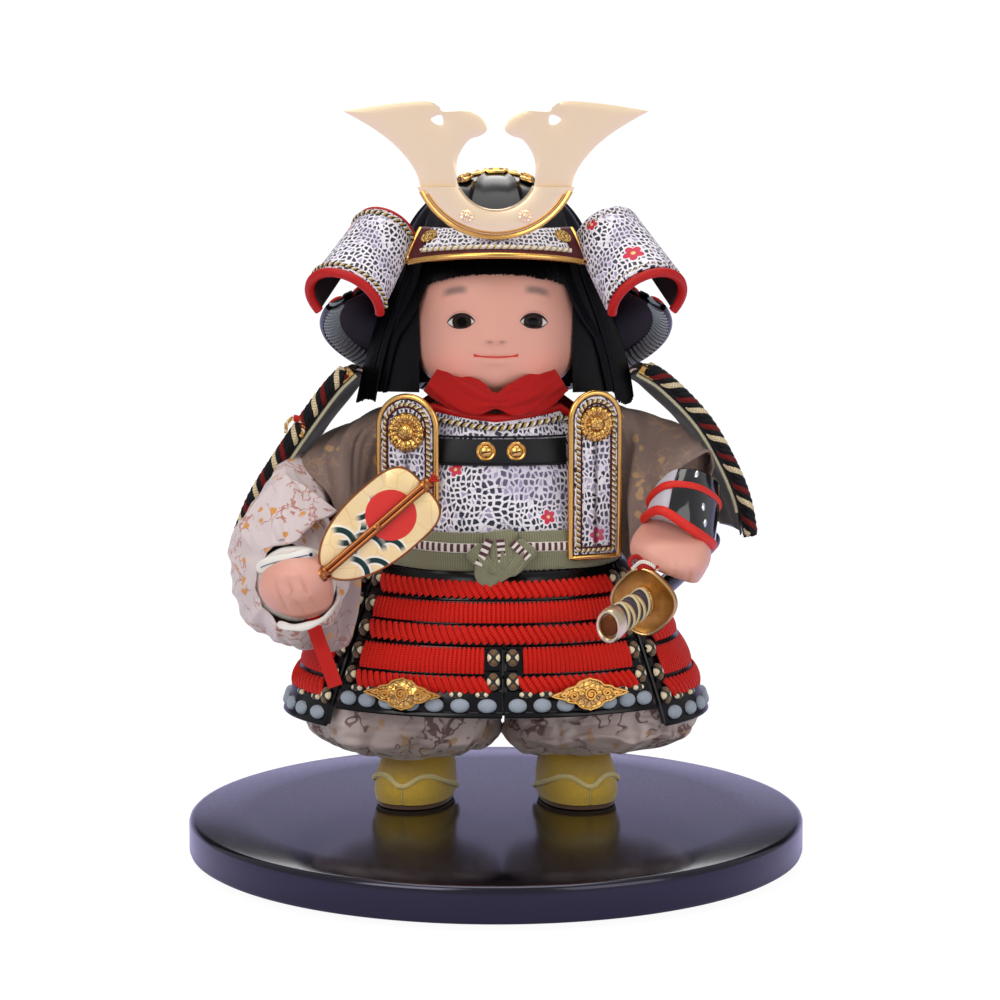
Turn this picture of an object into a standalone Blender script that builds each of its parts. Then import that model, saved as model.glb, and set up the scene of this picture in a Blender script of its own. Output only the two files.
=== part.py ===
"""Samurai doll in lamellar armour on a round lacquered stand, at its real size.

Metres, +Z up. The origin is the centre of the stand's underside and the doll faces -Y.
Left and right in the names are the doll's own: its right hand, with the fan, is at -X.
Every piece of the doll hangs on the empty "doll", whose origin lies on the stand's top under
the doll's upright axis. The helmet's pieces hang on the empty "helmet", which is tipped back.
"""

import math

import bmesh
import bpy
import numpy as np
from mathutils import Matrix, Vector

# Fits
GAP = 0.0003  # between pieces that touch
SEAT_GAP = 0.00045  # how far a spacer stands off the piece that it copies

# Stand
STAND_RADIUS = 0.150
STAND_HEIGHT = 0.018
STAND_BEVEL = 0.0015
DOLL_Y = 0.025  # the doll's axis lies behind the stand's centre
BEAD_SIDES = 6

# Boots
BOOT_X = 0.040
BOOT_Y = -0.001
BOOT_TURN = math.radians(13)
BOOT_LENGTH = 0.056
BOOT_WIDTH = 0.0385
BOOT_SHAFT_HEIGHT = 0.040
SOLE_THICKNESS = 0.0022

# Trousers
LEG_PARTING_X = 0.003
LEG_HEM_Z = 0.0235
TROUSER_TOP_Z = 0.094
LEG_HALF_WIDTH = 0.0476
LEG_HALF_DEPTH = 0.049
LEG_FOLDS = 9

# Body and cuirass: half width and half depth at each height
TORSO_LEVELS = (
    (0.094, 0.058, 0.052),
    (0.120, 0.060, 0.055),
    (0.145, 0.059, 0.055),
    (0.170, 0.057, 0.051),
    (0.190, 0.051, 0.046),
    (0.206, 0.043, 0.040),
)
BODY_POWER = 2.3  # 2 is an ellipse, more is squarer
CUIRASS_WALL = 0.002
CUIRASS_BOTTOM_Z = 0.1235
NECKLINE_Z = 0.194
SHOULDER_RIM_Z = 0.1985
ARMHOLE_Z = 0.166
NECK_CORD_RADIUS = 0.0016
CORE_EASE = 0.0025
ARM_CLEARANCE = 0.0014
NECK_SHOWN = 0.014  # from the top of the core to the underside of the head
NECK_SUNK = 0.018  # how far the neck stands up inside the head
NECK_RADIUS = 0.013
NECK_Y = -0.010

# Band, sash and shoulder plates on the cuirass
BAND_LOW_Z = 0.1735
BAND_HIGH_Z = 0.1875
BAND_THICKNESS = 0.0009
BAND_HALF_WIDTH = 0.034
SASH_LOW_Z = 0.1235
SASH_HIGH_Z = 0.1425
SASH_THICKNESS = 0.0028
KNOT_X = 0.003
KNOT_WIDTH = 0.016
KNOT_THICKNESS = 0.005
PLATE_THICKNESS = 0.0022
PLATE_RIM_RADIUS = 0.0013
PLATE_LEAN = math.radians(22)
RIGHT_PLATE_X = -0.0425
RIGHT_PLATE_WIDTH = 0.0265
RIGHT_PLATE_TOP_Z = 0.2045
RIGHT_PLATE_LOW_Z = 0.152
LEFT_PLATE_X = 0.0475
LEFT_PLATE_WIDTH = 0.022
LEFT_PLATE_TOP_Z = 0.2065
LEFT_PLATE_LOW_Z = 0.131
ROSETTE_RADIUS = 0.0088
ROSETTE_HEIGHT = 0.0034

# Skirt of laced lames
SKIRT_TOP_Z = SASH_LOW_Z - GAP
SKIRT_THICKNESS = 0.0028
SKIRT_POWER = 2.1
SKIRT_BULGE = 0.0016
FRONT_SPLIT_Z = 0.0865
FRONT_BOTTOM_Z = 0.0565
SIDE_BOTTOM_Z = 0.0475
SKIRT_BOTTOM_HALF_WIDTH = 0.1005
SKIRT_BOTTOM_HALF_DEPTH = 0.0735
HEM_HEIGHT = 0.0095
HEM_KNOTS = 7
HEM_KNOT_BULGE = 0.0034
FRONT_TOP_HALF_WIDTH = 0.056
FRONT_BOTTOM_HALF_WIDTH = 0.0755
PANEL_SPACING = math.radians(3.5)
ORNAMENT_LENGTH = 0.038
ORNAMENT_HEIGHT = 0.0155
ORNAMENT_THICKNESS = 0.0016
ORNAMENT_SINK = 0.0008  # it lies a little between the knots of the hem

# Arms, hands and what they hold: paths run from the shoulder, mirrored for the right arm
SLEEVE_FOLD = 0.0012
RIGHT_SLEEVE_PATH = (
    (0.050, 0.000, 0.1875),
    (0.074, -0.004, 0.170),
    (0.089, -0.018, 0.148),
    (0.098, -0.042, 0.128),
    (0.1025, -0.060, 0.118),
)
RIGHT_SLEEVE_SIZES = ((0.014, 0.015), (0.016, 0.019), (0.018, 0.026), (0.023, 0.032), (0.025, 0.036))
CUFF_RADIUS = 0.0135
RIGHT_FIST = (-0.0955, -0.0845, 0.1150)
LEFT_SLEEVE_PATH = (
    (0.050, 0.000, 0.1875),
    (0.0725, -0.0105, 0.1690),
    (0.087, -0.030, 0.1675),
    (0.0955, -0.045, 0.1665),
)
LEFT_SLEEVE_SIZES = ((0.014, 0.015), (0.016, 0.0250), (0.0165, 0.0172), (0.0165, 0.0165))
GUARD_PATH = ((0.0955, -0.045, 0.1665), (0.093, -0.053, 0.158), (0.085, -0.060, 0.146))
GUARD_SIZES = ((0.0155, 0.0160), (0.0145, 0.0155), (0.0120, 0.0130))
LEFT_FIST = (0.0820, -0.0575, 0.1330)
FIST_LENGTH = 0.036
FIST_DEPTH = 0.030
FINGER_SWELL = 0.06
FAN_FOOT = (-0.0798, -0.0905, 0.1286)
FAN_TURN = math.radians(41)
FAN_LENGTH = 0.0615
FAN_HALF_WIDTH = 0.0178
FAN_THICKNESS = 0.0014
FAN_ROD_RADIUS = 0.0017
FAN_HANDLE = 0.020
SWORD_GUARD_CENTRE = (0.0694, -0.0770, 0.1124)
SWORD_YAW = math.radians(-23.7)
SWORD_PITCH = math.radians(6)
SWORD_GUARD_RADIUS = 0.0165
SWORD_GUARD_THICKNESS = 0.0022
HILT_LENGTH = 0.036
HILT_RADIUS = 0.0050
POMMEL_LENGTH = 0.009
SCABBARD_LENGTH = 0.098
SCABBARD_RADIUS = 0.0058
SCABBARD_RISE = 0.006

# Shoulder guards: the path of the laced panel, outward and down
SHOULDER_PATH = ((0.069, 0.2172), (0.081, 0.2095), (0.098, 0.192), (0.110, 0.172), (0.1175, 0.154), (0.121, 0.136))
SHOULDER_FRONT_Y = -0.030
SHOULDER_BACK_Y = 0.028
SHOULDER_THICKNESS = 0.0030
SHOULDER_ROWS = 6
SHOULDER_CROWN = 0.003
CAP_SHARE = 0.12

# Head, hair and scarf: height, half width, half depth and centre of depth
HEAD_LEVELS = (
    (0.2040, 0.0110, 0.0100, -0.0220),
    (0.2075, 0.0240, 0.0210, -0.0160),
    (0.2135, 0.0335, 0.0310, -0.0110),
    (0.2220, 0.0390, 0.0370, -0.0075),
    (0.2320, 0.0412, 0.0400, -0.0050),
    (0.2450, 0.0415, 0.0415, -0.0035),
    (0.2600, 0.0400, 0.0405, -0.0020),
    (0.2740, 0.0350, 0.0360, 0.0005),
    (0.2850, 0.0270, 0.0280, 0.0030),
    (0.2920, 0.0150, 0.0160, 0.0040),
)
HEAD_WIDEST_Z = 0.2320
CORE_TOP_Z = HEAD_LEVELS[0][0] - NECK_SHOWN
NECK_TOP_Z = HEAD_LEVELS[0][0] + NECK_SUNK
HEAD_POWER = 2.2
HAIR_EASE = 0.0010
HAIR_LEVELS = (
    (0.2045, 0.0560, 0.0400),
    (0.2150, 0.0580, 0.0415),
    (0.2280, 0.0580, 0.0420),
    (0.2450, 0.0540, 0.0450),
    (0.2600, 0.0480, 0.0450),
    (0.2720, 0.0440, 0.0430),
)
HAIR_Y = -0.0010
FRINGE_Z = 0.2645
FRINGE_TOP_Z = 0.2800
FRINGE_THICKNESS = 0.0026
FACE_EDGE = math.radians(57)
SCARF_HALF_WIDTH = 0.031
SCARF_Y = -0.0473
SCARF_Z = 0.2055
SCARF_HEIGHT = 0.0135
SCARF_THICKNESS = 0.0075
SCARF_SWEEP = 0.015  # how far its ends run back round the neck
SCARF_LIFT = 0.0075  # how far its ends rise

# Helmet, in its own tipped frame
HELMET_Z = 0.258
HELMET_TILT = math.radians(-25)
BOWL_HALF_WIDTH = 0.0480
BOWL_HALF_DEPTH = 0.0500
BOWL_HEIGHT = 0.0520
BOWL_WALL = 0.0016
BOWL_RIBS = 12
BOWL_RIB_HEIGHT = 0.0012
VISOR_HALF_ANGLE = math.radians(50)
VISOR_TOP_HALF_WIDTH = 0.0470
VISOR_TOP_HALF_DEPTH = 0.0425
VISOR_LOW_HALF_WIDTH = 0.0560
VISOR_LOW_HALF_DEPTH = 0.0610
VISOR_TOP_Z = 0.2860
VISOR_LOW_Z = 0.2755
VISOR_ARCH = 0.0050
VISOR_CROWN = 0.0010
VISOR_THICKNESS = 0.0016
VISOR_RIM_RADIUS = 0.0014
NECK_GUARD_RADIUS = 0.0840
NECK_GUARD_DROP = 0.0220
NECK_GUARD_BACK_DROP = 0.0090
NECK_GUARD_ROWS = 3
NECK_GUARD_OPENING = math.radians(72)
NECK_GUARD_THICKNESS = 0.0024
CREST_Y = -0.0543
CREST_HOLE_RADIUS = 0.0187
CREST_HOLE_Z = VISOR_TOP_Z + 0.0280
CREST_PLATE_RADIUS = 0.0401
CREST_PLATE_CENTRE_Z = VISOR_TOP_Z + 0.0355
CREST_PLATE_HALF_WIDTH = 0.0370
CREST_PLATE_THICKNESS = 0.0018
HORN_THICKNESS = 0.0011
HORN_HOLE_RADIUS = 0.0027
HORN_HOLE_X = -0.0268
HORN_HOLE_UP = 0.0238
HORN_EDGE = (
    (-0.0719, 0.0274),
    (-0.0504, 0.0307),
    (-0.0331, 0.0320),
    (-0.0271, 0.0297),
    (-0.0247, 0.0272),
    (-0.0140, 0.0274),
    (-0.0075, 0.0246),
    (-0.0042, 0.0195),
    (-0.0042, 0.0172),
)
HORN_FOOT = (
    (-0.0160, -0.0140),
    (-0.0330, -0.0140),
    (-0.0355, -0.0084),
    (-0.0369, -0.0028),
    (-0.0406, 0.0037),
    (-0.0471, 0.0111),
    (-0.0546, 0.0172),
    (-0.0635, 0.0228),
)
TURNBACK_TOP = (-0.0528, -0.0240, 0.2830)
TURNBACK_BOTTOM = (-0.0705, -0.0560, 0.2540)
TURNBACK_HALF_ANGLE = math.radians(112)
TURNBACK_RADIUS = 0.0190
TURNBACK_TOP_SHRINK = 0.80
TURNBACK_THICKNESS = 0.0018
TURNBACK_RIM_RADIUS = 0.0021


def clear_scene():
    for obj in list(bpy.data.objects):
        bpy.data.objects.remove(obj, do_unlink=True)


def finish_of(name, colour, roughness, metallic=0.0):
    """A Principled material, made once and shared by name. The colour is linear RGB."""
    found = bpy.data.materials.get(name)
    if found:
        return found
    made = bpy.data.materials.new(name)
    made.use_nodes = True
    shader = made.node_tree.nodes["Principled BSDF"]
    shader.inputs["Base Color"].default_value = (*colour, 1.0)
    shader.inputs["Roughness"].default_value = roughness
    shader.inputs["Metallic"].default_value = metallic
    made.diffuse_color = (*colour, 1.0)
    return made


def lacquer():
    return finish_of("black_lacquer", (0.012, 0.011, 0.014), 0.22)


def gold():
    return finish_of("gilt_metal", (0.83, 0.52, 0.16), 0.28, 1.0)


def pale_gold():
    return finish_of("pale_gilt_metal", (0.86, 0.68, 0.42), 0.35, 1.0)


def red_leather():
    return finish_of("red_leather", (0.55, 0.018, 0.02), 0.55)


def red_lacing():
    return finish_of("red_lacing", (0.62, 0.02, 0.012), 0.7)


def printed_leather():
    return finish_of("printed_leather", (0.55, 0.52, 0.58), 0.6)


def brocade():
    return finish_of("brocade", (0.50, 0.38, 0.35), 0.65)


def skin():
    return finish_of("painted_skin", (0.72, 0.40, 0.33), 0.45)


def hair_silk():
    return finish_of("black_hair", (0.006, 0.006, 0.007), 0.4)


def parent_to(obj, holder, location=(0, 0, 0), rotation=(0, 0, 0)):
    obj.parent = holder
    obj.location = location
    obj.rotation_euler = rotation
    return obj


def make_object(name, bm, finish, holder, location=(0, 0, 0), rotation=(0, 0, 0), crease=40):
    """Puts a bmesh into the scene as one smooth-shaded object that hangs on its holder."""
    bmesh.ops.recalc_face_normals(bm, faces=bm.faces)
    mesh = bpy.data.meshes.new(name)
    bm.to_mesh(mesh)
    bm.free()
    mesh.shade_smooth()
    mesh.set_sharp_from_angle(angle=math.radians(crease))
    mesh.materials.append(finish)
    obj = bpy.data.objects.new(name, mesh)
    bpy.context.scene.collection.objects.link(obj)
    return parent_to(obj, holder, location, rotation)


def empty(name, location, rotation=(0, 0, 0), holder=None):
    obj = bpy.data.objects.new(name, None)
    bpy.context.scene.collection.objects.link(obj)
    return parent_to(obj, holder, location, rotation)


def solid_between(rings):
    """A closed solid lofted through rings of equal length, with both ends capped."""
    bm = bmesh.new()
    rows = [[bm.verts.new(p) for p in ring] for ring in rings]
    for low, high in zip(rows, rows[1:]):
        for i in range(len(low)):
            j = (i + 1) % len(low)
            bm.faces.new((low[i], low[j], high[j], high[i]))
    bm.faces.new(rows[0])
    bm.faces.new(rows[-1])
    return bm


def tube_wall(outer, inner):
    """A closed wall between an outer and an inner stack of rings, open at both ends."""
    bm = bmesh.new()
    rows = [[bm.verts.new(p) for p in ring] for ring in [*outer, *reversed(inner)]]
    for low, high in zip(rows, rows[1:] + rows[:1]):
        for i in range(len(low)):
            j = (i + 1) % len(low)
            bm.faces.new((low[i], low[j], high[j], high[i]))
    return bm


def slab_between(front, back):
    """A closed slab between two grids of points, rows by columns, joined along their borders."""
    bm = bmesh.new()
    sheets = [[[bm.verts.new(p) for p in row] for row in grid] for grid in (front, back)]
    for sheet in sheets:
        for low, high in zip(sheet, sheet[1:]):
            for i in range(len(low) - 1):
                bm.faces.new((low[i], low[i + 1], high[i + 1], high[i]))
    edges = []
    for sheet in sheets:
        top = sheet[0]
        right = [row[-1] for row in sheet[1:]]
        bottom = list(reversed(sheet[-1][:-1]))
        left = [row[0] for row in reversed(sheet[1:-1])]
        edges.append(top + right + bottom + left)
    for i in range(len(edges[0])):
        j = (i + 1) % len(edges[0])
        bm.faces.new((edges[0][i], edges[0][j], edges[1][j], edges[1][i]))
    return bm


def plate_from(outline, thickness):
    """A flat plate: an outline in X and Z, extruded from y = 0 to y = thickness."""
    bm = bmesh.new()
    face = bm.faces.new([bm.verts.new((x, 0, z)) for x, z in outline])
    made = bmesh.ops.extrude_face_region(bm, geom=[face])
    moved = [v for v in made["geom"] if isinstance(v, bmesh.types.BMVert)]
    bmesh.ops.translate(bm, verts=moved, vec=(0, thickness, 0))
    return bm


def turned(profile, sides):
    """A solid turned about Z from a profile of radius and height, starting and ending on the axis."""
    rings = []
    for radius, height in profile:
        turn = [2 * math.pi * i / sides for i in range(sides)]
        rings.append([(radius * math.cos(t), radius * math.sin(t), height) for t in turn])
    return solid_between(rings)


def ball(half_sizes, centre=(0, 0, 0), turn=None, sides=8, rings=5):
    """An ellipsoid as a bmesh, turned by a matrix and moved to its centre."""
    bm = bmesh.new()
    bmesh.ops.create_uvsphere(bm, u_segments=sides, v_segments=rings, radius=1.0)
    place = Matrix.Translation(centre) @ (turn or Matrix.Identity(4)) @ Matrix.Diagonal((*half_sizes, 1.0))
    bmesh.ops.transform(bm, matrix=place, verts=bm.verts)
    return bm


def bead(name, points, radius, finish, holder, normal, closed=False):
    """A round cord or rim along the points. The normal is a direction the path never takes."""
    points = [Vector(p) for p in points]
    last = len(points) - 1
    bm = bmesh.new()
    rows = []
    for i, centre in enumerate(points):
        ahead = points[(i + 1) % len(points)] if closed else points[min(i + 1, last)]
        behind = points[i - 1] if closed else points[max(i - 1, 0)]
        across = (ahead - behind).cross(Vector(normal)).normalized()
        over = (ahead - behind).cross(across).normalized()
        turns = [2 * math.pi * k / BEAD_SIDES for k in range(BEAD_SIDES)]
        rows.append([bm.verts.new(centre + (across * math.cos(t) + over * math.sin(t)) * radius) for t in turns])
    for low, high in zip(rows, rows[1:] + (rows[:1] if closed else [])):
        for k in range(BEAD_SIDES):
            j = (k + 1) % BEAD_SIDES
            bm.faces.new((low[k], low[j], high[j], high[k]))
    if not closed:
        bm.faces.new(rows[0])
        bm.faces.new(rows[-1])
    return make_object(name, bm, finish, holder, crease=70)


def helper(obj):
    obj.hide_render = True
    obj.display_type = "WIRE"
    return obj


def spacer(obj, clearance=SEAT_GAP):
    """A hidden copy of a mesh piece that stands off it all round, to cut its neighbours with."""
    copy = bpy.data.objects.new(obj.name + "_spacer", obj.data.copy())
    bpy.context.scene.collection.objects.link(copy)
    parent_to(copy, obj.parent, obj.location, obj.rotation_euler)
    for modifier in obj.modifiers:
        if modifier.type == "BOOLEAN" and modifier.operation == "UNION":
            same = copy.modifiers.new("union", "BOOLEAN")
            same.operation = "UNION"
            same.object = modifier.object
            same.use_self = modifier.use_self
    swell = copy.modifiers.new("stand_off", "DISPLACE")
    swell.strength = clearance
    swell.mid_level = 0.0
    return helper(copy)


def trim(obj, *cutters):
    for cutter in cutters:
        cut = obj.modifiers.new("trim", "BOOLEAN")
        cut.operation = "DIFFERENCE"
        cut.object = cutter
    return obj


def join(obj, other):
    """One body from two: a Boolean union with a hidden helper."""
    union = obj.modifiers.new("union", "BOOLEAN")
    union.operation = "UNION"
    union.use_self = True
    union.object = helper(other)
    return obj


def squared(angle, half_width, half_depth, power):
    """A point of a superellipse in plan. Angle 0 is the front, and it turns towards +X."""
    s, c = math.sin(angle), math.cos(angle)
    x = math.copysign(abs(s) ** (2 / power), s) * half_width
    y = -math.copysign(abs(c) ** (2 / power), c) * half_depth
    return x, y


def ring_at(height, half_width, half_depth, sides, centre=(0, 0), power=2.0, folds=0, fold=0.0):
    """A closed plan ring, with optional soft folds around it."""
    ring = []
    for i in range(sides):
        angle = 2 * math.pi * i / sides
        swell = 1 + fold * math.cos(folds * angle)
        x, y = squared(angle, half_width * swell, half_depth * swell, power)
        ring.append((centre[0] + x, centre[1] + y, height))
    return ring


def swept(path, sizes, sides, folds=0, fold=0.0):
    """Rings carried along a path. Each size is a half width across and a half height."""
    points = [Vector(p) for p in path]
    rings = []
    for i, centre in enumerate(points):
        along = (points[min(i + 1, len(points) - 1)] - points[max(i - 1, 0)]).normalized()
        across = along.cross(Vector((0, 0, 1))).normalized()
        over = across.cross(along)
        wide, tall = sizes[i]
        ring = []
        for k in range(sides):
            angle = 2 * math.pi * k / sides
            swell = 1 + (fold / wide) * math.cos(folds * angle) * math.sin(math.pi * i / (len(points) - 1))
            ring.append(centre + (across * wide * math.cos(angle) + over * tall * math.sin(angle)) * swell)
        rings.append(ring)
    return solid_between(rings)


def torso_axes(height, out=0.0):
    levels = np.array(TORSO_LEVELS)
    return tuple(np.interp(height, levels[:, 0], levels[:, i]) + out for i in (1, 2))


def torso_point(angle, height, out=0.0):
    x, y = squared(angle, *torso_axes(height, out), BODY_POWER)
    return Vector((x, y, height))


def front_of_torso(x, height, out):
    """The y of the cuirass's front where it is x from the middle, stood off by out."""
    half_width, half_depth = torso_axes(height, out)
    share = min(abs(x) / half_width, 0.999)
    return -half_depth * (1 - share**BODY_POWER) ** (1 / BODY_POWER)


def cuirass_rim(angle):
    """Height of the cuirass's top edge: a neckline, two shoulders, two armholes and a high back."""
    turns = np.radians([0, 38, 60, 90, 120, 145, 180])
    heights = [NECKLINE_Z, SHOULDER_RIM_Z, 0.186, ARMHOLE_Z, 0.186, SHOULDER_RIM_Z, SHOULDER_RIM_Z]
    away = abs((angle + math.pi) % (2 * math.pi) - math.pi)
    return float(np.interp(away, turns, heights))


def build_stand():
    top = STAND_HEIGHT
    edge = STAND_RADIUS - STAND_BEVEL
    profile = [(edge, 0), (STAND_RADIUS, STAND_BEVEL), (STAND_RADIUS, top - STAND_BEVEL), (edge, top)]
    return make_object("display_stand", turned(profile, 48), lacquer(), None)


def build_boot(side, doll):
    """A felt boot: plan rings from the sole up to a shaft inside the trousers, on a thin sole."""
    name = "left" if side > 0 else "right"
    place = (side * BOOT_X, BOOT_Y, GAP)
    turn = (0, 0, side * BOOT_TURN)
    half_length, half_width = BOOT_LENGTH / 2, BOOT_WIDTH / 2
    sole_rings = [ring_at(z, half_width - 0.0008, half_length - 0.0008, 18, power=2.4) for z in (0, SOLE_THICKNESS)]
    yellow = finish_of("mustard_felt", (0.48, 0.33, 0.03), 0.85)
    tan = finish_of("tan_sole", (0.33, 0.17, 0.05), 0.7)
    make_object("boot_sole_" + name, solid_between(sole_rings), tan, doll, place, turn)
    bottom = SOLE_THICKNESS + GAP
    rise = BOOT_SHAFT_HEIGHT - bottom
    levels = (
        (0.00, 0.97, 0.97, 0.000),
        (0.12, 1.00, 1.00, 0.000),
        (0.32, 0.98, 0.94, 0.002),
        (0.50, 0.92, 0.78, 0.006),
        (0.68, 0.84, 0.62, 0.009),
        (1.00, 0.76, 0.49, 0.010),
    )
    rings = []
    for share, wide, long, back in levels:
        rings.append(ring_at(bottom + share * rise, half_width * wide, half_length * long, 18, (0, back), 2.3))
    return make_object("boot_" + name, solid_between(rings), yellow, doll, place, turn)


def build_trouser_leg(side, boot, doll):
    """A full brocade leg, gathered in at the hem round the boot's shaft."""
    name = "left" if side > 0 else "right"
    middle = LEG_PARTING_X + side * (LEG_HALF_WIDTH + GAP)
    boot_x = side * BOOT_X
    rise = TROUSER_TOP_Z - LEG_HEM_Z
    levels = (
        (0.00, 0.40, 0.34, 1.0, 0.06),
        (0.06, 0.70, 0.66, 0.6, 0.09),
        (0.18, 0.94, 0.90, 0.2, 0.05),
        (0.33, 1.00, 0.97, 0.0, 0.03),
        (0.60, 0.86, 0.93, 0.0, 0.01),
        (1.00, 0.50, 0.70, 0.0, 0.0),
    )
    rings = []
    for share, wide, deep, pull, fold in levels:
        centre = (middle + (boot_x - middle) * pull, BOOT_Y + 0.009 * pull)
        swell = 1 + fold
        size = (LEG_HALF_WIDTH * wide / swell, LEG_HALF_DEPTH * deep / swell)
        rings.append(ring_at(LEG_HEM_Z + share * rise, *size, 18, centre, 2.3, LEG_FOLDS, fold))
    leg = make_object("trouser_leg_" + name, solid_between(rings), brocade(), doll)
    return trim(leg, spacer(boot))


def build_body(doll):
    """The stuffed core inside the cuirass, and the neck that stands on it."""
    straw = finish_of("straw_core", (0.42, 0.31, 0.16), 0.9)
    inside = -CUIRASS_WALL - CORE_EASE
    heights = (TROUSER_TOP_Z + GAP, TORSO_LEVELS[1][0], TORSO_LEVELS[2][0], ARMHOLE_Z)
    rings = [[torso_point(2 * math.pi * i / 20, z, inside) for i in range(20)] for z in heights]
    rings.append([torso_point(2 * math.pi * i / 20, CORE_TOP_Z, inside - 0.010) for i in range(20)])
    make_object("body_core", solid_between(rings), straw, doll)
    profile = [(NECK_RADIUS, CORE_TOP_Z + GAP), (NECK_RADIUS, NECK_TOP_Z)]
    return make_object("neck", turned(profile, 16), skin(), doll, (0, NECK_Y, 0))


def build_cuirass(doll):
    """The printed leather cuirass: a wall round the core, cut to a neckline, shoulders and armholes."""
    sides = 24
    shares = (0.0, 0.40, 0.75, 1.0)
    stacks = []
    for out in (0.0, -CUIRASS_WALL):
        stack = []
        for share in shares:
            ring = []
            for i in range(sides):
                angle = 2 * math.pi * i / sides
                height = CUIRASS_BOTTOM_Z + share * (cuirass_rim(angle) - CUIRASS_BOTTOM_Z)
                ring.append(torso_point(angle, height, out))
            stack.append(ring)
        stacks.append(stack)
    cuirass = make_object("cuirass", tube_wall(*stacks), printed_leather(), doll)
    cord = []
    for i in range(sides):
        angle = 2 * math.pi * i / sides
        height = cuirass_rim(angle)
        spot = torso_point(angle, height, -CUIRASS_WALL / 2)
        cord.append(spot + Vector((0, 0, NECK_CORD_RADIUS * 1.25 + GAP)))
    bead("cuirass_edge_cord", cord, NECK_CORD_RADIUS, red_leather(), doll, (0, 0, 1), closed=True)
    heights = (CUIRASS_BOTTOM_Z, *(level[0] for level in TORSO_LEVELS[2:]))
    space = [[torso_point(2 * math.pi * i / sides, z, ARM_CLEARANCE) for i in range(sides)] for z in heights]
    return helper(make_object("body_space", solid_between(space), printed_leather(), doll))


def wrap_on_torso(name, low, high, inside, outside, finish, doll, half_width=None):
    """A strap that follows the cuirass: all round, or only across its front."""
    if half_width is None:
        sides = 24
        stacks = []
        for out in (outside, inside):
            stack = []
            for z in (low, high):
                stack.append([torso_point(2 * math.pi * i / sides, z, out) for i in range(sides)])
            stacks.append(stack)
        return make_object(name, tube_wall(*stacks), finish, doll)
    columns = np.linspace(-half_width, half_width, 13)
    grids = []
    for out in (outside, inside):
        grids.append([[(x, front_of_torso(x, z, out), z) for x in columns] for z in (low, high)])
    return make_object(name, slab_between(*grids), finish, doll)


def build_waist_and_band(doll):
    leather = finish_of("black_leather", (0.015, 0.015, 0.017), 0.45)
    green = finish_of("olive_braid", (0.20, 0.19, 0.11), 0.75)
    outer = GAP + BAND_THICKNESS
    wrap_on_torso("chest_band", BAND_LOW_Z, BAND_HIGH_Z, GAP, outer, leather, doll, BAND_HALF_WIDTH)
    wrap_on_torso("sash", SASH_LOW_Z, SASH_HIGH_Z, GAP, GAP + SASH_THICKNESS, green, doll)
    build_sash_knot(green, doll)


def build_sash_knot(green, doll):
    """The sash's knot: a wrap over the sash."""
    out = GAP * 2 + SASH_THICKNESS
    half, low, high = KNOT_WIDTH / 2, SASH_LOW_Z, SASH_HIGH_Z + 0.001
    outline = [(-half * 0.8, low), (half, low), (half * 1.1, high - 0.003), (half * 0.8, high)]
    outline += [(-half, high), (-half * 1.1, high - 0.006)]
    y = front_of_torso(0, SASH_LOW_Z, out) - KNOT_THICKNESS
    wrap = make_object("sash_knot", plate_from(outline, KNOT_THICKNESS), green, doll, (KNOT_X, y, 0))
    edge = wrap.modifiers.new("soft_edge", "BEVEL")
    edge.width = 0.0012
    edge.segments = 2


def arch_outline(width, low, high, steps=8):
    """A shoulder plate's outline: square below and round above, from the lower right corner."""
    half = width / 2
    spring = high - half
    points = [(half, low), (half, (low + spring) / 2)]
    for i in range(steps + 1):
        angle = math.pi * i / steps
        points.append((half * math.cos(angle), spring + half * math.sin(angle)))
    return [*points, (-half, (low + spring) / 2), (-half, low)]


def build_shoulder_plate(name, middle, width, low, high, doll):
    """A plate that hangs in front of the shoulder joint, with its metal rim and rosette."""
    rim_depth = PLATE_RIM_RADIUS - PLATE_THICKNESS / 2
    over_sash = low < SASH_HIGH_Z
    stand_off = GAP + rim_depth + (GAP + SASH_THICKNESS if over_sash else 0)
    half = width / 2 + 2 * PLATE_RIM_RADIUS
    edge = abs(middle) - half * math.cos(PLATE_LEAN)
    contact = SASH_HIGH_Z if over_sash else low
    depth = front_of_torso(edge, contact, stand_off) + half * math.sin(PLATE_LEAN)
    place = (middle, depth - PLATE_THICKNESS, 0)
    lean = (0, 0, math.copysign(PLATE_LEAN, middle))
    outline = arch_outline(width, low, high)
    make_object(name, plate_from(outline, PLATE_THICKNESS), printed_leather(), doll, place, lean)
    rim_out = PLATE_RIM_RADIUS + GAP
    ring = arch_outline(width + 2 * rim_out, low - rim_out, high + rim_out)
    ring = [(x, PLATE_THICKNESS / 2, z) for x, z in ring]
    rim = bead(name + "_rim", ring, PLATE_RIM_RADIUS, gold(), doll, (0, 1, 0), closed=True)
    parent_to(rim, doll, place, lean)
    profile = [(ROSETTE_RADIUS, 0), (ROSETTE_RADIUS, 0.0008), (ROSETTE_RADIUS * 0.62, 0.0014)]
    profile += [(ROSETTE_RADIUS * 0.42, ROSETTE_HEIGHT * 0.8), (ROSETTE_RADIUS * 0.16, ROSETTE_HEIGHT)]
    hub = Matrix.Rotation(lean[2], 4, "Z") @ Vector((0, -GAP, high - width / 2 - 0.002))
    spot = Vector(place) + hub
    make_object(name + "_rosette", turned(profile, 12), gold(), doll, spot, (math.pi / 2, 0, lean[2]))


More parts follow.
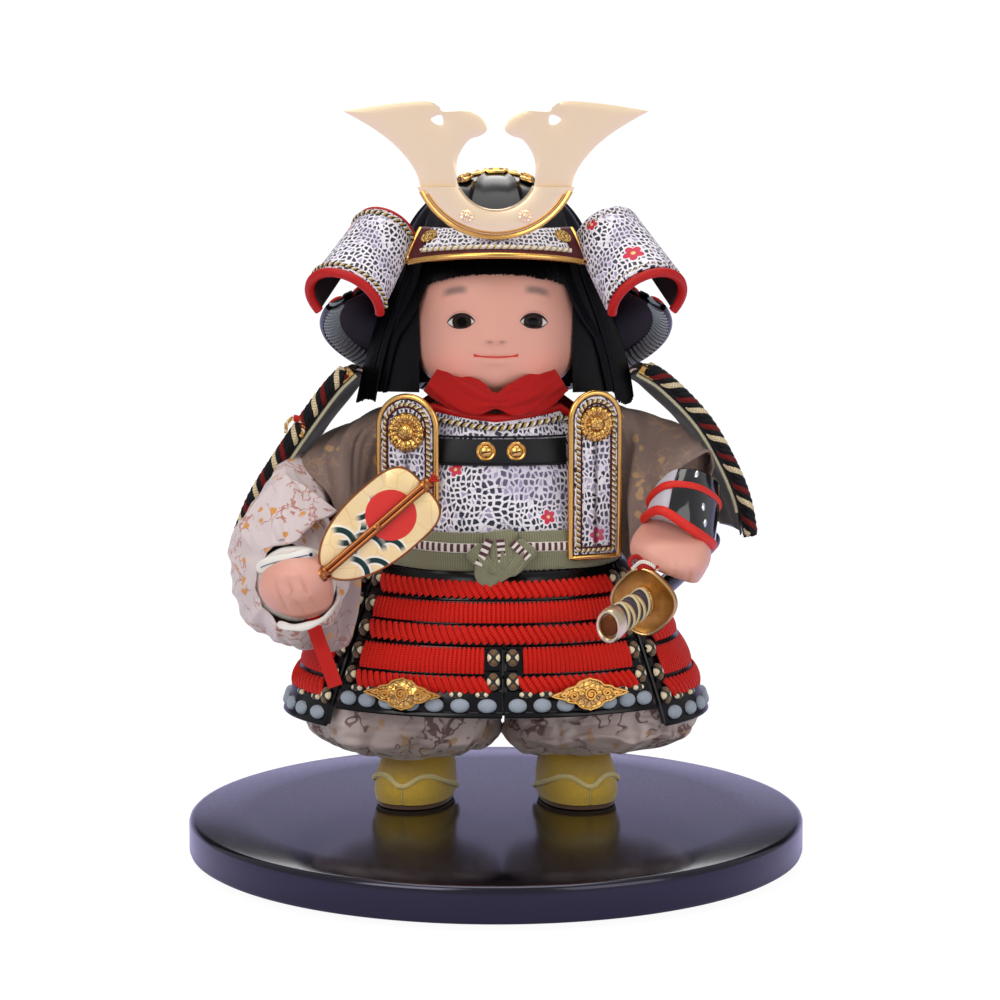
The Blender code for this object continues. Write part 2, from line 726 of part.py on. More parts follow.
def skirt_axes(height, out=0.0):
    """Half width and half depth of the skirt's outer face, which flares on its way down."""
    top = torso_axes(SASH_LOW_Z, GAP * 2 + SKIRT_THICKNESS)
    bottom = (SKIRT_BOTTOM_HALF_WIDTH, SKIRT_BOTTOM_HALF_DEPTH)
    share = (SKIRT_TOP_Z - height) / (SKIRT_TOP_Z - FRONT_BOTTOM_Z)
    bow = share + 0.35 * share * (1 - share)
    return tuple(t + (b - t) * bow + out for t, b in zip(top, bottom))


def skirt_profile(high, low, rows, hem):
    """Heights and stand-off of the laced rows: each swells towards its lower edge."""
    pitch = (high - low - (HEM_HEIGHT if hem else 0)) / rows
    profile = [(high, 0.0, 0.0)]
    for row in range(rows):
        start = high - row * pitch
        profile += [(start - 0.88 * pitch, SKIRT_BULGE, 0.0), (start - pitch, 0.0, 0.0)]
    if hem:
        profile += [(low + HEM_HEIGHT * 0.5, 0.0006, HEM_KNOT_BULGE), (low, 0.0, 0.0)]
    return profile


def build_skirt_panel(name, high, low, rows, edge_turns, columns, hem, doll):
    """A panel of laced lames. edge_turns(height) gives the turns of its two upright edges."""
    fronts, backs = [], []
    for height, out, knot in skirt_profile(high, low, rows, hem):
        first, last = edge_turns(height)
        front, back = [], []
        for i in range(columns + 1):
            turn = first + (last - first) * i / columns
            swell = out + (knot if i % 2 else 0.0)
            front.append((*squared(turn, *skirt_axes(height, swell), SKIRT_POWER), height))
            back.append((*squared(turn, *skirt_axes(height, -SKIRT_THICKNESS), SKIRT_POWER), height))
        fronts.append(front)
        backs.append(back)
    return make_object(name, slab_between(fronts, backs), red_lacing(), doll)


def front_edge_turn(height):
    """The turn at which the front panel ends, at this height."""
    share = (SKIRT_TOP_Z - height) / (SKIRT_TOP_Z - FRONT_BOTTOM_Z)
    across = FRONT_TOP_HALF_WIDTH + (FRONT_BOTTOM_HALF_WIDTH - FRONT_TOP_HALF_WIDTH) * share
    return math.asin(min((across / skirt_axes(height)[0]) ** 1.05, 0.98))


def split_turn(height, side):
    """The turn of a half panel's edge at the split in the middle of the front."""
    return math.asin((LEG_PARTING_X + side * GAP) / skirt_axes(height)[0])


def build_skirt(doll):
    def front(height):
        edge = front_edge_turn(height)
        return -edge, edge

    def right_half(height):
        return -front_edge_turn(height), split_turn(height, -1)

    def left_half(height):
        return split_turn(height, 1), front_edge_turn(height)

    def left_side(height):
        edge = front_edge_turn(max(height, FRONT_BOTTOM_Z)) + PANEL_SPACING
        return edge, math.pi - edge

    def right_side(height):
        first, last = left_side(height)
        return -last, -first

    def rear(height):
        edge = front_edge_turn(max(height, FRONT_BOTTOM_Z))
        return math.pi - edge, math.pi + edge

    below = FRONT_SPLIT_Z - GAP
    build_skirt_panel("skirt_front", SKIRT_TOP_Z, FRONT_SPLIT_Z, 3, front, 10, False, doll)
    build_skirt_panel("skirt_front_right_half", below, FRONT_BOTTOM_Z, 2, right_half, 2 * HEM_KNOTS, True, doll)
    build_skirt_panel("skirt_front_left_half", below, FRONT_BOTTOM_Z, 2, left_half, 2 * HEM_KNOTS, True, doll)
    build_skirt_panel("skirt_left_side", SKIRT_TOP_Z, SIDE_BOTTOM_Z, 5, left_side, 6, True, doll)
    build_skirt_panel("skirt_right_side", SKIRT_TOP_Z, SIDE_BOTTOM_Z, 5, right_side, 6, True, doll)
    build_skirt_panel("skirt_rear", SKIRT_TOP_Z, FRONT_BOTTOM_Z, 5, rear, 6, True, doll)
    build_skirt_ornaments(doll)


def build_skirt_ornaments(doll):
    """Two gilt fittings: long cloud-shaped plates pinned over the hem, one on each half."""
    outline = []
    for i in range(24):
        angle = 2 * math.pi * i / 24
        point = 1 - 0.30 * abs(math.sin(2 * angle)) ** 0.8 + 0.05 * math.cos(6 * angle)
        outline.append((ORNAMENT_LENGTH / 2 * point * math.cos(angle), ORNAMENT_HEIGHT / 2 * point * math.sin(angle)))
    for side, name in ((-1, "right"), (1, "left")):
        height = FRONT_BOTTOM_Z + HEM_HEIGHT + 0.001
        turn = side * front_edge_turn(height) * 0.52
        out = SKIRT_BULGE + HEM_KNOT_BULGE - ORNAMENT_SINK + ORNAMENT_THICKNESS
        spot = (*squared(turn, *skirt_axes(height, out), SKIRT_POWER), height)
        spin = math.atan2(math.sin(turn) * skirt_axes(height)[1], math.cos(turn) * skirt_axes(height)[0])
        plate = plate_from(outline, ORNAMENT_THICKNESS)
        make_object("skirt_fitting_" + name, plate, gold(), doll, spot, (math.radians(-14), 0, spin))


def build_sleeve(name, side, path, sizes, finish, doll, *cutters):
    points = [(side * x, y, z) for x, y, z in path]
    body = swept(points, sizes, 14, 7, SLEEVE_FOLD)
    return trim(make_object(name, body, finish, doll), *cutters)


def build_fist(name, centre, along, doll, *cutters):
    """A closed hand: rings along the line of its knuckles, with four swellings for the fingers."""
    along = Vector(along).normalized()
    across = along.cross(Vector((0, 0, 1))).normalized()
    over = across.cross(along)
    rings = []
    steps = 8
    for i in range(steps + 1):
        share = -0.97 + 1.94 * i / steps
        size = FIST_DEPTH / 2 * (1 - abs(share) ** 3) ** (1 / 3) * (1 + FINGER_SWELL * abs(math.sin(math.pi * i / 2)))
        middle = Vector(centre) + along * share * FIST_LENGTH / 2
        turns = [2 * math.pi * k / 10 for k in range(10)]
        rings.append([middle + (across * math.cos(t) + over * math.sin(t)) * size for t in turns])
    return trim(make_object(name, solid_between(rings), skin(), doll), *cutters)


def build_right_arm(body_space, doll):
    """The doll's right arm: a wide open sleeve, a white cuff and the fist round the fan's handle."""
    white = finish_of("white_cotton", (0.75, 0.74, 0.72), 0.85)
    sleeve = build_sleeve("sleeve_right", -1, RIGHT_SLEEVE_PATH, RIGHT_SLEEVE_SIZES, brocade(), doll, body_space)
    rod = build_fan(doll)
    fist = build_fist("hand_right", RIGHT_FIST, (math.cos(FAN_TURN), 0, math.sin(FAN_TURN)), doll, spacer(rod))
    start = Vector((-RIGHT_SLEEVE_PATH[-1][0], *RIGHT_SLEEVE_PATH[-1][1:]))
    end = Vector(RIGHT_FIST)
    start += (start - end) * 0.3
    cuff = swept([start, start.lerp(end, 0.5), end], [(CUFF_RADIUS, CUFF_RADIUS)] * 3, 12)
    trim(make_object("cuff_right", cuff, white, doll), spacer(sleeve), spacer(fist))


def fan_outline():
    """The war fan's outline: an oval that is squarer at the tip than at the hand."""
    points = []
    low, high = FAN_LENGTH * 0.6, FAN_LENGTH * 0.4
    for i in range(26):
        turn = 2 * math.pi * i / 26
        up = math.cos(turn) >= 0
        power, reach = (4, high) if up else (2, low)
        s, c = math.sin(turn), math.cos(turn)
        along = low + math.copysign(abs(c) ** (2 / power), c) * reach
        points.append((math.copysign(abs(s) ** (2 / power), s) * FAN_HALF_WIDTH, along))
    return points


def build_fan(doll):
    """A flat war fan whose rod runs up its front and down into the hand."""
    lean = (0, math.pi / 2 - FAN_TURN, 0)
    back = Vector(FAN_FOOT)
    make_object("fan_plate", plate_from(fan_outline(), FAN_THICKNESS), pale_gold(), doll, back, lean)
    profile = [(FAN_ROD_RADIUS, -FAN_HANDLE), (FAN_ROD_RADIUS, FAN_LENGTH + 0.002)]
    spot = back - Vector((0, FAN_ROD_RADIUS + GAP, 0))
    copper = finish_of("copper_brown", (0.42, 0.17, 0.07), 0.35, 1.0)
    return make_object("fan_rod", turned(profile, 10), copper, doll, spot, lean)


def build_sword(doll):
    """A slung sword: hilt and pommel in front of its guard, and a curved scabbard behind it."""
    sword = empty("sword", SWORD_GUARD_CENTRE, (SWORD_PITCH, 0, SWORD_YAW), doll)
    brass = finish_of("old_brass", (0.50, 0.30, 0.10), 0.32, 1.0)
    outline = []
    for i in range(24):
        turn = 2 * math.pi * i / 24
        radius = SWORD_GUARD_RADIUS * (0.90 + 0.10 * abs(math.sin(2 * turn)) ** 0.6)
        outline.append((radius * math.cos(turn), radius * math.sin(turn)))
    make_object("sword_guard", plate_from(outline, SWORD_GUARD_THICKNESS), brass, sword)
    wide, tall = HILT_RADIUS, HILT_RADIUS * 1.35
    wrap = finish_of("hilt_wrap", (0.22, 0.15, 0.17), 0.6)
    hilt = swept([(0, -GAP, 0), (0, -HILT_LENGTH / 2, 0), (0, -HILT_LENGTH, 0)], [(wide, tall)] * 3, 12)
    make_object("sword_hilt", hilt, wrap, sword)
    start = -HILT_LENGTH - GAP
    cap = swept(
        [(0, start, 0), (0, start - POMMEL_LENGTH * 0.7, 0), (0, start - POMMEL_LENGTH, 0)],
        [(wide * 1.2, tall * 1.2), (wide * 1.2, tall * 1.2), (wide * 0.8, tall * 0.8)],
        12,
    )
    make_object("sword_pommel", cap, pale_gold(), sword)
    path, sizes = [], []
    for i in range(6):
        share = i / 5
        path.append((0, SWORD_GUARD_THICKNESS + GAP + share * SCABBARD_LENGTH, SCABBARD_RISE * share**2))
        taper = 1 - 0.25 * share
        sizes.append((SCABBARD_RADIUS * 0.72 * taper, SCABBARD_RADIUS * taper))
    return make_object("sword_scabbard", swept(path, sizes, 12), lacquer(), sword)


def build_left_arm(body_space, scabbard, doll):
    """The doll's left arm: a brocade upper arm, a laced forearm guard and the fist on the scabbard."""
    sleeve = build_sleeve("sleeve_left", 1, LEFT_SLEEVE_PATH, LEFT_SLEEVE_SIZES, brocade(), doll, body_space)
    yaw = Vector((-math.sin(SWORD_YAW), math.cos(SWORD_YAW), 0))
    fist = build_fist("hand_left", LEFT_FIST, yaw, doll, spacer(scabbard))
    guard = build_sleeve("forearm_guard", 1, GUARD_PATH, GUARD_SIZES, lacquer(), doll, spacer(sleeve), spacer(fist))
    return guard


def shoulder_point(share, y, out, side):
    """A point of the shoulder guard's panel, which is slightly crowned from front to back."""
    steps = np.linspace(0, 1, len(SHOULDER_PATH))
    path = np.array(SHOULDER_PATH)
    x, z = np.interp(share, steps, path[:, 0]), np.interp(share, steps, path[:, 1])
    ahead, behind = min(share + 0.1, 1), max(share - 0.1, 0)
    dx = np.interp(ahead, steps, path[:, 0]) - np.interp(behind, steps, path[:, 0])
    dz = np.interp(ahead, steps, path[:, 1]) - np.interp(behind, steps, path[:, 1])
    size = math.hypot(dx, dz)
    middle, half = (SHOULDER_FRONT_Y + SHOULDER_BACK_Y) / 2, (SHOULDER_BACK_Y - SHOULDER_FRONT_Y) / 2
    out += SHOULDER_CROWN * (1 - ((y - middle) / half) ** 2)
    return side * (x - dz / size * out), y, z + dx / size * out


def build_shoulder_guards(doll):
    """Two large laced panels over the shoulders, each under a gilt cap plate."""
    ys = np.linspace(SHOULDER_FRONT_Y, SHOULDER_BACK_Y, 6)
    for side, name in ((-1, "right"), (1, "left")):
        shares = [(CAP_SHARE + 0.01, 0.0)]
        pitch = (1 - CAP_SHARE) / SHOULDER_ROWS
        for row in range(SHOULDER_ROWS):
            start = CAP_SHARE + row * pitch
            shares += [(start + 0.88 * pitch, SKIRT_BULGE), (start + pitch, 0.0)]
        outer = [[shoulder_point(s, y, out, side) for y in ys] for s, out in shares]
        inner = [[shoulder_point(s, y, -SHOULDER_THICKNESS, side) for y in ys] for s, out in shares]
        make_object("shoulder_guard_" + name, slab_between(outer, inner), red_lacing(), doll)
        ends = (0.0, CAP_SHARE)
        top = [[shoulder_point(s, y, 0.0, side) for y in ys] for s in ends]
        low = [[shoulder_point(s, y, -SHOULDER_THICKNESS, side) for y in ys] for s in ends]
        make_object("shoulder_guard_cap_" + name, slab_between(top, low), gold(), doll)


def head_axes(height, out=0.0):
    levels = np.array(HEAD_LEVELS)
    wide, deep, centre = (float(np.interp(height, levels[:, 0], levels[:, i])) for i in (1, 2, 3))
    return wide + out, deep + out, centre


def head_point(angle, height, out=0.0):
    wide, deep, centre = head_axes(height, out)
    x, y = squared(angle, wide, deep, HEAD_POWER)
    return x, y + centre, height


def build_head(neck, doll):
    rings = [[head_point(2 * math.pi * i / 18, level[0]) for i in range(18)] for level in HEAD_LEVELS]
    return trim(make_object("head", solid_between(rings), skin(), doll), spacer(neck))


def build_hair(roof, doll):
    """A fringe over the brow, and a bobbed wall of hair round the sides and back of the head."""
    heights = np.linspace(FRINGE_Z, FRINGE_TOP_Z, 4)
    turns = np.linspace(-FACE_EDGE, FACE_EDGE, 11)
    outer = [[head_point(t, z, HAIR_EASE + FRINGE_THICKNESS) for t in turns] for z in heights]
    inner = [[head_point(t, z, HAIR_EASE) for t in turns] for z in heights]
    make_object("hair_fringe", slab_between(outer, inner), hair_silk(), doll)
    levels = np.array(HAIR_LEVELS)
    turns = np.linspace(FACE_EDGE + math.radians(2), 2 * math.pi - FACE_EDGE - math.radians(2), 13)
    outer, inner = [], []
    for height, wide, deep in levels:
        nape = []
        for turn in turns:
            x, y = squared(turn, wide, deep, HEAD_POWER)
            nape.append((x, y + HAIR_Y, height))
        outer.append(nape)
        inner.append([head_point(t, max(height, HEAD_WIDEST_Z), HAIR_EASE)[:2] + (height,) for t in turns])
    wall = make_object("hair", slab_between(outer, inner), hair_silk(), doll)
    return trim(wall, roof)


def build_scarf(doll):
    """A folded red scarf that hangs in a curve under the chin."""
    path, sizes = [], []
    for i in range(9):
        share = -1 + i / 4
        path.append((SCARF_HALF_WIDTH * share, SCARF_Y + SCARF_SWEEP * share**2, SCARF_Z + SCARF_LIFT * share**2))
        full = 1 - 0.30 * share**2
        sizes.append((SCARF_THICKNESS / 2 * full, SCARF_HEIGHT / 2 * full))
    return make_object("scarf", swept(path, sizes, 12), red_leather(), doll)


def bowl_ring(rise, out, sides, rib=0.0):
    ring = []
    for i in range(sides):
        turn = 2 * math.pi * i / sides
        more = out + (rib if i % 2 else 0.0)
        wide, deep, high = BOWL_HALF_WIDTH + more, BOWL_HALF_DEPTH + more, BOWL_HEIGHT + more
        flat = math.cos(rise)
        ring.append((wide * math.sin(turn) * flat, -deep * math.cos(turn) * flat, high * math.sin(rise)))
    return ring


def build_bowl(helmet):
    """The ribbed bowl: a wall from its inner top, down round the rim and up to its outer top."""
    sides = 2 * BOWL_RIBS
    inner = [bowl_ring(math.radians(a), -BOWL_WALL, sides) for a in (72, 48, 24, 0)]
    outer = [bowl_ring(math.radians(a), 0.0, sides, BOWL_RIB_HEIGHT) for a in (0, 20, 40, 60, 78)]
    make_object("helmet_bowl", solid_between([*inner, *outer]), lacquer(), helmet, crease=20)
    base = BOWL_HEIGHT * math.sin(math.radians(78)) + BOWL_RIB_HEIGHT + GAP
    profile = [(0.0095, base), (0.0095, base + 0.0012), (0.006, base + 0.0024), (0.0045, base + 0.0042)]
    make_object("helmet_crown_ring", turned(profile, 16), gold(), helmet)
    domes = [bowl_ring(math.radians(a), BOWL_RIB_HEIGHT + SEAT_GAP, sides) for a in (0, 20, 40, 60, 78)]
    return helper(make_object("bowl_space", solid_between(domes), lacquer(), helmet))


def build_visor(bowl_space, doll):
    """The visor: a crescent plate that leans out from the bowl's front, with a bead at its lower edge."""
    turns = np.linspace(-VISOR_HALF_ANGLE, VISOR_HALF_ANGLE, 11)

    def point(turn, share, out):
        wide = VISOR_TOP_HALF_WIDTH + (VISOR_LOW_HALF_WIDTH - VISOR_TOP_HALF_WIDTH) * share + out
        deep = VISOR_TOP_HALF_DEPTH + (VISOR_LOW_HALF_DEPTH - VISOR_TOP_HALF_DEPTH) * share + out
        lift = VISOR_CROWN * math.sin(math.pi * share)
        low = VISOR_LOW_Z - VISOR_ARCH * (turn / VISOR_HALF_ANGLE) ** 2
        height = VISOR_TOP_Z + (low - VISOR_TOP_Z) * share + lift
        return wide * math.sin(turn), -deep * math.cos(turn), height

    shares = (0.0, 0.5, 1.0)
    outer = [[point(t, s, 0.0) for t in turns] for s in shares]
    inner = [[point(t, s, -VISOR_THICKNESS) for t in turns] for s in shares]
    visor = make_object("visor", slab_between(outer, inner), printed_leather(), doll)
    trim(visor, bowl_space)
    edge = [Vector(point(t, 1.0, -VISOR_THICKNESS / 2)) for t in turns]
    drop = Vector((0, 0, -VISOR_RIM_RADIUS - GAP))
    bead("visor_rim", [p + drop for p in edge], VISOR_RIM_RADIUS, gold(), doll, (0, 0, 1))
    return visor


def neck_guard_point(turn, share, below=0.0):
    """A point of the neck guard in the helmet's frame. The guard is deeper towards the back."""
    wide = BOWL_HALF_WIDTH + (NECK_GUARD_RADIUS - BOWL_HALF_WIDTH) * share
    deep = BOWL_HALF_DEPTH + (NECK_GUARD_RADIUS - BOWL_HALF_DEPTH) * share
    away = abs((turn + math.pi) % (2 * math.pi) - math.pi)
    drop = NECK_GUARD_DROP + NECK_GUARD_BACK_DROP * (1 - math.cos(max(away - math.pi / 2, 0)))
    return wide * math.sin(turn), -deep * math.cos(turn), -GAP - drop * share - below


def build_neck_guard(helmet):
    """The flared guard of laced rows round the sides and back of the helmet."""
    turns = np.linspace(NECK_GUARD_OPENING, 2 * math.pi - NECK_GUARD_OPENING, 19)
    shares = [(0.0, 0.0)]
    for row in range(NECK_GUARD_ROWS):
        start = row / NECK_GUARD_ROWS
        shares += [(start + 0.85 / NECK_GUARD_ROWS, -SKIRT_BULGE), (start + 1 / NECK_GUARD_ROWS, 0.0)]
    outer = [[neck_guard_point(t, s, lift) for t in turns] for s, lift in shares]
    inner = [[neck_guard_point(t, s, NECK_GUARD_THICKNESS) for t in turns] for s, lift in shares]
    make_object("neck_guard", slab_between(outer, inner), red_lacing(), helmet)
    below = NECK_GUARD_THICKNESS + 3 * GAP
    around = [2 * math.pi * i / 48 for i in range(48)]
    cone = [[neck_guard_point(t, s, below) for t in around] for s in (0.0, 1.0)]
    roof = [(x, y, BOWL_HEIGHT) for x, y, z in cone[1]]
    return helper(make_object("helmet_space", solid_between([*cone, roof]), lacquer(), helmet))


def circle_arc(centre, radius, start, end, steps):
    turns = np.linspace(start, end, steps)
    return [(centre[0] + radius * math.cos(t), centre[1] + radius * math.sin(t)) for t in turns]


def build_crest(doll):
    """The crest: a crescent plate over the visor, and two flat horns that stand behind it."""
    hole = (0, CREST_HOLE_Z)
    low = CREST_PLATE_CENTRE_Z
    reach = math.asin(CREST_PLATE_HALF_WIDTH / CREST_PLATE_RADIUS)
    outer = circle_arc((0, low), CREST_PLATE_RADIUS, -math.pi / 2 - reach, -math.pi / 2 + reach, 17)
    top = outer[0][1]
    dip = math.asin((top - CREST_HOLE_Z) / CREST_HOLE_RADIUS)
    inner = circle_arc(hole, CREST_HOLE_RADIUS, dip, -math.pi - dip, 15)
    plate = make_object("crest_plate", plate_from([*outer, *inner], CREST_PLATE_THICKNESS), pale_gold(), doll)
    plate.location = (0, CREST_Y, 0)
    for side, name in ((-1, "right"), (1, "left")):
        build_horn("crest_horn_" + name, side, doll)


def build_horn(name, side, doll):
    """One flat horn with a lobed inner end and a small round hole, tucked behind the crest plate."""
    start = math.radians(130)
    ring = circle_arc((0, 0), CREST_HOLE_RADIUS, start, math.radians(205), 6)
    points = [(side * -x, CREST_HOLE_Z + z) for x, z in [*HORN_EDGE, *ring, *HORN_FOOT]]
    horn = make_object(name, plate_from(points, HORN_THICKNESS), pale_gold(), doll)
    horn.location = (0, CREST_Y + CREST_PLATE_THICKNESS + GAP, 0)
    profile = [(HORN_HOLE_RADIUS, -0.01), (HORN_HOLE_RADIUS, 0.01)]
    spot = (side * HORN_HOLE_X, CREST_Y, CREST_HOLE_Z + HORN_HOLE_UP)
    return trim(horn, helper(make_object(name + "_hole", turned(profile, 12), gold(), doll, spot, (math.pi / 2, 0, 0))))


def build_turnback(side, doll):
    """A rolled-back wing of the neck guard: part of a cone, open behind, with a piped lower edge."""
    name = "left" if side > 0 else "right"
    top, bottom = Vector(TURNBACK_TOP), Vector(TURNBACK_BOTTOM)
    along = (bottom - top).normalized()
    up = (Vector((0, 0, 1)) - along * along.z).normalized()
    out = along.cross(up)
    turns = np.linspace(-TURNBACK_HALF_ANGLE, TURNBACK_HALF_ANGLE, 13)

    def point(share, turn, inward, slide=0.0):
        radius = TURNBACK_RADIUS * (TURNBACK_TOP_SHRINK + (1 - TURNBACK_TOP_SHRINK) * share) - inward
        spot = top.lerp(bottom, share) + along * slide + (up * math.cos(turn) + out * math.sin(turn)) * radius
        return Vector((-side * spot.x, spot.y, spot.z))

    shares = (0.0, 0.5, 1.0)
    outer = [[point(s, t, 0.0) for t in turns] for s in shares]
    inner = [[point(s, t, TURNBACK_THICKNESS) for t in turns] for s in shares]
    make_object("turnback_" + name, slab_between(outer, inner), printed_leather(), doll)
    slide = TURNBACK_RIM_RADIUS + GAP
    edge = [point(1.0, t, TURNBACK_THICKNESS / 2, slide) for t in turns]
    normal = (-side * along.x, along.y, along.z)
    bead("turnback_piping_" + name, edge, TURNBACK_RIM_RADIUS, red_leather(), doll, normal)


def main():
    clear_scene()
    build_stand()
    doll = empty("doll", (0, DOLL_Y, STAND_HEIGHT))
    for side in (-1, 1):
        boot = build_boot(side, doll)
        build_trouser_leg(side, boot, doll)
    neck = build_body(doll)
    body_space = build_cuirass(doll)
    build_waist_and_band(doll)
    right_plate = (RIGHT_PLATE_X, RIGHT_PLATE_WIDTH, RIGHT_PLATE_LOW_Z, RIGHT_PLATE_TOP_Z)
    left_plate = (LEFT_PLATE_X, LEFT_PLATE_WIDTH, LEFT_PLATE_LOW_Z, LEFT_PLATE_TOP_Z)
    build_shoulder_plate("shoulder_plate_right", *right_plate, doll)
    build_shoulder_plate("shoulder_plate_left", *left_plate, doll)
    build_skirt(doll)
    build_right_arm(body_space, doll)
    build_left_arm(body_space, build_sword(doll), doll)
    build_shoulder_guards(doll)
    build_head(neck, doll)
    build_scarf(doll)
    helmet = empty("helmet", (0, 0, HELMET_Z), (HELMET_TILT, 0, 0), doll)
    bowl_space = build_bowl(helmet)
    helmet_space = build_neck_guard(helmet)
    build_hair(helmet_space, doll)
    build_visor(bowl_space, doll)
    build_crest(doll)
    for side in (-1, 1):
        build_turnback(side, doll)


main()
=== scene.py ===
"""Looks of the samurai doll: lacquer, gilt metal, printed leather, silk lacing, brocade and the painted
face."""

import math

import bmesh
import bpy
import numpy as np
from bpy.props import FloatProperty, FloatVectorProperty, PointerProperty
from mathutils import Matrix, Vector


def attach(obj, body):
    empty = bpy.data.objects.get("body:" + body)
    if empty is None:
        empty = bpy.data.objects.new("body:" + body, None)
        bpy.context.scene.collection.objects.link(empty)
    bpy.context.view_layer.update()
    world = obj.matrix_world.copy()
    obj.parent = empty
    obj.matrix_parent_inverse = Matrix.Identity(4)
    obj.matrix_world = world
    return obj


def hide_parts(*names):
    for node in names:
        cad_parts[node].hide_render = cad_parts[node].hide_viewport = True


bl_info = {
    "name": "Samurai doll looks",
    "version": (1, 0, 0),
    "blender": (4, 5, 0),
    "location": "3D View > Sidebar > Samurai doll",
    "description": "Builds the visible surfaces of a samurai doll around its CAD frame",
    "category": "Object",
}

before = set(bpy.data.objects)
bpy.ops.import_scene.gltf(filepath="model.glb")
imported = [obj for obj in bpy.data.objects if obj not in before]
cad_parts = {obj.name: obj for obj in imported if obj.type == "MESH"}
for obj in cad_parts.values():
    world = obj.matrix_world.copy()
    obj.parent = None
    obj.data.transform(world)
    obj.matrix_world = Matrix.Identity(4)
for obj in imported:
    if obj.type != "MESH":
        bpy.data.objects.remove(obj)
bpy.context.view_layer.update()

MM = 0.001
DOLL_AT = np.array([0.0, 0.025, 0.018])  # the doll's own origin on top of the stand
TAU = 2 * math.pi
CAMERA_AT = (0, -1.6, 0.393)
CAMERA_TILT = math.radians(7.88)  # how far the photograph looks down
SENSOR_WIDTH = 36
SHARP_ANGLE = math.radians(42)  # edges sharper than this stay crisp


def linear(text):
    """Linear RGB of an sRGB hex colour."""
    parts = [int(text[i : i + 2], 16) / 255 for i in (1, 3, 5)]
    return tuple(c / 12.92 if c <= 0.04045 else ((c + 0.055) / 1.055) ** 2.4 for c in parts)


def colour(name, text, hexa):
    return FloatVectorProperty(
        name=name, description=text, subtype="COLOR", size=3, min=0, max=1, default=linear(hexa)
    )


class DollColours(bpy.types.PropertyGroup):
    """The dyes, lacquers and metals of the doll."""

    lacquer: colour("Lacquer", "Black lacquer of the stand, the lames and the helmet", "#060508")
    red: colour("Lacing red", "Silk cords that lace the lames", "#d81805")
    silver: colour("Silver silk", "Silk discs and the light lacing of the neck guard", "#a3adba")
    gilt: colour("Gilt", "Bright gilt fittings", "#e6b462")
    pale_gilt: colour("Pale gilt", "Satin gilt of the crest and the fan", "#fbe2bf")
    leather: colour("Leather ground", "Ground of the printed leather", "#e4dfe6")
    leather_ink: colour("Leather ink", "Dark leaves printed on the leather", "#121829")
    blossom: colour("Blossom", "Crimson blossoms printed on the leather", "#c4143f")
    piping: colour("Piping red", "Red leather piping and the scarf", "#b00c08")
    brocade: colour("Brocade ground", "Dusty mauve ground of the brocade", "#d6c3bd")
    brocade_dark: colour("Brocade figure", "Maroon and umber figures of the brocade", "#5d3432")
    skin: colour("Skin", "Painted skin of the face and hands", "#d99d8c")
    hair: colour("Hair", "Straight black silk hair", "#020203")
    boot: colour("Boot velour", "Mustard velour of the boots", "#bd9a2c")
    boot_piping: colour("Boot piping", "Cream piping on the boots", "#d6c88f")
    olive: colour("Sash", "Olive braid of the sash", "#7f7d60")
    cotton: colour("Cotton", "White cotton of cuffs and braids", "#ece8e2")
    tsuba: colour("Old brass", "Brown brass of the sword guard", "#a97438")


def shared():
    return bpy.context.scene.doll_colours


# Arrays to meshes


def mesh_object(name, verts, faces, material, uv=None):
    """One mesh from arrays. verts is (n, 3) in the doll's frame; faces is a list of (m, k) index arrays;
    uv is per vertex."""
    mesh = bpy.data.meshes.new(name)
    verts = np.asarray(verts, float).reshape(-1, 3) + DOLL_AT
    flat = np.concatenate([f.ravel() for f in faces]).astype(np.int32)
    totals = np.concatenate([np.full(len(f), f.shape[1]) for f in faces])
    starts = np.concatenate([[0], np.cumsum(totals)[:-1]]).astype(np.int32)
    mesh.vertices.add(len(verts))
    mesh.vertices.foreach_set("co", verts.ravel())
    mesh.loops.add(len(flat))
    mesh.loops.foreach_set("vertex_index", flat)
    mesh.polygons.add(len(starts))
    mesh.polygons.foreach_set("loop_start", starts)
    mesh.update(calc_edges=True)
    if uv is not None:
        layer = mesh.uv_layers.new(name="weave")
        layer.data.foreach_set("uv", np.asarray(uv, float).reshape(-1, 2)[flat].ravel())
    bm = bmesh.new()
    bm.from_mesh(mesh)
    bmesh.ops.remove_doubles(bm, verts=bm.verts, dist=1e-6)
    bmesh.ops.recalc_face_normals(bm, faces=bm.faces)
    bm.to_mesh(mesh)
    bm.free()
    mesh.validate()
    mesh.shade_smooth()
    mesh.set_sharp_from_angle(angle=SHARP_ANGLE)
    mesh.materials.append(material)
    obj = bpy.data.objects.new(name, mesh)
    bpy.context.scene.collection.objects.link(obj)
    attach(obj, "root")
    return obj


def quads(rows, columns, closed_rows=False, closed_columns=False):
    """Face indices of a grid of points, row after row."""
    i = np.arange(rows if closed_rows else rows - 1)[:, None]
    j = np.arange(columns if closed_columns else columns - 1)[None, :]
    a = i * columns + j
    b = i * columns + (j + 1) % columns
    c = ((i + 1) % rows) * columns + (j + 1) % columns
    d = ((i + 1) % rows) * columns + j
    return np.stack([a, b, c, d], axis=-1).reshape(-1, 4)


def surface(
    name, points, material, uv=None, closed_rows=False, closed_columns=False, caps=False, thickness=0.0
):
    """A grid of points (rows, columns, 3) as one mesh: open, closed, capped at both ends, or with a
    thickness."""
    points = np.asarray(points, float)
    rows, columns = points.shape[:2]
    faces = [quads(rows, columns, closed_rows, closed_columns)]
    if caps:
        faces.append(np.arange(columns)[None, :])
        faces.append((rows - 1) * columns + np.arange(columns)[None, :])
    if uv is None:
        uv = arc_uv(points)
    obj = mesh_object(name, points, faces, material, uv)
    if thickness:
        wall = obj.modifiers.new("wall", "SOLIDIFY")
        wall.thickness = abs(thickness)
        wall.offset = -1 if thickness > 0 else 1
        wall.use_even_offset = True
    return obj


